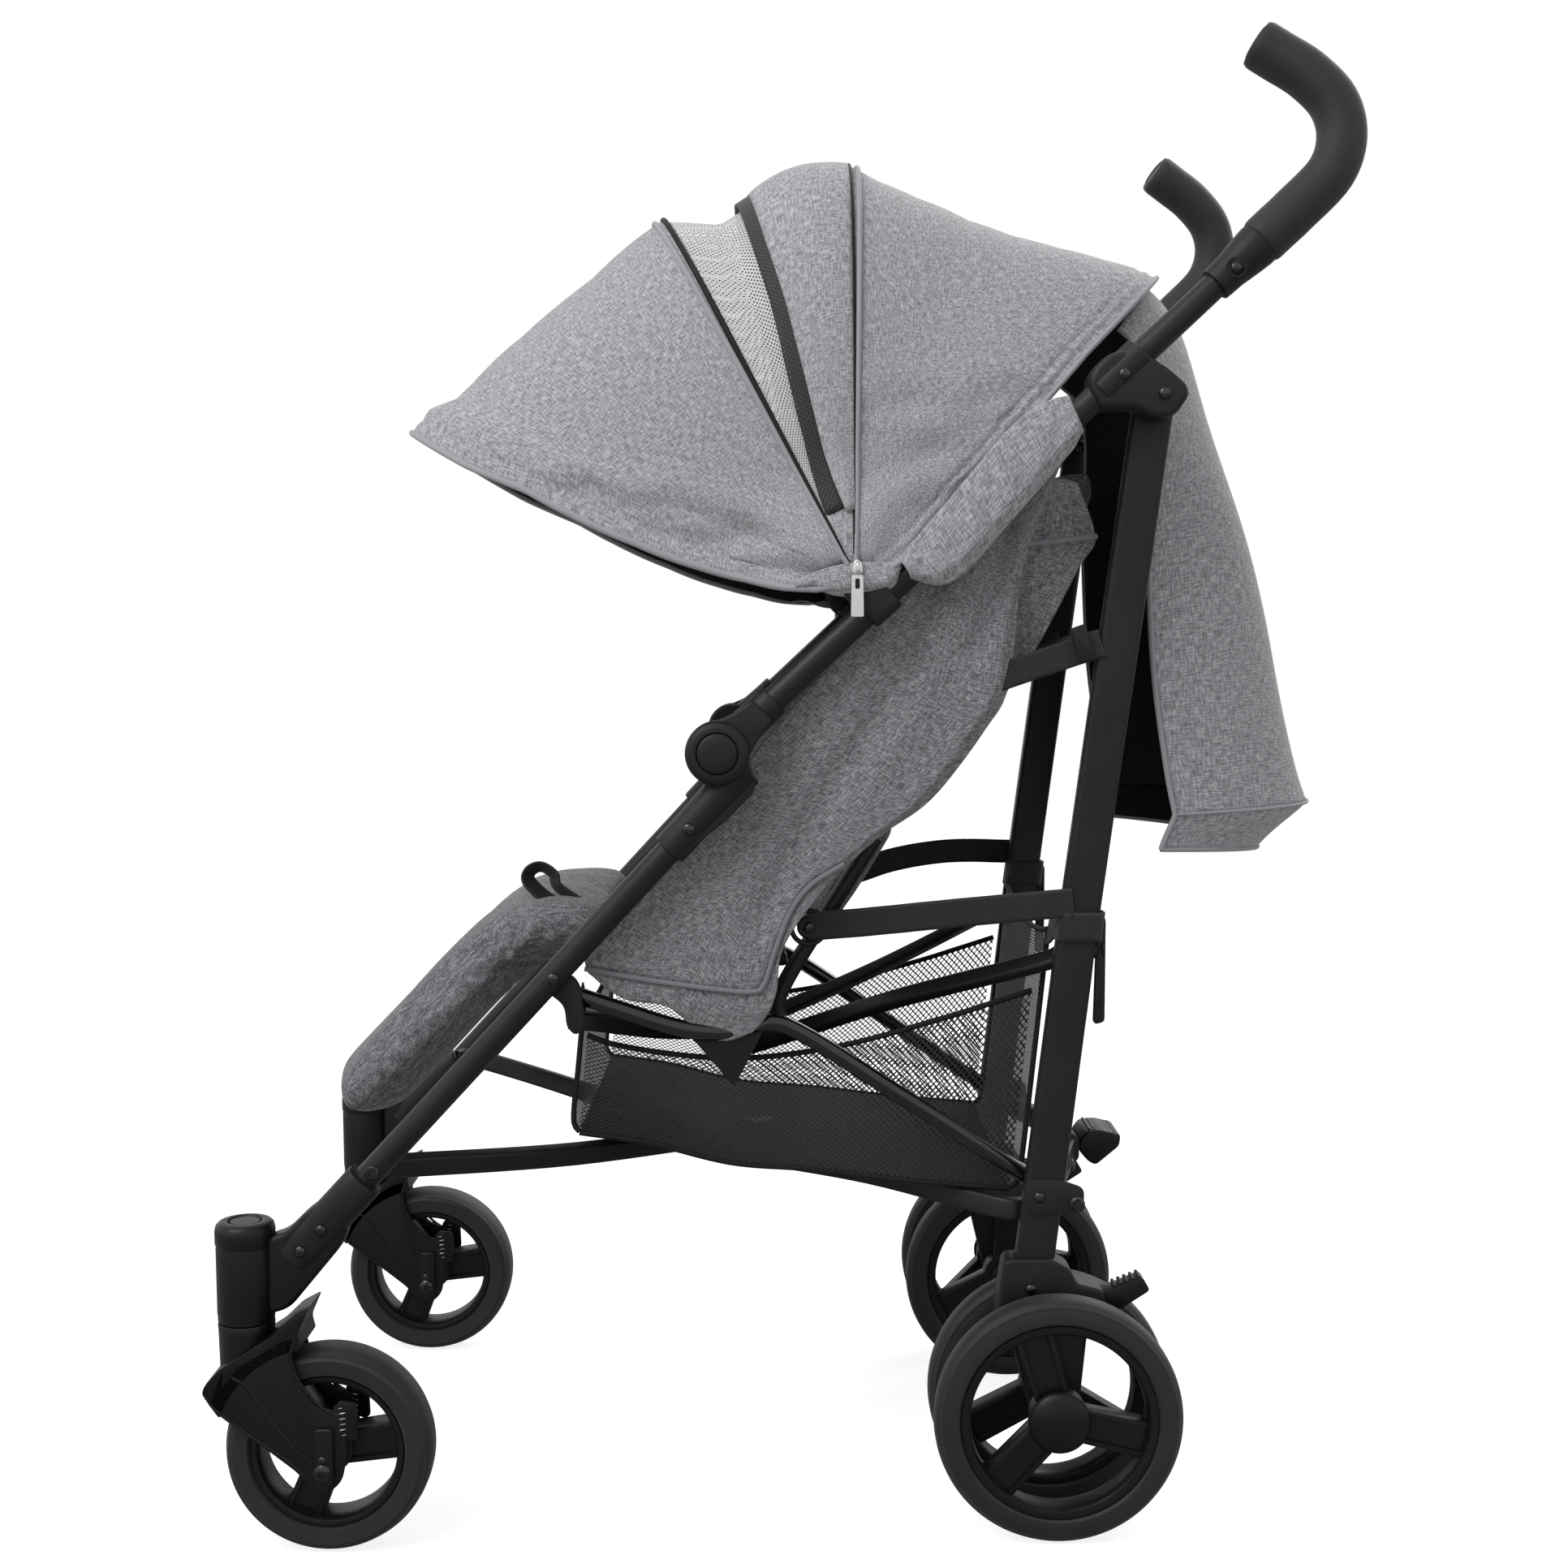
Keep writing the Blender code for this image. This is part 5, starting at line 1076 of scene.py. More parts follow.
        piece.add(sweep(circle(1.0, 44), stations(line, sizes=girth)), f.grip)
        tail = (line[-1] - line[-2]).normalized()
        piece.add(lathe([(0, -0.002), (0.0135, -0.002), (0.0138, 0.0004), (0.012, 0.0012), (0.0112, 0.0004),
                         (0, 0.0006)], tuple(line[-1]), tuple(tail), 40), f.nylon)
        piece.dress("handle_frame", side)

    def canopy_clip(self, side: float) -> None:
        """The clip on the handle tube that carries the hood's two bows."""
        f = self.finishes
        piece = Piece(f"canopy_clip_{side_name(side)}_dressed")
        marks = ((0.1428, 0.9), (0.1434, 0.97), (0.145, 1.0), (0.164, 1.0), (0.1656, 0.97), (0.1662, 0.9))
        piece.add(collar(box_section(0.025, 0.0262, 0.007), on_handle, marks), f.nylon)
        ear = [(0.04, 0.69), (0.06, 0.672), (0.076, 0.686), (0.066, 0.702), (0.056, 0.7075), (0.043, 0.7075)]
        piece.add(plate(rounded(ear, 0.006), 0.205, 0.2122, 0.0015), f.nylon)
        piece.add(pin((0.185, *CANOPY_PIVOT), 0.0029, 0.03), f.rivet)
        piece.dress("handle_frame", side)

    def build(self) -> None:
        """Makes both sides."""
        for side in (LEFT, RIGHT):
            self.handle_tube(side)
            self.elbow_upper(side)
            self.upper_bracket(side)
            self.handle_connector(side)
            self.handle_grip(side)
            self.canopy_clip(side)


@dataclass
class RearFrame:
    """Rear legs, feet with axles, brake pedals, the fold lock across the back and the brake cable."""

    finishes: Finishes
    leg_width: float = 0.015
    leg_depth: float = 0.029

    def leg_x(self, z: float) -> float:
        """The leg's middle at a height: it leans out a little."""
        return 0.161 + 0.0105 * (z - 0.17) / 0.67

    def rear_leg(self, side: float) -> None:
        """The rectangular rear leg with its latch plate, stud and clip."""
        f = self.finishes
        piece = Piece(f"rear_leg_{side_name(side)}_dressed")
        route = [(0.2658, 0.842), (0.2183, 0.478), (0.2081, 0.391), (0.183, 0.176)]
        line = smooth([(self.leg_x(z), y, z) for y, z in route], 6)
        piece.add(sweep(box_section(self.leg_width, self.leg_depth, 0.0042), stations(line)), f.coated)
        clip = [(0.177, 0.24), (0.176, 0.256), (0.181, 0.262), (0.204, 0.262), (0.221, 0.256),
                (0.221, 0.238), (0.196, 0.236), (0.183, 0.235)]
        piece.add(plate(rounded(clip, 0.005), 0.1692, 0.1712, 0.0005), f.coated)
        piece.add(dome((0.171, 0.188, 0.249), 0.004, 0.0022), f.rivet)
        piece.add(lathe([(0, 0), (0.0056, 0), (0.0056, 0.003), (0.004, 0.004), (0.004, 0.01), (0, 0.01)],
                        (0.169, 0.216, 0.244), steps=24), f.rivet)
        latch = [(0.227, 0.377), (0.235, 0.379), (0.235, 0.456), (0.229, 0.46)]
        piece.add(plate(rounded(latch, 0.003), 0.161, 0.169, 0.001), f.nylon)
        piece.add(lathe([(0, 0), (0.0062, 0), (0.0066, 0.002), (0.0052, 0.0036), (0.003, 0.0038),
                         (0.003, 0.006), (0.0068, 0.0068), (0.007, 0.0082), (0, 0.009)],
                        (0.165, 0.226, 0.432), (0, 1, 0.05), 32), f.nylon)
        piece.dress("rear_frame", side)

    def rear_foot(self, side: float) -> None:
        """The foot: a socket under the leg, a plate between the two wheels, and the axle."""
        f = self.finishes
        piece = Piece(f"rear_foot_{side_name(side)}_dressed")
        socket = [(0.156, 0.158), (0.162, 0.2), (0.166, 0.203), (0.198, 0.203), (0.211, 0.196),
                  (0.216, 0.185), (0.236, 0.18), (0.2385, 0.166), (0.224, 0.156), (0.19, 0.15)]
        piece.add(plate(rounded(socket, 0.004, 5), 0.148, 0.174, 0.0026, 3), f.nylon)
        stem = [(0.164, 0.162), (0.226, 0.162), (0.219, 0.09), (0.2105, 0.0765), (0.1905, 0.0765),
                (0.1815, 0.09)]
        piece.add(plate(rounded(stem, 0.008, 6), 0.1492, 0.1728, 0.003, 3), f.nylon)
        piece.add(lathe([(0, 0), (0.0048, 0), (0.005, 0.001), (0.005, 0.077), (0.0048, 0.078), (0, 0.078)],
                        (0.122, *REAR_AXLE), steps=28), f.rivet)
        piece.add(dome((0.1736, 0.182, 0.181), 0.0042, 0.0034), f.rivet)
        piece.dress("rear_frame", side)

    def brake_pedal(self, side: float) -> None:
        """The brake pedal with five ribs on its tread."""
        f = self.finishes
        piece = Piece(f"brake_pedal_{side_name(side)}_dressed")
        outline = [(0.225, 0.166), (0.225, 0.1755), (0.232, 0.1775), (0.245, 0.18), (0.265, 0.1885),
                   (0.2712, 0.178), (0.25, 0.164), (0.238, 0.1635)]
        piece.add(plate(rounded(outline, 0.003), 0.153, 0.169, 0.0012), f.dark)
        low, high = Vector((0.243, 0.18)), Vector((0.265, 0.1885))
        for k in range(5):
            here = low.lerp(high, (k + 0.5) / 5)
            piece.add(tube([(0.1534, here.x, here.y), (0.1686, here.x, here.y)], 0.0014, 12,
                           across=(0, 1, 0)), f.dark)
        piece.dress(f"brake_pedal_{side_name(side)}", side)

    def fold_lock(self) -> None:
        """The folding bar across the back and the pedal that unlocks it."""
        f = self.finishes
        piece = Piece("fold_lock_brace_dressed")
        ends = [(0.1535, 0.1985, 0.244), (0.09, 0.2155, 0.2457), (0.025, 0.232, 0.247)]
        piece.add(sweep(box_section(0.0095, 0.018, 0.0022),
                        stations([Vector(p) for p in ends], (0.27, 1, 0))), f.coated)
        piece.add(pin((0.144, 0.201, 0.2442), 0.0115, 0.01, 32), f.nylon)
        piece.add(dome((0.072, 0.2264, 0.246), 0.0045, 0.0026, (0.25, 1, 0)), f.rivet)
        piece.mirror_in()
        housing = [(0.221, 0.236), (0.221, 0.258), (0.227, 0.261), (0.234, 0.261), (0.2395, 0.255),
                   (0.2395, 0.239), (0.234, 0.234), (0.226, 0.234)]
        piece.add(plate(rounded(housing, 0.003), -0.029, 0.029, 0.0025, 3), f.nylon)
        piece.dress("rear_frame")
        pedal = Piece("fold_pedal_dressed")
        outline = [(0.24, 0.244), (0.24, 0.252), (0.246, 0.26), (0.258, 0.2612), (0.274, 0.2575),
                   (0.273, 0.248), (0.254, 0.232), (0.248, 0.235)]
        pedal.add(plate(rounded(outline, 0.003), -0.0225, 0.0225, 0.0018, 3), f.dark)
        for k in range(6):
            y = 0.249 + 0.004 * k
            pedal.add(tube([(-0.019, y, 0.2608 - 0.0005 * k), (0.019, y, 0.2608 - 0.0005 * k)], 0.0011, 10,
                           across=(0, 1, 0)), f.dark)
        pedal.dress("fold_pedal")

    def brake_cable(self) -> None:
        """The cable that joins the two brakes, in a loop under the bar."""
        piece = Piece("brake_cable_dressed")
        half = [(0.1476, 0.19, 0.194), (0.14, 0.1905, 0.195), (0.12, 0.195, 0.2), (0.09, 0.202, 0.208),
                (0.06, 0.208, 0.213), (0.03, 0.212, 0.216), (0.0, 0.213, 0.217)]
        route = half + [(-x, y, z) for x, y, z in reversed(half[:-1])]
        piece.add(tube(route, 0.0024, 20, 6, (0, 0, 1)), self.finishes.cable)
        piece.dress("rear_frame")

    def build(self) -> None:
        """Makes both sides and the parts between them."""
        for side in (LEFT, RIGHT):
            self.rear_leg(side)
            self.rear_foot(side)
            self.brake_pedal(side)
        self.fold_lock()
        self.brake_cable()


@dataclass
class Braces:
    """Link tubes, the two flat crosses and the backrest's bent tubes."""

    finishes: Finishes

    def link_tube(self, side: float) -> None:
        """The glossy link tube, bent in towards the rear leg."""
        f = self.finishes
        piece = Piece(f"link_tube_{side_name(side)}_dressed")
        route = [(0.18, -0.168, 0.4076), (0.1795, -0.118, 0.39), (0.1785, -0.07, 0.3755),
                 (0.172, -0.03, 0.373), (0.165, 0.002, 0.3755), (0.156, 0.085, 0.3225),
                 (0.146, 0.173, 0.264), (0.146, 0.18, 0.2595)]
        piece.add(tube(route, 0.0064, 32, 8), f.gloss)
        piece.add(pin((0.14, -0.001, 0.3775), 0.0034, 0.025), f.rivet)
        piece.dress("link_tubes", side)

    def flat_bar(self, body: str, word: str, route: Sequence[Place], width: float, height: float) -> None:
        """A flat bar that steps round its partner at the middle.

        Args:
            body: The cross that it belongs to.
            word: Which of the cross's two bars it is.
            route: Points of its middle line.
            width: Across the bar.
            height: Its upright side.
        """
        piece = Piece(f"{body}_{word}_bar{DRESSED}")
        line = smooth(route, 7)
        piece.add(sweep(box_section(width, height, 0.0028), stations(line)), self.finishes.coated)
        piece.dress(body)

    def backrest_tube(self, side: float) -> None:
        """The backrest's bent side tube."""
        f = self.finishes
        piece = Piece(f"backrest_tube_{side_name(side)}_dressed")
        route = [(0.1465, -0.0015, 0.369), (0.1465, -0.003, 0.396), (0.1465, 0.03, 0.453),
                 (0.1465, 0.0675, 0.513)]
        piece.add(tube(route, 0.006, 28, 8), f.coated)
        piece.dress("backrest", side)

    def build(self) -> None:
        """Makes both sides and the four cross bars."""
        for side in (LEFT, RIGHT):
            self.link_tube(side)
            self.backrest_tube(side)
        for name, s in (("upper", 1.0), ("lower", -1.0)):
            lower = [(s * 0.18, -0.298, 0.2755), (s * 0.18, -0.279, 0.2755), (s * 0.095, -0.162, 0.2612),
                     (s * 0.008, -0.044, 0.247 + s * 0.0085), (-s * 0.008, -0.023, 0.2465 + s * 0.0085),
                     (-s * 0.078, 0.069, 0.2408), (-s * 0.146, 0.16, 0.235), (-s * 0.146, 0.178, 0.234)]
            self.flat_bar("lower_brace", name, lower, 0.0118, 0.016)
            upper = [(s * 0.164, -0.157, 0.38), (s * 0.164, -0.142, 0.379), (s * 0.086, -0.092, 0.357),
                     (s * 0.008, -0.042, 0.335 + s * 0.0075), (-s * 0.008, -0.027, 0.336 + s * 0.0075),
                     (-s * 0.079, 0.0815, 0.378), (-s * 0.149, 0.19, 0.42), (-s * 0.149, 0.205, 0.427)]
            self.flat_bar("upper_brace", name, upper, 0.0098, 0.0138)


# Wheels

@dataclass
class Wheel:
    """A foam tyre on a moulded rim with three channelled spokes and a hub."""

    finishes: Finishes
    node: str
    centre: Flat
    inner: float
    outer: float
    first_spoke: float
    rim_share: float = 0.715
    cap: bool = False
    treads: int = 44

    @property
    def radius(self) -> float:
        """The wheel's radius, which is its axle's height: it stands on the floor."""
        return self.centre[1]

    def tyre(self) -> BMesh:
        """The tyre: flat sides, soft shoulders, and a wavy groove on each shoulder."""
        half, r = (self.outer - self.inner) / 2, self.radius
        side = self.rim_share + 0.085
        ring = [(r * side, -half * 0.8), (r * (side + 0.015), -half * 0.9), (r * 0.905, -half * 0.96),
                (r * 0.925, -half * 0.9), (r * 0.955, -half * 0.83), (r * 0.968, -half * 0.7),
                (r * 0.985, -half * 0.62), (r * 0.996, -half * 0.42), (r, -half * 0.2)]
        ring = [*ring, (r, 0.0), *[(a, -b) for a, b in reversed(ring)]]
        ring.append(ring[0])
        middle = (self.inner + half, *self.centre)
        bm = lathe(ring, middle, steps=self.treads * 4)
        for vert in bm.verts:
            y, z = vert.co.y - self.centre[0], vert.co.z - self.centre[1]
            reach, turn = math.hypot(y, z), math.atan2(z, y)
            away = abs(vert.co.x - middle[0]) / half
            if 0.55 < away < 0.86 and reach > r * 0.95:
                wave = math.copysign(1.0, math.sin(turn * self.treads)) * 0.0011
                vert.co.x += math.copysign(wave, vert.co.x - middle[0])
                vert.co.y -= y / reach * 0.0007
                vert.co.z -= z / reach * 0.0007
        return bm

    def rim(self) -> BMesh:
        """The rim's ring: a lip either side of a shallow well."""
        half, r = (self.outer - self.inner) / 2 * 0.8, self.radius
        low, high = r * self.rim_share, r * (self.rim_share + 0.088)
        ring = [(low, -half * 0.82), (low + 0.0012, -half * 0.96), (low + 0.003, -half),
                (high - 0.0016, -half), (high - 0.001, -half + 0.001), (high, -half + 0.001),
                (high, half - 0.001), (high - 0.001, half - 0.001), (high - 0.0016, half),
                (low + 0.003, half), (low + 0.0012, half * 0.96), (low, half * 0.82),
                (low - 0.0006, half * 0.35), (low - 0.0006, -half * 0.35), (low, -half * 0.82)]
        return lathe(ring, ((self.inner + self.outer) / 2, *self.centre), steps=120)

    def spoke(self, turn: float) -> BMesh:
        """One spoke: a bar with a channel sunk in both faces.

        Args:
            turn: Its angle in the side view, in degrees from the back.

        Returns:
            The shell.
        """
        r = self.radius
        start, end = r * 0.16, r * (self.rim_share + 0.03)
        near, far = 0.0125, 0.0135
        outline = [(start, -near), (end, -far), (end, far), (start, near)]
        middle, deep = (self.inner + self.outer) / 2, (self.outer - self.inner) * 0.27
        bm = plate(outline, -deep, deep, 0.0008, 2)
        faces = [f for f in bm.faces if abs(f.normal.x) > 0.99 and f.calc_area() > 2e-4]
        bmesh.ops.inset_individual(bm, faces=faces, thickness=0.0042, depth=0.0)
        bmesh.ops.inset_individual(bm, faces=faces, thickness=0.0006, depth=-0.0026)
        bmesh.ops.rotate(bm, cent=(0, 0, 0), matrix=Matrix.Rotation(math.radians(turn), 3, "X"),
                         verts=bm.verts)
        bmesh.ops.translate(bm, vec=(middle, *self.centre), verts=bm.verts)
        return bm

    def hub(self, piece: Piece, finish: Material) -> None:
        """The hub's barrel with its two rims, and the domed cap of a rear wheel.

        Args:
            piece: Takes the shells.
            finish: Their material.
        """
        half = (self.outer - self.inner) / 2
        middle = ((self.inner + self.outer) / 2, *self.centre)
        r = self.radius * 0.235
        reach = half * 0.9
        barrel = [(0.0062, -reach), (r * 0.62, -reach), (r * 0.7, -reach + 0.001), (r * 0.74, -half * 0.62),
                  (r, -half * 0.56), (r, half * 0.56), (r * 0.74, half * 0.62), (r * 0.7, reach - 0.001),
                  (r * 0.62, reach), (0.0062, reach), (0.0062, -reach)]
        piece.add(lathe(barrel, middle, steps=56), finish)
        if self.cap:
            cap_r = self.radius * 0.252
            base = half * 0.6
            dome_line = [(0, base), (cap_r, base), (cap_r, base + 0.0015),
                         *((cap_r * math.cos(a), base + 0.0015 + 0.0085 * math.sin(a))
                           for a in (math.radians(10 * k) for k in range(1, 9))), (0, base + 0.01)]
            piece.add(lathe(dome_line, middle, steps=64), finish)
            for shift, bend in ((-0.0052, 0.3), (-0.003, 0.34), (0.006, -0.3)):
                arc = []
                for k in range(17):
                    turn = -1.05 + 2.1 * k / 16
                    y = shift + cap_r * bend * (math.cos(turn) - 0.55)
                    z = cap_r * 0.86 * math.sin(turn)
                    share = min(0.985, math.hypot(y, z) / cap_r)
                    arc.append((middle[0] + base + 0.0014 + 0.0085 * math.sqrt(1 - share ** 2), middle[1] + y,
                                middle[2] + z))
                piece.add(tube(arc, 0.00045, 8, across=(1, 0, 0)), finish)

    def build(self, side: float) -> None:
        """Makes the wheel.

        Args:
            side: 1 for the left of the buggy, -1 for its right.
        """
        f = self.finishes
        piece = Piece(self.node + DRESSED)
        piece.add(self.tyre(), f.tyre)
        piece.add(self.rim(), f.dark)
        for k in range(3):
            piece.add(self.spoke(self.first_spoke + 120 * k), f.dark)
        self.hub(piece, f.dark)
        piece.dress(self.node, side)


@dataclass
class Casters:
    """Front forks with their sprung wheel carriers."""

    finishes: Finishes
    wheel: Flat = FRONT_AXLE
    clearance: float = 0.0795
    half_width: float = 0.0225
    gap: float = 0.0187

    def arc(self, start: float, end: float, steps: int = 10) -> list[Flat]:
        """Points of the wheel arch between two angles in degrees."""
        turns = (math.radians(start + (end - start) * k / steps) for k in range(steps + 1))
        return [(self.wheel[0] + self.clearance * math.cos(t), self.wheel[1] + self.clearance * math.sin(t))
                for t in turns]

    def fork(self, side: float) -> None:
        """The fork: stem, arched body with a pointed fin, and a ridged cheek either side of the wheel."""
        f = self.finishes
        piece = Piece(f"caster_fork_{side_name(side)}_dressed")
        up = (0.0, 0.0, 1.0)
        stem = [(0, 0.128), (0.0186, 0.128), (0.0192, 0.136), (0.0198, 0.16), (0.0202, 0.1662),
                (0.0196, 0.1674), (0.011, 0.1676), (0, 0.1676)]
        piece.add(lathe(stem, (TRACK_X, -0.389, 0.0), up, 64), f.dark)
        body = [(-0.382, 0.152), (-0.4015, 0.14), (-0.4125, 0.129), (-0.4165, 0.121), (-0.41, 0.111),
                *self.arc(160, 101, 12), (-0.347, 0.164), (-0.3395, 0.1815), (-0.353, 0.1745),
                (-0.366, 0.162)]
        body_shell = plate(rounded(body, 0.003, 3), TRACK_X - self.half_width, TRACK_X + self.half_width,
                           0.0042, 4)
        piece.add(body_shell, f.dark)
        cheek = [(-0.385, 0.144), (-0.401, 0.139), (-0.413, 0.1285), (-0.4168, 0.121), (-0.409, 0.11),
                 (-0.395, 0.0985), (-0.348, 0.062), (-0.3385, 0.05), (-0.326, 0.048), (-0.317, 0.056),
                 (-0.312, 0.08), (-0.3165, 0.106), (-0.335, 0.111), (-0.348, 0.13), (-0.3535, 0.148),
                 (-0.348, 0.163), (-0.36, 0.16)]
        for low, high in ((self.gap, self.half_width), (-self.half_width, -self.gap)):
            piece.add(plate(rounded(cheek, 0.007, 5), TRACK_X + low, TRACK_X + high, 0.0012, 3), f.dark)

        def girth(share: float) -> Flat:
            """A ridge's scales along its length: it thins towards both ends."""
            scale = 0.75 + 0.25 * math.sin(math.pi * share)
            return scale, scale

        ridges = (((-0.3945, 0.133), (-0.383, 0.125), (-0.366, 0.1), (-0.35, 0.08), (-0.337, 0.069)),
                  ((-0.414, 0.12), (-0.406, 0.1085), (-0.382, 0.09), (-0.356, 0.072), (-0.342, 0.06)),
                  ((-0.348, 0.161), (-0.352, 0.147), (-0.346, 0.129), (-0.333, 0.113), (-0.323, 0.106)))
        for way in (1.0, -1.0):
            for line in ridges:
                points = [(TRACK_X + way * (self.half_width - 0.0004), y, z) for y, z in line]
                piece.add(tube(points, 0.0013, 12, 6, sizes=girth), f.dark)
        piece.dress(f"caster_fork_{side_name(side)}", side)

    def carrier(self, side: float) -> None:
        """The sprung carrier: axle, a bar on each side of the fork, and the spring boxes behind them."""
        f = self.finishes
        piece = Piece(f"suspension_carrier_{side_name(side)}_dressed")
        y, z = self.wheel
        piece.add(pin((TRACK_X - 0.0258, y, z), 0.004, 0.0516, 24), f.rivet)
        bar = [(y - 0.0068, 0.056), (y - 0.0068, 0.096), (y + 0.0072, 0.0965), (y + 0.007, 0.056),
               (y, 0.0475)]
        for way in (1.0, -1.0):
            low, high = sorted((TRACK_X + way * 0.0226, TRACK_X + way * 0.0262))
            piece.add(plate(rounded(bar, 0.004, 4), low, high, 0.0014, 3), f.dark)
            outside = TRACK_X + way * 0.0258
            head = lathe([(0, 0), (0.0062, 0), (0.0062, 0.0008), (0.0044, 0.0022), (0.002, 0.0024),
                          (0.0016, 0.0012), (0, 0.0012)], (outside, y - 0.001, 0.064), (way, 0, 0), 24)
            piece.add(head, f.rivet)
            piece.add(dome((outside, y - 0.001, 0.0735), 0.003, 0.0018, (way, 0, 0)), f.rivet)
        piece.dress(f"suspension_{side_name(side)}", side)
        boxes = Piece(f"spring_box_{side_name(side)}")
        for way in (1.0, -1.0):
            low, high = sorted((TRACK_X + way * 0.0189, TRACK_X + way * 0.0222))
            frame_line = [(y + 0.008, 0.09), (y + 0.006, 0.11), (y + 0.011, 0.115), (y + 0.023, 0.114),
                          (y + 0.024, 0.088), (y + 0.02, 0.086)]
            boxes.add(plate(rounded(frame_line, 0.003, 4), low, high, 0.0008, 2), f.dark)
            helix = [(TRACK_X + way * (0.0206 + 0.0018 * math.cos(a)), y + 0.013 + 0.0034 * math.sin(a),
                      0.0905 + 0.02 * a / (10 * math.pi)) for a in (k * math.pi / 6 for k in range(61))]
            boxes.add(tube(helix, 0.0005, 8, across=(0, 0, 1)), f.spring)
        seat_on(boxes.done(side), f"caster_fork_{side_name(side)}")

    def build(self) -> None:
        """Makes both sides."""
        for side in (LEFT, RIGHT):
            self.fork(side)
            self.carrier(side)


def make_wheels(finishes: Finishes) -> None:
    """Makes the six wheels.

    Args:
        finishes: The buggy's finishes.
    """
    for side in (LEFT, RIGHT):
        word = side_name(side)
        Wheel(finishes, f"front_wheel_{word}", FRONT_AXLE, inner=0.182, outer=0.218, first_spoke=8.0,
              rim_share=0.665, treads=40).build(side)
        Wheel(finishes, f"rear_wheel_outer_{word}", REAR_AXLE, inner=0.177, outer=0.205,
              first_spoke=107.0, cap=True).build(side)
        Wheel(finishes, f"rear_wheel_inner_{word}", REAR_AXLE, inner=0.117, outer=0.145,
              first_spoke=88.0).build(side)


# Hood

@dataclass
class Folds:
    """Soft folds on one cloth, each with a low roll beside it; all but the roll's share in metres."""

    lines: list[list[Vector]]
    deep: float
    wide: float
    roll_share: float
    roll_off: float
    roll_wide: float

    def depth(self, here: Vector) -> float:
        """How deep the folds draw the cloth in at a point."""
        sunk = 0.0
        for line in self.lines:
            off = distance_to(line, Vector((here.y, here.z)))
            sunk += (self.deep * ridge(off, self.wide)
                     - self.roll_share * self.deep * ridge(off - self.roll_off, self.roll_wide))
        return sunk


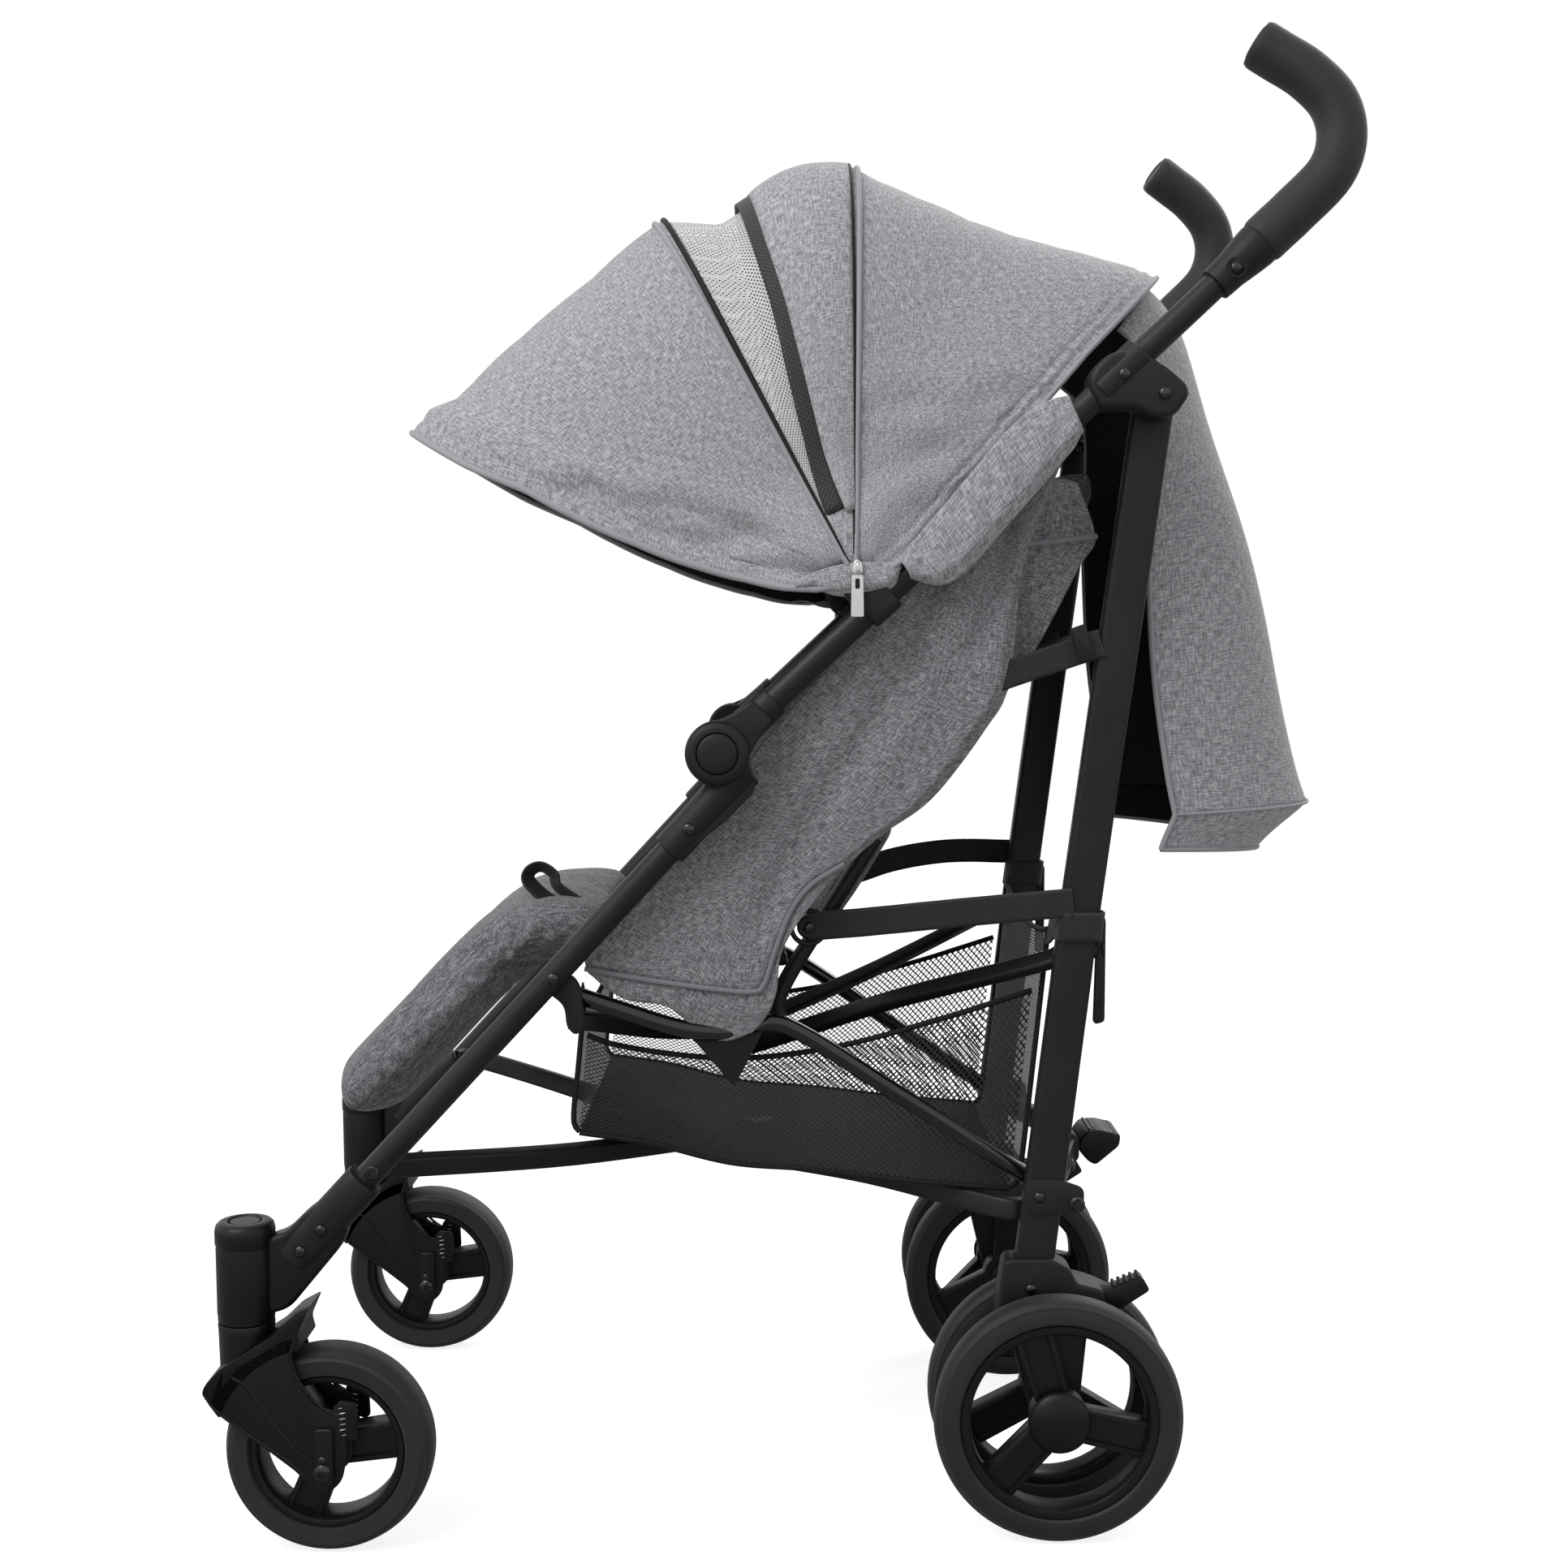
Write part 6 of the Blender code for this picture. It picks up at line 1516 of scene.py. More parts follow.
@dataclass
class Canopy:
    """The hood: one cloth in three fields over two bows, with piping, zip, net window and rear flap."""

    finishes: Finishes
    half_width: float = 0.1985
    roundness: float = 2 / 3.2
    front_angle: float = 160.3
    mid_angle: float = 117.5
    zip_angle: float = 90.0
    rear_angle: float = 45.0
    rear_keep: float = 0.55
    rear_hem_angle: float = 46.0
    cover_end: float = 90.4
    cloth: float = 0.0012
    piping: float = 0.0021
    profile: tuple[Flat, ...] = ((40.0, 0.336), (46.0, 0.333), (52.0, 0.319), (58.0, 0.309), (65.0, 0.301),
                                 (72.0, 0.298), (80.0, 0.303), (86.0, 0.311), (90.0, 0.3205), (96.0, 0.316),
                                 (104.0, 0.3075), (110.0, 0.299), (117.5, 0.3145), (130.0, 0.312),
                                 (142.7, 0.3205), (152.0, 0.333), (154.7, 0.3385), (157.2, 0.3535),
                                 (160.3, 0.3585))
    front_line: tuple[Flat, ...] = ((0.0, 205.0), (0.04, 188.7), (0.074, 179.8), (0.109, 175.2),
                                    (0.156, 170.5), (0.205, 167.0), (0.242, 164.6), (0.291, 163.3),
                                    (0.328, 161.8), (0.359, 160.6))
    rear_line: tuple[Flat, ...] = ((0.0, 5.0), (0.031, 20.9), (0.064, 33.0), (0.094, 38.4), (0.162, 42.6),
                                   (0.229, 44.3), (0.333, 45.0))
    net_line: tuple[Flat, ...] = ((0.0, 115.2), (0.053, 114.6), (0.072, 113.0), (0.108, 110.3),
                                  (0.149, 108.6), (0.186, 107.4), (0.214, 106.9), (0.35, 106.9))
    cover_line: tuple[Flat, ...] = ((0.0, 97.0), (0.05, 98.6), (0.06, 101.0), (0.072, 102.8), (0.093, 104.0),
                                    (0.205, 104.0), (0.254, 104.6), (0.35, 105.0))

    front_folds: tuple[tuple[Flat, ...], ...] = (
        ((-0.1473, 0.7657), (-0.1305, 0.7601), (-0.1192, 0.7523), (-0.0832, 0.7523), (-0.0607, 0.7456),
         (-0.0291, 0.7366), (-0.0111, 0.7288)),
        ((-0.0923, 0.7388), (-0.0743, 0.731), (-0.0517, 0.7265), (-0.0246, 0.7288)),
        ((-0.0111, 0.7097), (0.016, 0.7029), (0.0386, 0.7029)))
    rear_folds: tuple[tuple[Flat, ...], ...] = (
        ((0.0591, 0.8213), (0.0973, 0.8235), (0.1198, 0.819), (0.1422, 0.8279), (0.1646, 0.8301)),
        ((0.0614, 0.8013), (0.0884, 0.7946), (0.1154, 0.7968), (0.1378, 0.8079)),
        ((0.0593, 0.7767), (0.0795, 0.779), (0.1065, 0.7879)),
        ((0.0752, 0.7208), (0.0819, 0.7387), (0.1022, 0.7544)))

    def radius(self, angle: float) -> float:
        """How far the hood's top stands from the pivot at an angle in degrees."""
        return read_off(self.profile, angle)

    def reach(self, angle: float, turn: float) -> float:
        """How far the cloth is from the pivot's axis at an angle and a turn."""
        return self.radius(angle) * max(0.0, math.sin(turn)) ** self.roundness

    def point(self, angle: float, turn: float, lift: float = 0.0, half_width: float | None = None) -> Vector:
        """A point of the hood.

        Args:
            angle: Its field angle in degrees, from the back over the top to the front.
            turn: From one foot (0) over the top to the other (pi).
            lift: How far outside the cloth.
            half_width: Half the hood's width, where it differs.

        Returns:
            The point.
        """
        wide = (self.half_width if half_width is None else half_width) + lift
        cos, sin = math.cos(turn), max(0.0, math.sin(turn))
        reach = (self.radius(angle) + lift) * sin ** self.roundness
        x = wide * math.copysign(abs(cos) ** self.roundness, cos)
        x += math.copysign(0.015 * (1 - ease(reach, 0.02, 0.095)), cos) if reach < 0.095 else 0.0
        a = math.radians(angle)
        return Vector((x, CANOPY_PIVOT[0] + reach * math.cos(a), CANOPY_PIVOT[1] + reach * math.sin(a)))

    def turns(self, share: float, foot: float = 0.012) -> float:
        """The turn for a share across the hood, evened out over the cloth's length."""
        low = math.asin(min(1.0, (foot / 0.33) ** (1 / self.roundness)))
        eased = 0.5 - 0.5 * math.cos(math.pi * share) * 0.55 + 0.45 * (share - 0.5)
        return low + (math.pi - 2 * low) * max(0.0, min(1.0, eased))

    def gather(self, piece: Object, angle: float, keep: float = 0.12) -> None:
        """Gives a piece its own copy of its mesh."""
        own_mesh(piece)

    def edge(self, line: Sequence[Flat], turn: float, near: float) -> float:
        """The angle of an edge that bends away from the bows towards the feet.

        Args:
            line: The edge's angle for some reaches.
            turn: The turn across the hood.
            near: The angle whose radius gives the reach.

        Returns:
            The angle in degrees.
        """
        return read_off(line, self.reach(near, turn))

    def hem_line(self, line: Sequence[Flat], near: float, lift: float) -> list[Vector]:
        """The points of a hem from foot to foot.

        Args:
            line: The hem's angle for some reaches.
            near: The angle whose radius gives the reach.
            lift: How far outside the cloth.

        Returns:
            The points.
        """
        turns = [self.turns(k / 120) for k in range(121)]
        return [self.point(self.edge(line, turn, near), turn, lift) for turn in turns]

    def front_panel(self) -> None:
        """The front field with its turned hem, black lining and the soft folds near its foot."""
        f = self.finishes
        folds = Folds([smooth(line, 6) for line in self.front_folds], 0.0042, 0.0085, 0.45, 0.016, 0.012)

        def place(u: float, v: float) -> Vector:
            """A point of the front field."""
            turn = self.turns(u)
            edge = self.edge(self.front_line, turn, self.front_angle)
            angle = self.mid_angle + (edge - self.mid_angle) * v
            reach = self.reach(angle, turn)
            belly = 0.0036 * math.sin(math.pi * v) * math.sin(turn)
            here = self.point(angle, turn)
            sunk = folds.depth(here) * ease(abs(here.x), 0.15, 0.185)
            rim = (edge - angle) * math.radians(1) * reach
            hem = 0.0011 * ridge(rim - 0.0125, 0.0026)
            wave = 0.0009 * math.sin(31 * here.y + 17 * here.z) * math.sin(math.pi * v)
            return self.point(angle, turn, -belly - sunk - hem + wave)

        piece = Piece("canopy_front_panel_dressed")
        piece.add(cloth_grid(150, 110, place, (0.92, 0.24)), f.hood)
        piece.finishes.append(f.lining)
        made = piece.done(sharp=60)
        thicken(made, self.cloth, inner=1)
        seat_on(made, "canopy_front", "canopy_front_panel")
        self.gather(made, self.front_angle)
        hem = Piece("canopy_front_hem")
        line = self.hem_line(self.front_line, self.front_angle, 0.0004)
        hem.add(tube(line, 0.0025, 14, across=(0, 0, 1)), f.hood)
        self.gather(seat_on(hem.done(), "canopy_front"), self.front_angle)

    def window(self) -> None:
        """The net window behind the middle bow, its black net edge and the rolled cover over its rear half."""
        f = self.finishes

        def net(u: float, v: float) -> Vector:
            """A point of the window."""
            turn = self.turns(u, 0.05)
            sag = 0.005 * math.sin(math.pi * min(1.0, v * 1.2)) * math.sin(turn)
            return self.point(self.mid_angle + (self.zip_angle - self.mid_angle) * v, turn, -sag - 0.0005)

        piece = Piece("canopy_mesh_window_dressed")
        piece.add(cloth_grid(140, 24, net, (0.9, 0.145)), f.pale_net, flip=True)
        made = piece.done(sharp=60)
        seat_on(made, "canopy_mid", "canopy_mesh_window")
        self.gather(made, self.mid_angle)

        def cover(u: float, v: float) -> Vector:
            """A point of the rolled cover."""
            turn = self.turns(u, 0.05)
            start = self.edge(self.cover_line, turn, self.mid_angle)
            angle = start + (self.cover_end - start) * v
            puff = 0.0024 + 0.0054 * max(0.0, math.sin(math.pi * v)) ** 0.8 * math.sin(turn) ** 0.5
            puff += 0.0009 * math.sin(17.0 * u + 3.0 * v) * math.sin(math.pi * v)
            return self.point(angle, turn, puff)

        def foot(side: float) -> Callable[[float, float], Vector]:
            """The cloth below the window on one side, down to the bows' feet."""
            def place(u: float, v: float) -> Vector:
                """A point of it."""
                low, high = self.turns(0.0), self.turns(0.0, 0.058)
                turn = low + (high - low) * u
                spot = self.point(self.mid_angle + (self.cover_end - self.mid_angle) * v, turn, 0.0008)
                return Vector((side * spot.x, spot.y, spot.z))
            return place

        roll = Piece("canopy_window_cover")
        roll.add(cloth_grid(140, 18, cover, (0.9, 0.06)), f.hood, flip=True)
        roll.add(cloth_grid(10, 14, foot(LEFT), (0.04, 0.03)), f.hood, flip=True)
        roll.add(cloth_grid(10, 14, foot(RIGHT), (0.04, 0.03)), f.hood)
        rolled = roll.done(sharp=60)
        thicken(rolled, 0.0016)
        seat_on(rolled, "canopy_mid")
        self.gather(rolled, self.mid_angle)

        def strip(u: float, v: float) -> Vector:
            """A point of the black net edge."""
            turn = self.turns(u, 0.053)
            fore = self.edge(self.net_line, turn, self.mid_angle)
            aft = self.edge(self.cover_line, turn, self.mid_angle) - 0.6
            return self.point(fore + (aft - fore) * v, turn, 0.0014 + 0.0006 * v)

        edge = Piece("canopy_window_edge")
        edge.add(cloth_grid(140, 5, strip, (0.9, 0.018)), f.dense_net, flip=True)
        edged = edge.done(sharp=60)
        thicken(edged, 0.0008)
        seat_on(edged, "canopy_mid")
        self.gather(edged, self.mid_angle)

    def rear_panel(self) -> None:
        """The rear field, drawn towards the pivots in soft folds, with its doubled hem."""
        f = self.finishes
        folds = Folds([smooth(line, 6) for line in self.rear_folds], 0.0022, 0.01, 0.5, 0.018, 0.014)

        def place(u: float, v: float) -> Vector:
            """A point of the rear field."""
            turn = self.turns(u)
            edge = self.edge(self.rear_line, turn, self.rear_hem_angle)
            angle = self.zip_angle + (edge - self.zip_angle) * v
            reach = self.reach(angle, turn)
            belly = 0.004 * math.sin(math.pi * v) * math.sin(turn)
            here = self.point(angle, turn)
            sunk = folds.depth(here) * ease(abs(here.x), 0.15, 0.185)
            rim = (angle - edge) * math.radians(1) * reach
            hem = 0.0011 * (ridge(rim - 0.005, 0.0022) + ridge(rim - 0.0125, 0.0022))
            wave = 0.001 * math.sin(27 * here.y - 33 * here.z) * math.sin(math.pi * v)
            return self.point(angle, turn, -belly - sunk - hem + wave)

        piece = Piece("canopy_rear_panel_dressed")
        piece.add(cloth_grid(150, 110, place, (0.92, 0.25)), f.hood, flip=True)
        piece.finishes.append(f.lining)
        made = piece.done(sharp=60)
        thicken(made, self.cloth, inner=1)
        seat_on(made, "handle_frame", "canopy_rear_panel")
        self.gather(made, self.rear_angle, self.rear_keep)
        hem = Piece("canopy_rear_hem")
        line = self.hem_line(self.rear_line, self.rear_hem_angle, 0.0006)
        hem.add(tube(line, 0.0019, 14, across=(0, 0, 1)), f.hood)
        seat_on(hem.done(), "handle_frame")

    def bows(self) -> None:
        """The two bent wires with their eyes, the piping beside them and the zip."""
        f = self.finishes
        for name, angle, half, body in (("canopy_bow_front", self.front_angle, 0.2, "canopy_front"),
                                        ("canopy_bow_mid", self.mid_angle, 0.192, "canopy_mid")):
            piece = Piece(f"{name}_dressed")
            turns = [0.0006 + (math.pi - 0.0012) * (0.5 - 0.5 * math.cos(math.pi * k / 96))
                     for k in range(97)]
            line = []
            for turn in turns:
                cos, sin = math.cos(turn), max(0.0, math.sin(turn))
                reach = (self.radius(angle) - 0.004) * sin ** self.roundness
                a = math.radians(angle)
                wide = half + (0.1865 - half) * ease(reach, 0.03, 0.06)
                line.append(Vector((wide * math.copysign(abs(cos) ** self.roundness, cos),
                                    CANOPY_PIVOT[0] + reach * math.cos(a),
                                    CANOPY_PIVOT[1] + reach * math.sin(a))))
            piece.add(tube(line, 0.0026, 14, across=(0, 0, 1)), f.rivet)
            for side in (LEFT, RIGHT):
                piece.add(lathe([(0.0032, -0.003), (0.0078, -0.003), (0.0078, 0.003), (0.0032, 0.003),
                                 (0.0032, -0.003)], (side * half, *CANOPY_PIVOT), steps=32), f.nylon)
            seat_on(piece.done(), body, name)
        for name, angle, lift, radius, finish, body in (
                ("canopy_mid_piping", 118.5, 0.0008, self.piping, f.hood, "canopy_mid"),
                ("canopy_mid_binding", 117.2, 0.0006, 0.0021, f.binding, "canopy_mid"),
                ("canopy_zip_piping", 89.1, 0.0008, self.piping, f.hood, "handle_frame"),
                ("canopy_zip_teeth", 90.3, 0.0008, 0.0018, f.binding, "handle_frame")):
            piece = Piece(name)
            shares = [k / 150 for k in range(151)]
            line = [self.point(angle, self.turns(s), lift) for s in shares]
            piece.add(tube(line, radius, 14, across=(0, 1, 0)), finish)
            made = seat_on(piece.done(), body)
            if body == "handle_frame":
                self.gather(made, self.rear_angle, self.rear_keep)

    def zip_slider(self, side: float) -> None:
        """The zip's slider and its long bare puller, at the foot of the zip, with painted shade in the
        puller's slot.
        """
        f = self.finishes
        piece = Piece(f"zip_slider_{side_name(side)}")
        body = [(0.047, 0.704), (0.0475, 0.711), (0.051, 0.715), (0.0545, 0.711), (0.055, 0.704),
                (0.051, 0.702)]
        piece.add(plate(rounded(body, 0.003), 0.215, 0.219, 0.001), f.zinc)
        loop = [(0.219, 0.051, 0.7125), (0.2212, 0.051, 0.71), (0.2212, 0.051, 0.705), (0.219, 0.051, 0.703)]
        piece.add(tube(loop, 0.0009, 10, 4, (0, 1, 0)), f.zinc)
        tab = plate(rounded([(0.047, 0.703), (0.055, 0.703), (0.0555, 0.674), (0.0465, 0.674)], 0.0012),
                    0.2196, 0.221, 0.0003, 1)
        piece.add(tab, f.zinc)
        # Painted shade: a black plate fills the puller's slot so that the opening shows dark
        slot = plate(rounded([(0.0494, 0.7005), (0.0526, 0.7005), (0.0526, 0.6935), (0.0494, 0.6935)], 0.001),
                     0.2192, 0.2214, 0.0001, 1)
        piece.add(slot, f.binding)
        seat_on(piece.done(side), "handle_frame")

    def side_flap(self, side: float) -> None:
        """The cloth flap that wraps the handle tube under the hood."""
        f = self.finishes
        top = smooth([(0.08, 0.715), (0.118, 0.759), (0.16, 0.808), (0.196, 0.83)], 8)
        low = smooth([(0.09, 0.7), (0.12, 0.701), (0.164, 0.748), (0.2085, 0.8)], 8)

        def place(u: float, v: float) -> Vector:
            """A point of the flap: it leans on the tube's outer side and turns under it."""
            end = min(u, 1 - u)
            shrink = 1 - 0.2 * (1 - ease(end, 0.0, 0.1)) ** 2
            a, b = along_line(top, u), along_line(low, u)
            here = a.lerp(b, 0.5 + (v - 0.5) * shrink)
            x = 0.2118 + 0.0024 * math.sin(math.pi * v) - 0.006 * ease(v, 0.8, 1.0)
            x -= 0.0016 * ridge(v - 0.86, 0.03)
            x += 0.0007 * math.sin(30 * u + 5 * v) * math.sin(math.pi * v)
            return Vector((x, here.x, here.y))

        piece = Piece(f"canopy_side_flap_{side_name(side)}")
        piece.add(cloth_grid(70, 22, place, (0.17, 0.045)), f.hood)
        made = piece.done(side, sharp=60)
        thicken(made, 0.0018)
        seat_on(made, "handle_frame")

    def foot(self, side: float) -> None:
        """The rounded cloth foot that covers the pivot."""
        top = smooth([(0.008, 0.699), (0.03, 0.708), (0.051, 0.712), (0.068, 0.7115), (0.08, 0.71)], 8)
        low = smooth([(0.008, 0.6948), (0.0192, 0.695), (0.0362, 0.6896), (0.0532, 0.6888), (0.0747, 0.6945),
                      (0.082, 0.71)], 8)

        def place(u: float, v: float) -> Vector:
            """A point of the foot."""
            here = along_line(top, u).lerp(along_line(low, u), v)
            round_off = 0.0055 * ease(v, 0.7, 1.0) + 0.004 * ease(u, 0.86, 1.0)
            round_off += 0.0018 * (1 - ease(u, 0.0, 0.1))
            x = 0.214 + 0.0012 * math.sin(math.pi * v) - round_off - 0.0008 * ridge(v - 0.8, 0.05)
            return Vector((x, here.x, here.y))

        piece = Piece(f"canopy_foot_{side_name(side)}")
        piece.add(cloth_grid(44, 24, place, (0.08, 0.035)), self.finishes.hood)
        made = piece.done(side, sharp=60)
        thicken(made, 0.0014)
        seat_on(made, "handle_frame")

    def give_way(self, piece: Object) -> None:
        """Gives a piece its own copy of its mesh."""
        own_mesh(piece)

    def rear_flap(self) -> None:
        """The long flap behind the legs: open at the sides, lined black, with a boxed lower corner."""
        f = self.finishes
        middle = smooth([(0.279, 0.933), (0.295, 0.917), (0.312, 0.89), (0.335, 0.827), (0.359, 0.756),
                         (0.38, 0.68), (0.392, 0.63), (0.408, 0.56), (0.4165, 0.532)], 8)
        edge = smooth([(0.242, 0.883), (0.26, 0.864), (0.265, 0.825), (0.262, 0.76), (0.264, 0.69),
                       (0.269, 0.63), (0.28, 0.565), (0.288, 0.53)], 8)
        half = 0.15

        def place(u: float, v: float) -> Vector:
            """A point of the flap."""
            across = 2 * u - 1
            back, fore = along_line(middle, v), along_line(edge, v)
            bow = 1 - abs(across) ** 2.6
            x = half * math.copysign(abs(across) ** 0.86, across)
            here = fore.lerp(back, bow)
            crease = 0.003 * math.sin(2.2 * math.pi * u + 1.1) * math.sin(math.pi * v)
            crease += 0.0026 * math.sin(9.0 * v + 4.0 * u) * math.sin(math.pi * v) * (1 - abs(across) ** 4)
            return Vector((x, here.x + crease, here.y))

        def under(u: float, v: float) -> Vector:
            """A point of the boxed bottom, which turns forward from the flap's lower edge."""
            start = place(u, 1.0)
            across = 2 * u - 1
            forward = 0.03 * (1 - abs(across) ** 2.2) + 0.01
            droop = 0.026 + 0.01 * (1 - abs(across) ** 2)
            return start + Vector((0.0, -forward * v * (1.4 - 0.4 * v), -droop * v ** 0.8))

        piece = Piece("canopy_rear_flap_dressed")
        piece.add(cloth_grid(90, 110, place, (0.42, 0.42)), f.hood)
        piece.add(cloth_grid(90, 14, under, (0.42, 0.04)), f.hood)
        piece.finishes.append(f.lining)
        made = piece.done(sharp=50)
        thicken(made, 0.0014, inner=1)
        seat_on(made, "handle_frame", "canopy_rear_flap")
        self.give_way(made)
        rim = Piece("canopy_rear_flap_binding")
        for side in (0.0, 1.0):
            line = [place(side, k / 70) for k in range(71)] + [under(side, k / 10) for k in range(1, 11)]
            rim.add(tube(line, 0.002, 12, across=(1, 0, 0)), f.hood)
        seam = [place(k / 80, 1.0) + Vector((0, 0.0006, 0)) for k in range(81)]
        rim.add(tube(seam, 0.0013, 10, across=(0, 0, 1)), f.hood)
        low = [under(k / 80, 1.0) for k in range(81)]
        rim.add(tube(low, 0.0018, 10, across=(0, 0, 1)), f.hood)
        self.give_way(seat_on(rim.done(), "handle_frame"))

    def build(self) -> None:
        """Makes the hood."""
        self.bows()
        self.front_panel()
        self.window()
        self.rear_panel()
        self.rear_flap()
        for side in (LEFT, RIGHT):
            self.zip_slider(side)
            self.side_flap(side)
            self.foot(side)


# Soft goods of the seat

def patch(bottom: Sequence[Vector], top: Sequence[Vector], left: Sequence[Vector],
          right: Sequence[Vector]) -> Callable[[float, float], Vector]:
    """A soft face between four side view lines.

    Args:
        bottom: From the left line's start to the right line's start.
        top: From the left line's end to the right line's end.
        left: From bottom to top.
        right: From bottom to top.

    Returns:
        The point for a share across and a share along.
    """
    def point(u: float, v: float) -> Vector:
        """A point of the face."""
        low, high = along_line(bottom, u), along_line(top, u)
        a, b = along_line(left, v), along_line(right, v)
        corners = (bottom[0] * (1 - u) + bottom[-1] * u) * (1 - v) + (top[0] * (1 - u) + top[-1] * u) * v
        return low * (1 - v) + high * v + a * (1 - u) + b * u - corners

    return point


def distance_to(line: Sequence[Vector], point: Vector) -> float:
    """How far a point is from a line, negative on its right.

    Args:
        line: The line's points in the side view.
        point: The point.

    Returns:
        The distance with its sign.
    """
    best, sign = 1.0, 1.0
    for a, b in pairwise(line):
        way = b - a
        t = max(0.0, min(1.0, (point - a).dot(way) / max(way.length_squared, 1e-12)))
        off = point - (a + way * t)
        if off.length < best:
            best = off.length
            sign = 1.0 if way.x * off.y - way.y * off.x > 0 else -1.0
    return sign * best


@dataclass
class SeatSides:
    """The two cloth sides of the seat, with their folds, piping, tail and rear wing."""

    finishes: Finishes
    cloth: float = 0.0016
    outer_x: float = 0.185
    depth: float = 0.0042

    def panel(self, side: float) -> None:
        """One side: a single sheet from under the seat to below the hood."""
        f = self.finishes
        left = smooth([(-0.143, 0.42), (-0.143, 0.436), (-0.123, 0.459), (-0.068, 0.515), (-0.015, 0.585),
                       (0.083, 0.693), (0.18, 0.785)])
        top = smooth([(0.18, 0.785), (0.195, 0.799), (0.206, 0.806)])
        bottom = smooth([(-0.143, 0.42), (-0.1268, 0.4054), (-0.1107, 0.3974), (-0.0854, 0.3935),
                         (-0.0671, 0.379), (-0.0579, 0.371), (-0.0418, 0.3672), (-0.0234, 0.3733)])
        right = smooth([(-0.0234, 0.3733), (-0.012, 0.3871), (-0.0051, 0.4054), (0.0, 0.4376), (0.029, 0.479),
                        (0.067, 0.515), (0.107, 0.544), (0.145, 0.594), (0.162, 0.628), (0.171, 0.709),
                        (0.19, 0.764), (0.206, 0.806)])
        face = patch(bottom, top, left, right)
        long_fold = smooth([(0.105, 0.725), (0.1027, 0.6941), (0.088, 0.6429), (0.0546, 0.582),
                            (0.0279, 0.543), (-0.0023, 0.4886), (-0.0181, 0.4474)])
        short_fold = smooth([(0.16, 0.745), (0.1523, 0.7091), (0.1439, 0.6688), (0.1354, 0.6515)])
        seam = smooth([(-0.144, 0.4215), (-0.1089, 0.415), (-0.0621, 0.408), (-0.024, 0.4045),
                       (-0.014, 0.411), (-0.0062, 0.435), (0.0053, 0.464), (0.0198, 0.4827),
                       (0.0432, 0.4974)])

        def place(u: float, v: float) -> Vector:
            """A point of the side."""
            here = face(u, v)
            fade = ease(v, 0.1, 0.22) * (1 - ease(v, 0.9, 1.0))
            far = distance_to(long_fold, here)
            x = self.outer_x - self.depth * ridge(far, 0.011) * fade
            x += 0.4 * self.depth * (ridge(far - 0.022, 0.013) + ridge(far + 0.024, 0.016)) * fade
            near = distance_to(short_fold, here)
            x -= self.depth * ridge(near, 0.008) * ease(v, 0.55, 0.66)
            x += 0.0012 * math.sin(46 * here.x + 21 * here.y) * fade
            x -= 0.007 * ease(u, 0.9, 1.0) * ease(v, 0.2, 0.4)
            below = distance_to(seam, here)
            x -= 0.0018 * ridge(below, 0.0022)
            x -= 0.006 * ease(-below, 0.006, 0.04) * (1 - ease(v, 0.2, 0.3))
            return Vector((min(x, 0.1888), here.x, here.y))

        piece = Piece(f"side_panel_{side_name(side)}_dressed")
        piece.add(cloth_grid(90, 190, place, (0.17, 0.55)), f.seat)
        made = piece.done(side, sharp=60)
        thicken(made, self.cloth)
        seat_on(made, "front_frame", f"side_panel_{side_name(side)}")
        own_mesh(made)
        trim = Piece(f"side_piping_{side_name(side)}")
        line = [Vector((self.outer_x + 0.0012, p.x, p.y)) for p in seam]
        trim.add(tube(line, 0.0019, 12, across=(1, 0, 0)), f.seat)
        seat_on(trim.done(side), "front_frame")

    def wing(self, side: float) -> None:
        """The backrest's wing behind the side, with the hem of its pocket."""
        f = self.finishes
        left = smooth([(0.133, 0.615), (0.147, 0.6515), (0.1521, 0.6749), (0.1606, 0.7099), (0.1691, 0.739),
                       (0.182, 0.77)])
        right = smooth([(0.145, 0.594), (0.164, 0.622), (0.184, 0.6521), (0.2141, 0.7101), (0.2262, 0.7324),
                        (0.213, 0.772)])
        face = patch([left[0], right[0]], smooth([tuple(left[-1]), (0.198, 0.775), tuple(right[-1])]), left,
                     right)

        def place(u: float, v: float) -> Vector:
            """A point of the wing."""
            here = face(u, v)
            x = 0.176 - 0.02 * u - 0.005 * math.sin(math.pi * u) + 0.0016 * math.sin(9 * v + 3 * u)
            x += 0.0022 * ridge(here.y - 0.729, 0.0035) * ease(u, 0.1, 0.3)
            x -= 0.0035 * ridge(u - 0.42 + 0.2 * v, 0.09) * ease(v, 0.15, 0.4)
            return Vector((x, here.x, here.y))

        piece = Piece(f"seat_wing_{side_name(side)}")
        piece.add(cloth_grid(40, 60, place, (0.06, 0.19)), f.seat)
        made = piece.done(side, sharp=60)
        thicken(made, self.cloth)
        seat_on(made, "backrest")
        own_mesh(made)
        hem = Piece(f"wing_pocket_hem_{side_name(side)}")
        line = smooth([(0.176, 0.1669, 0.7262), (0.17, 0.1962, 0.7291), (0.159, 0.2262, 0.7329)], 8)
        hem.add(tube(line, 0.0022, 12, across=(0, 0, 1)), f.seat)
        seat_on(hem.done(side), "backrest")

    def tab(self, side: float) -> None:
        """The black nylon corner that ties the side's tail to the basket."""
        piece = Piece(f"nylon_corner_{side_name(side)}")
        outline = rounded([(-0.068, 0.37), (-0.0363, 0.333), (-0.015, 0.374)], 0.003)
        piece.add(plate(outline, 0.1765, 0.1779, 0.0004, 1), self.finishes.lining)
        seat_on(piece.done(side), "front_frame")

    def build(self) -> None:
        """Makes both sides."""
        for side in (LEFT, RIGHT):
            self.panel(side)
            self.wing(side)
            self.tab(side)


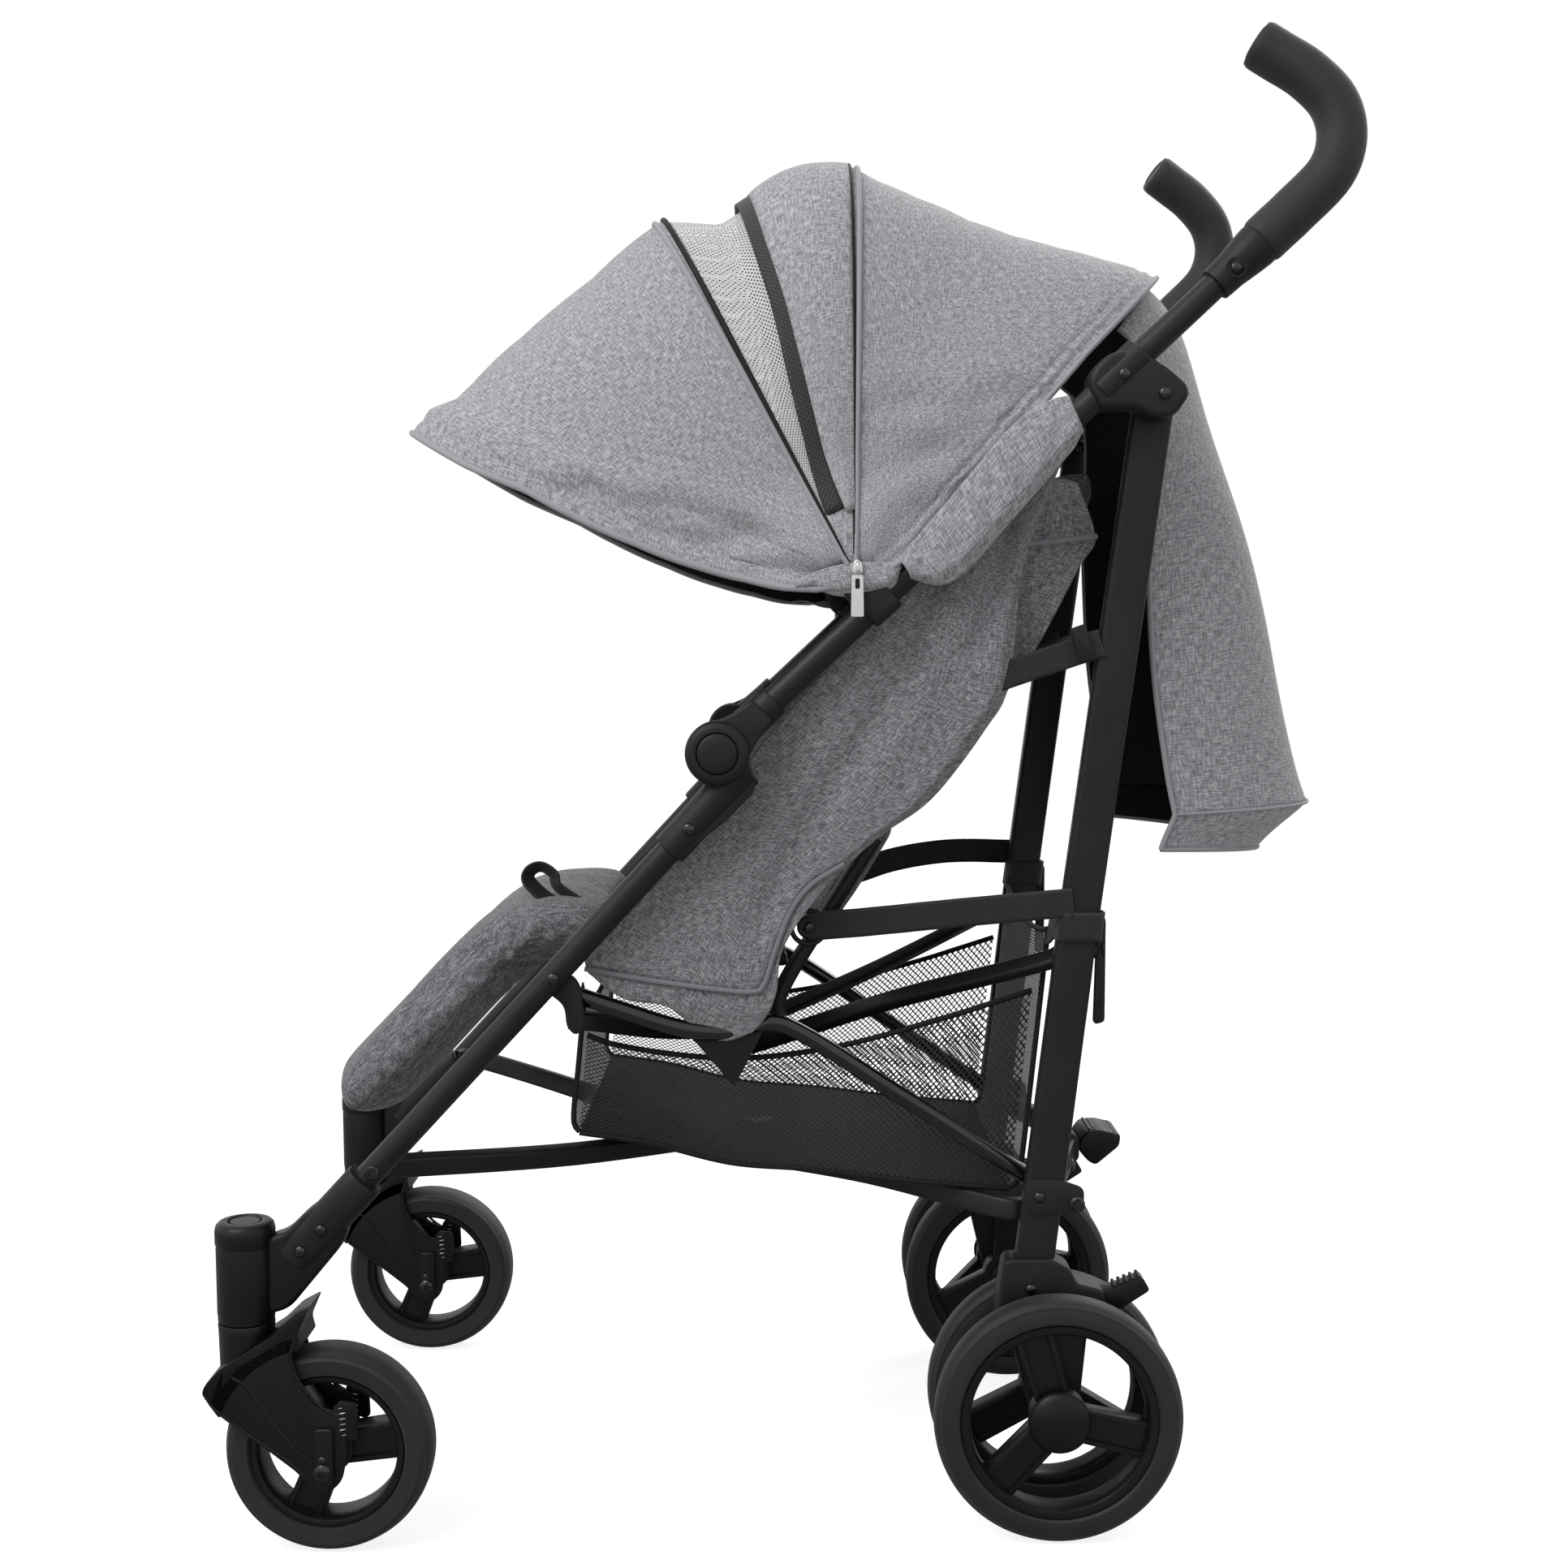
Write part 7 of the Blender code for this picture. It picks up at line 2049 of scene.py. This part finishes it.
@dataclass
class Cushion:
    """A stuffed pad along a side view line: crowned, drawn in at its sides, swollen by its own filling."""

    node: str
    body: str
    finish: Material
    line: tuple[Flat, ...]
    half_width: float
    thickness: float
    fill: float = 0.5
    channels: tuple[float, ...] = ()
    puckers: tuple[Place, ...] = ()
    voxel: float = 0.005
    pressure: float = 4.0
    cap: float = 0.005
    side_power: float = 0.42

    def shell(self) -> BMesh:
        """The pad before it swells."""
        section = []
        for k in range(72):
            turn = 2 * math.pi * k / 72
            a = math.copysign(abs(math.cos(turn)) ** self.side_power, math.cos(turn)) * self.half_width
            b = math.copysign(abs(math.sin(turn)) ** 0.8, math.sin(turn)) * self.thickness / 2
            section.append((a, b * (1.0 if b < 0 else 1.12)))
        path = [Vector((0.0, p.x, p.y)) for p in smooth(self.line, 16)]
        even = [along_line(path, k / 80) for k in range(81)]

        def girth(share: float) -> Flat:
            """The pad's width and thickness scale along it."""
            end = min(share, 1 - share)
            round_end = math.sqrt(max(0.0, 1 - (1 - min(1.0, end / 0.055)) ** 2))
            return 1 - 0.045 * (1 - ease(end, 0.0, 0.07)), 0.16 + 0.84 * round_end

        return sweep(section, stations(even, (1, 0, 0), girth))

    def swell(self, piece: Object) -> None:
        """Fills the pad by a short cloth simulation and keeps its result.

        Args:
            piece: The pad.
        """
        remesh = piece.modifiers.new("voxels", "REMESH")
        remesh.mode = "VOXEL"
        remesh.voxel_size = self.voxel
        remesh.use_smooth_shade = True
        graph = bpy.context.evaluated_depsgraph_get()
        start = bpy.data.meshes.new_from_object(piece.evaluated_get(graph))
        piece.modifiers.clear()
        piece.data = start
        rest = [vert.co.copy() for vert in start.vertices]
        cloth = piece.modifiers.new("swell", "CLOTH")
        cloth.settings.quality = 5
        cloth.settings.use_pressure = True
        cloth.settings.uniform_pressure_force = self.pressure
        cloth.settings.effector_weights.gravity = 0.0
        scene = bpy.context.scene
        for step in range(1, 21):
            scene.frame_set(step)
        graph = bpy.context.evaluated_depsgraph_get()
        full = bpy.data.meshes.new_from_object(piece.evaluated_get(graph))
        piece.modifiers.clear()
        for vert, home in zip(full.vertices, rest):
            move = vert.co - home
            if move.length > self.cap:
                vert.co = home + move * (self.cap / move.length)
        piece.data = full
        scene.frame_set(1)
        piece.data.name = piece.name

    def sew(self, piece: Object) -> None:
        """Draws in the sewn channels and puckers.

        Args:
            piece: The pad.
        """
        path = [Vector(p) for p in smooth(self.line, 16)]
        total = sum((b - a).length for a, b in pairwise(path))
        marks = [(share, along_line(path, share)) for share in self.channels]
        for vert in piece.data.vertices:
            flat = Vector((vert.co.y, vert.co.z))
            push = 0.0
            for share, here in marks:
                ahead = (along_line(path, share + 0.01) - along_line(path, share - 0.01)).normalized()
                push += 0.005 * ridge((flat - here).dot(ahead), 0.0045)
            for y, z, size in self.puckers:
                off = flat - Vector((y, z))
                spread = math.atan2(off.y, off.x)
                reach = ridge(off.length, 0.03) * ease(abs(vert.co.x), 0.35 * self.half_width,
                                                       self.half_width)
                push += size * reach * max(0.0, math.sin(9.0 * spread + 2.0)) ** 2
            soft = 0.001 * math.sin(38 * vert.co.x + 2.2) * math.sin(52 * (flat.x - flat.y))
            soft += 0.0007 * math.sin(90 * vert.co.x + 70 * flat.y)
            vert.co -= vert.normal * (push + soft)
        log.info("%s: %.0f mm long", self.node, 1000 * total)

    def build(self) -> Object:
        """Makes the pad."""
        piece = Piece(f"{self.node}_dressed").add(self.shell(), self.finish)
        made = piece.done(sharp=70)
        self.swell(made)
        self.sew(made)
        made.data.materials.clear()
        made.data.materials.append(self.finish)
        for face in made.data.polygons:
            face.use_smooth = True
            face.material_index = 0
        soften(made)
        seat_on(made, self.body, self.node)
        return made


@dataclass
class Cushions:
    """Seat, backrest and calf pads, with the loop and the tuft on the calf pad."""

    finishes: Finishes

    def build(self) -> None:
        """Makes the pads."""
        f = self.finishes
        seat = Cushion("seat_pad", "front_frame", f.pad,
                       ((-0.128, 0.442), (-0.09, 0.439), (-0.045, 0.433), (-0.014, 0.43)),
                       half_width=0.172, thickness=0.021, fill=0.45, channels=(0.5,), cap=0.0045).build()
        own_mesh(seat)
        back = Cushion("backrest_pad", "backrest", f.pad,
                       ((0.015, 0.435), (0.066, 0.516), (0.138, 0.636), (0.228, 0.788)),
                       half_width=0.134, thickness=0.022, fill=0.45, channels=(0.26, 0.52, 0.78)).build()
        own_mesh(back)
        Cushion("calf_pad", "front_frame", f.pad,
                ((-0.133, 0.433), (-0.16, 0.438), (-0.19, 0.435), (-0.213, 0.422), (-0.246, 0.391),
                 (-0.29, 0.3443), (-0.332, 0.3)),
                half_width=0.136, thickness=0.04, fill=0.7,
                puckers=((-0.21, 0.413, 0.006), (-0.186, 0.419, 0.004)), cap=0.006, side_power=0.34).build()
        loop = Piece("calf_loop")
        line = smooth([(0.09, -0.1464, 0.447), (0.09, -0.165, 0.456), (0.09, -0.1786, 0.4572),
                       (0.09, -0.1957, 0.4721), (0.09, -0.1956, 0.4808), (0.09, -0.1869, 0.4845),
                       (0.09, -0.1771, 0.4783), (0.09, -0.1735, 0.4684), (0.09, -0.1464, 0.4497)], 8)

        def ribbon(u: float, v: float) -> Vector:
            """A point of the loop."""
            ahead = along_line(line, min(1.0, v + 0.02)) - along_line(line, max(0.0, v - 0.02))
            lie = Vector((0.77, 0.0, 0.0)) + 0.64 * Vector((0.0, -ahead.z, ahead.y)).normalized()
            return along_line(line, v) + (u - 0.5) * 0.013 * lie

        loop.add(cloth_grid(8, 80, ribbon, (0.013, 0.15)), f.webbing)
        looped = loop.done(sharp=60)
        thicken(looped, 0.0016, offset=0.0)
        seat_on(looped, "front_frame")


@dataclass
class Basket:
    """The net basket under the seat: open sides of net, bound edges and a firm black floor."""

    finishes: Finishes
    half_width: float = 0.135
    floor_line: tuple[Flat, ...] = ((-0.154, 0.289), (-0.101, 0.281), (-0.04, 0.266), (0.021, 0.261),
                                    (0.099, 0.252), (0.17, 0.246))
    side_top: tuple[Flat, ...] = ((-0.148, 0.362), (-0.124, 0.354), (-0.07, 0.346), (-0.019, 0.345),
                                  (0.048, 0.355), (0.12, 0.375), (0.155, 0.386), (0.186, 0.396))
    binding: float = 0.0021

    def fold(self, piece: Object) -> None:
        """Gives a piece its own copy of its mesh."""
        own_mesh(piece)

    def side(self, side: float) -> None:
        """One net side with its bound edge."""
        f = self.finishes
        low, high = smooth(self.floor_line, 8), smooth(self.side_top, 8)

        def place(u: float, v: float) -> Vector:
            """A point of the side."""
            a, b = along_line(low, u), along_line(high, u)
            here = a.lerp(b, v)
            end = math.sin(math.pi * u) ** 0.6
            bulge = 0.0055 * math.sin(math.pi * v) * end
            bulge += 0.0012 * math.sin(11 * u + 4 * v) * math.sin(math.pi * v) * end
            here.y -= 0.003 * math.sin(math.pi * u) * v * (1 - v) * 4
            return Vector((self.half_width - 0.003 * v + bulge, here.x, here.y))

        piece = Piece(f"basket_net_{side_name(side)}")
        piece.add(cloth_grid(110, 40, place, (0.34, 0.12)), f.black_net)
        made = piece.done(side, sharp=60)
        seat_on(made, "front_frame")
        self.fold(made)
        rim = Piece(f"basket_binding_{side_name(side)}")
        rim.add(tube([place(k / 90, 1.0) for k in range(91)], self.binding, 10, across=(1, 0, 0)), f.binding)
        rim.add(tube([place(k / 90, 0.0) + Vector((0.0008, 0, -0.0006)) for k in range(91)], self.binding, 10,
                     across=(1, 0, 0)), f.binding)
        self.fold(seat_on(rim.done(side), "front_frame"))

    def body(self) -> None:
        """The front and rear walls of double net, and the floor."""
        f = self.finishes
        floor = smooth(self.floor_line, 8)
        front = smooth([(-0.154, 0.289), (-0.1585, 0.299), (-0.1545, 0.34), (-0.15, 0.386)], 8)
        rear = smooth([(0.17, 0.246), (0.1775, 0.256), (0.187, 0.34), (0.1975, 0.443)], 8)

        def across(line: Sequence[Vector], sag: float) -> Callable[[float, float], Vector]:
            """A wall along a line that sags at its middle."""
            def place(u: float, v: float) -> Vector:
                """A point of the wall."""
                here = along_line(line, v)
                middle = 1 - (2 * u - 1) ** 2
                dip = sag * middle * math.sin(math.pi * v)
                return Vector(((2 * u - 1) * self.half_width, here.x + dip * 0.4,
                               here.y - abs(dip) - 0.012 * middle * ease(v, 0.7, 1.0) * (sag > 0.0035)))
            return place

        piece = Piece("basket_dressed")
        piece.add(cloth_grid(40, 60, across(floor, 0.002), (0.27, 0.34)), f.lining)
        piece.add(cloth_grid(40, 24, across(front, 0.004), (0.27, 0.1)), f.dense_net, flip=True)
        piece.add(cloth_grid(40, 40, across(rear, 0.005), (0.27, 0.2)), f.dense_net)
        made = piece.done(sharp=60)
        seat_on(made, "front_frame", "basket")
        self.fold(made)
        trim = Piece("basket_end_bindings")
        for line, sag in ((front, 0.004), (rear, 0.005)):
            place = across(line, sag)
            trim.add(tube([place(k / 40, 1.0) for k in range(41)], self.binding, 10, across=(0, 0, 1)),
                     f.binding)
            for side in (0.0, 1.0):
                trim.add(tube([place(side, k / 24) for k in range(25)], self.binding, 10, across=(1, 0, 0)),
                         f.binding)
        self.fold(seat_on(trim.done(), "front_frame"))

    def tabs(self, side: float) -> None:
        """The webbing tabs that hang the basket on the frame."""
        f = self.finishes
        for name, a, b, width in (("front", (0.135, -0.15, 0.385), (0.1765, -0.148, 0.401), 0.018),
                                  ("rear", (0.135, 0.197, 0.441), (0.159, 0.202, 0.452), 0.02)):
            line = smooth([a, tuple((Vector(a) + Vector(b)) / 2 + Vector((0, 0, -0.002))), b], 6)

            def ribbon(u: float, v: float) -> Vector:
                """A point of the tab."""
                return along_line(line, v) + Vector((0.0, 0.2 * (u - 0.5) * width, (u - 0.5) * width))

            piece = Piece(f"basket_tab_{name}_{side_name(side)}")
            piece.add(cloth_grid(6, 12, ribbon, (width, 0.04)), f.webbing)
            made = piece.done(side, sharp=60)
            thicken(made, 0.0014, offset=0.0)
            seat_on(made, "front_frame")
            self.fold(made)

    def build(self) -> None:
        """Makes the basket."""
        self.body()
        for side in (LEFT, RIGHT):
            self.side(side)
            self.tabs(side)


@dataclass
class Straps:
    """The webbing straps behind the seat, with their rings, buckles and bands."""

    finishes: Finishes

    def ribbon(self, name: str, points: Sequence[Place], width: float, lie: Place, body: str,
               nodes: Sequence[str] = (), side: float = LEFT, thickness: float = 0.0018,
               rests_on: Sequence[str] = ("backrest_tube_left_dressed",)) -> Object:
        """A flat strap along some points.

        Args:
            name: Its name.
            points: The points that its middle passes.
            width: Its width.
            lie: Where its width points.
            body: What it rides on.
            nodes: CAD nodes that it stands for.
            side: 1 for left, -1 for right.
            thickness: Its thickness.
            rests_on: Not used.

        Returns:
            The strap.
        """
        line = smooth(points, 10)
        length = sum((b - a).length for a, b in pairwise(line))
        frames = stations([along_line(line, k / 80) for k in range(81)], lie)

        def place(u: float, v: float) -> Vector:
            """A point of the strap."""
            k = min(80, max(0, round(v * 80)))
            return frames[k] @ Vector(((u - 0.5) * width, 0.0003 * math.sin(40 * v), 0.0))

        piece = Piece(name)
        piece.add(cloth_grid(8, 80, place, (width, length)), self.finishes.webbing)
        made = piece.done(side, sharp=60)
        thicken(made, thickness, offset=0.0)
        return seat_on(made, body, *nodes)

    def build(self) -> None:
        """Makes the straps."""
        f = self.finishes
        half = [(0.1594, 0.246, 0.656), (0.1594, 0.226, 0.655), (0.148, 0.212, 0.652), (0.11, 0.196, 0.647),
                (0.055, 0.188, 0.644), (0.0, 0.186, 0.643)]
        whole = half + [(-x, y, z) for x, y, z in reversed(half[:-1])]
        back = self.ribbon("recline_strap_dressed", whole, 0.02, (0, 0.5, 0.85), "backrest",
                           ["recline_strap"])
        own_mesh(back)
        for side in (LEFT, RIGHT):
            word = side_name(side)
            upper = self.ribbon(f"strap_upper_{word}", [(0.18, 0.139, 0.626), (0.18, 0.165, 0.635),
                                                        (0.1775, 0.195, 0.645), (0.176, 0.228, 0.656)],
                                0.02, (0, -0.3, 0.95), "backrest", side=side)
            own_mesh(upper)
            if side > 0:
                route = [(0.1575, 0.018, 0.448), (0.162, 0.06, 0.452), (0.169, 0.13, 0.46),
                         (0.1745, 0.21, 0.468)]
            else:
                route = [(0.1575, 0.018, 0.448), (0.16, 0.056, 0.449), (0.164, 0.1, 0.462),
                         (0.169, 0.15, 0.469), (0.1745, 0.21, 0.468)]
            lower = self.ribbon(f"strap_lower_{word}", route, 0.021, (0, -0.08, 1.0), "backrest", side=side)
            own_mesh(lower)
            ring = Piece(f"strap_ring_{word}")
            ring.add(tube([(0.1575, 0.018 + 0.0125 * math.cos(t), 0.4475 + 0.0125 * math.sin(t))
                           for t in [2 * math.pi * k / 40 for k in range(40)] + [0.0]], 0.0019, 12,
                          across=(1, 0, 0)), f.nylon)
            ring.add(lathe([(0, -0.006), (0.0085, -0.006), (0.0085, 0.0015), (0.007, 0.003), (0, 0.003)],
                           (0.156, 0.018, 0.4475)), f.nylon)
            ring.add(dome((0.159, 0.018, 0.4475), 0.004, 0.0022), f.rivet)
            seat_on(ring.done(side), "backrest")
            buckle = Piece(f"strap_slide_{word}")
            buckle.add(plate(rounded([(0.212, 0.642), (0.223, 0.6455), (0.216, 0.67), (0.205, 0.666)],
                                     0.0025), 0.1745, 0.18, 0.001), f.nylon)
            slide = seat_on(buckle.done(side), "backrest")
            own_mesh(slide)
            band = Piece(f"leg_band_{word}")
            leg_x, half_x, half_y = 0.1655, 0.0083, 0.0152
            section = rounded([(leg_x - half_x, -half_y), (leg_x + half_x, -half_y), (leg_x + half_x, half_y),
                               (leg_x - half_x, half_y)], 0.0034)
            hoop = [Vector((x, 0.216 + y, 0.45)) for x, y in section]
            hoop.append(hoop[0])

            def wrap(u: float, v: float) -> Vector:
                """A point of the band."""
                here = along_line(hoop, v)
                rise = (u - 0.5) * 0.021
                return Vector((here.x + 0.016 * rise, here.y + 0.13 * rise, here.z + rise))

            band.add(cloth_grid(8, 72, wrap, (0.021, 0.1)), f.webbing)
            made = band.done(side, sharp=60)
            bm = bmesh.new()
            bm.from_mesh(made.data)
            bmesh.ops.remove_doubles(bm, verts=bm.verts, dist=1e-5)
            bmesh.ops.recalc_face_normals(bm, faces=bm.faces)
            bm.to_mesh(made.data)
            bm.free()
            thicken(made, 0.0016, offset=1.0)
            seat_on(made, "rear_frame")


def dress_left_over(finishes: Finishes) -> None:
    """Gives each CAD node that still shows the finish of its slot.

    Args:
        finishes: The finishes.
    """
    kinds = {"frame_paint": finishes.coated, "link_metal": finishes.gloss, "black_plastic": finishes.nylon,
             "grey_plastic": finishes.grey, "grip_foam": finishes.grip, "tyre_foam": finishes.tyre,
             "grey_cloth": finishes.pad, "pale_mesh": finishes.pale_net, "black_mesh": finishes.lining,
             "webbing": finishes.webbing, "cable_jacket": finishes.cable}
    for part in frame["record"]["subparts"]:
        node = bpy.data.objects.get(part["node"])
        if node is None or node.hide_render:
            continue
        log.info("%s keeps its solid", node.name)
        for slot in node.material_slots:
            slot.material = kinds[part["material_slot"]]


def main() -> None:
    """Builds the scene's classes in order."""
    logging.basicConfig(level=logging.INFO, format="%(message)s")
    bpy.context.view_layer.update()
    finishes = Finishes()
    Studio().build()
    for group in (FrontFrame, HandleFrame, RearFrame, Braces, Casters):
        group(finishes).build()
    make_wheels(finishes)
    for group in (Canopy, SeatSides, Cushions, Basket, Straps):
        group(finishes).build()
        log.info("%s is built", group.__name__)
    dress_left_over(finishes)


if __name__ == "__main__":
    main()
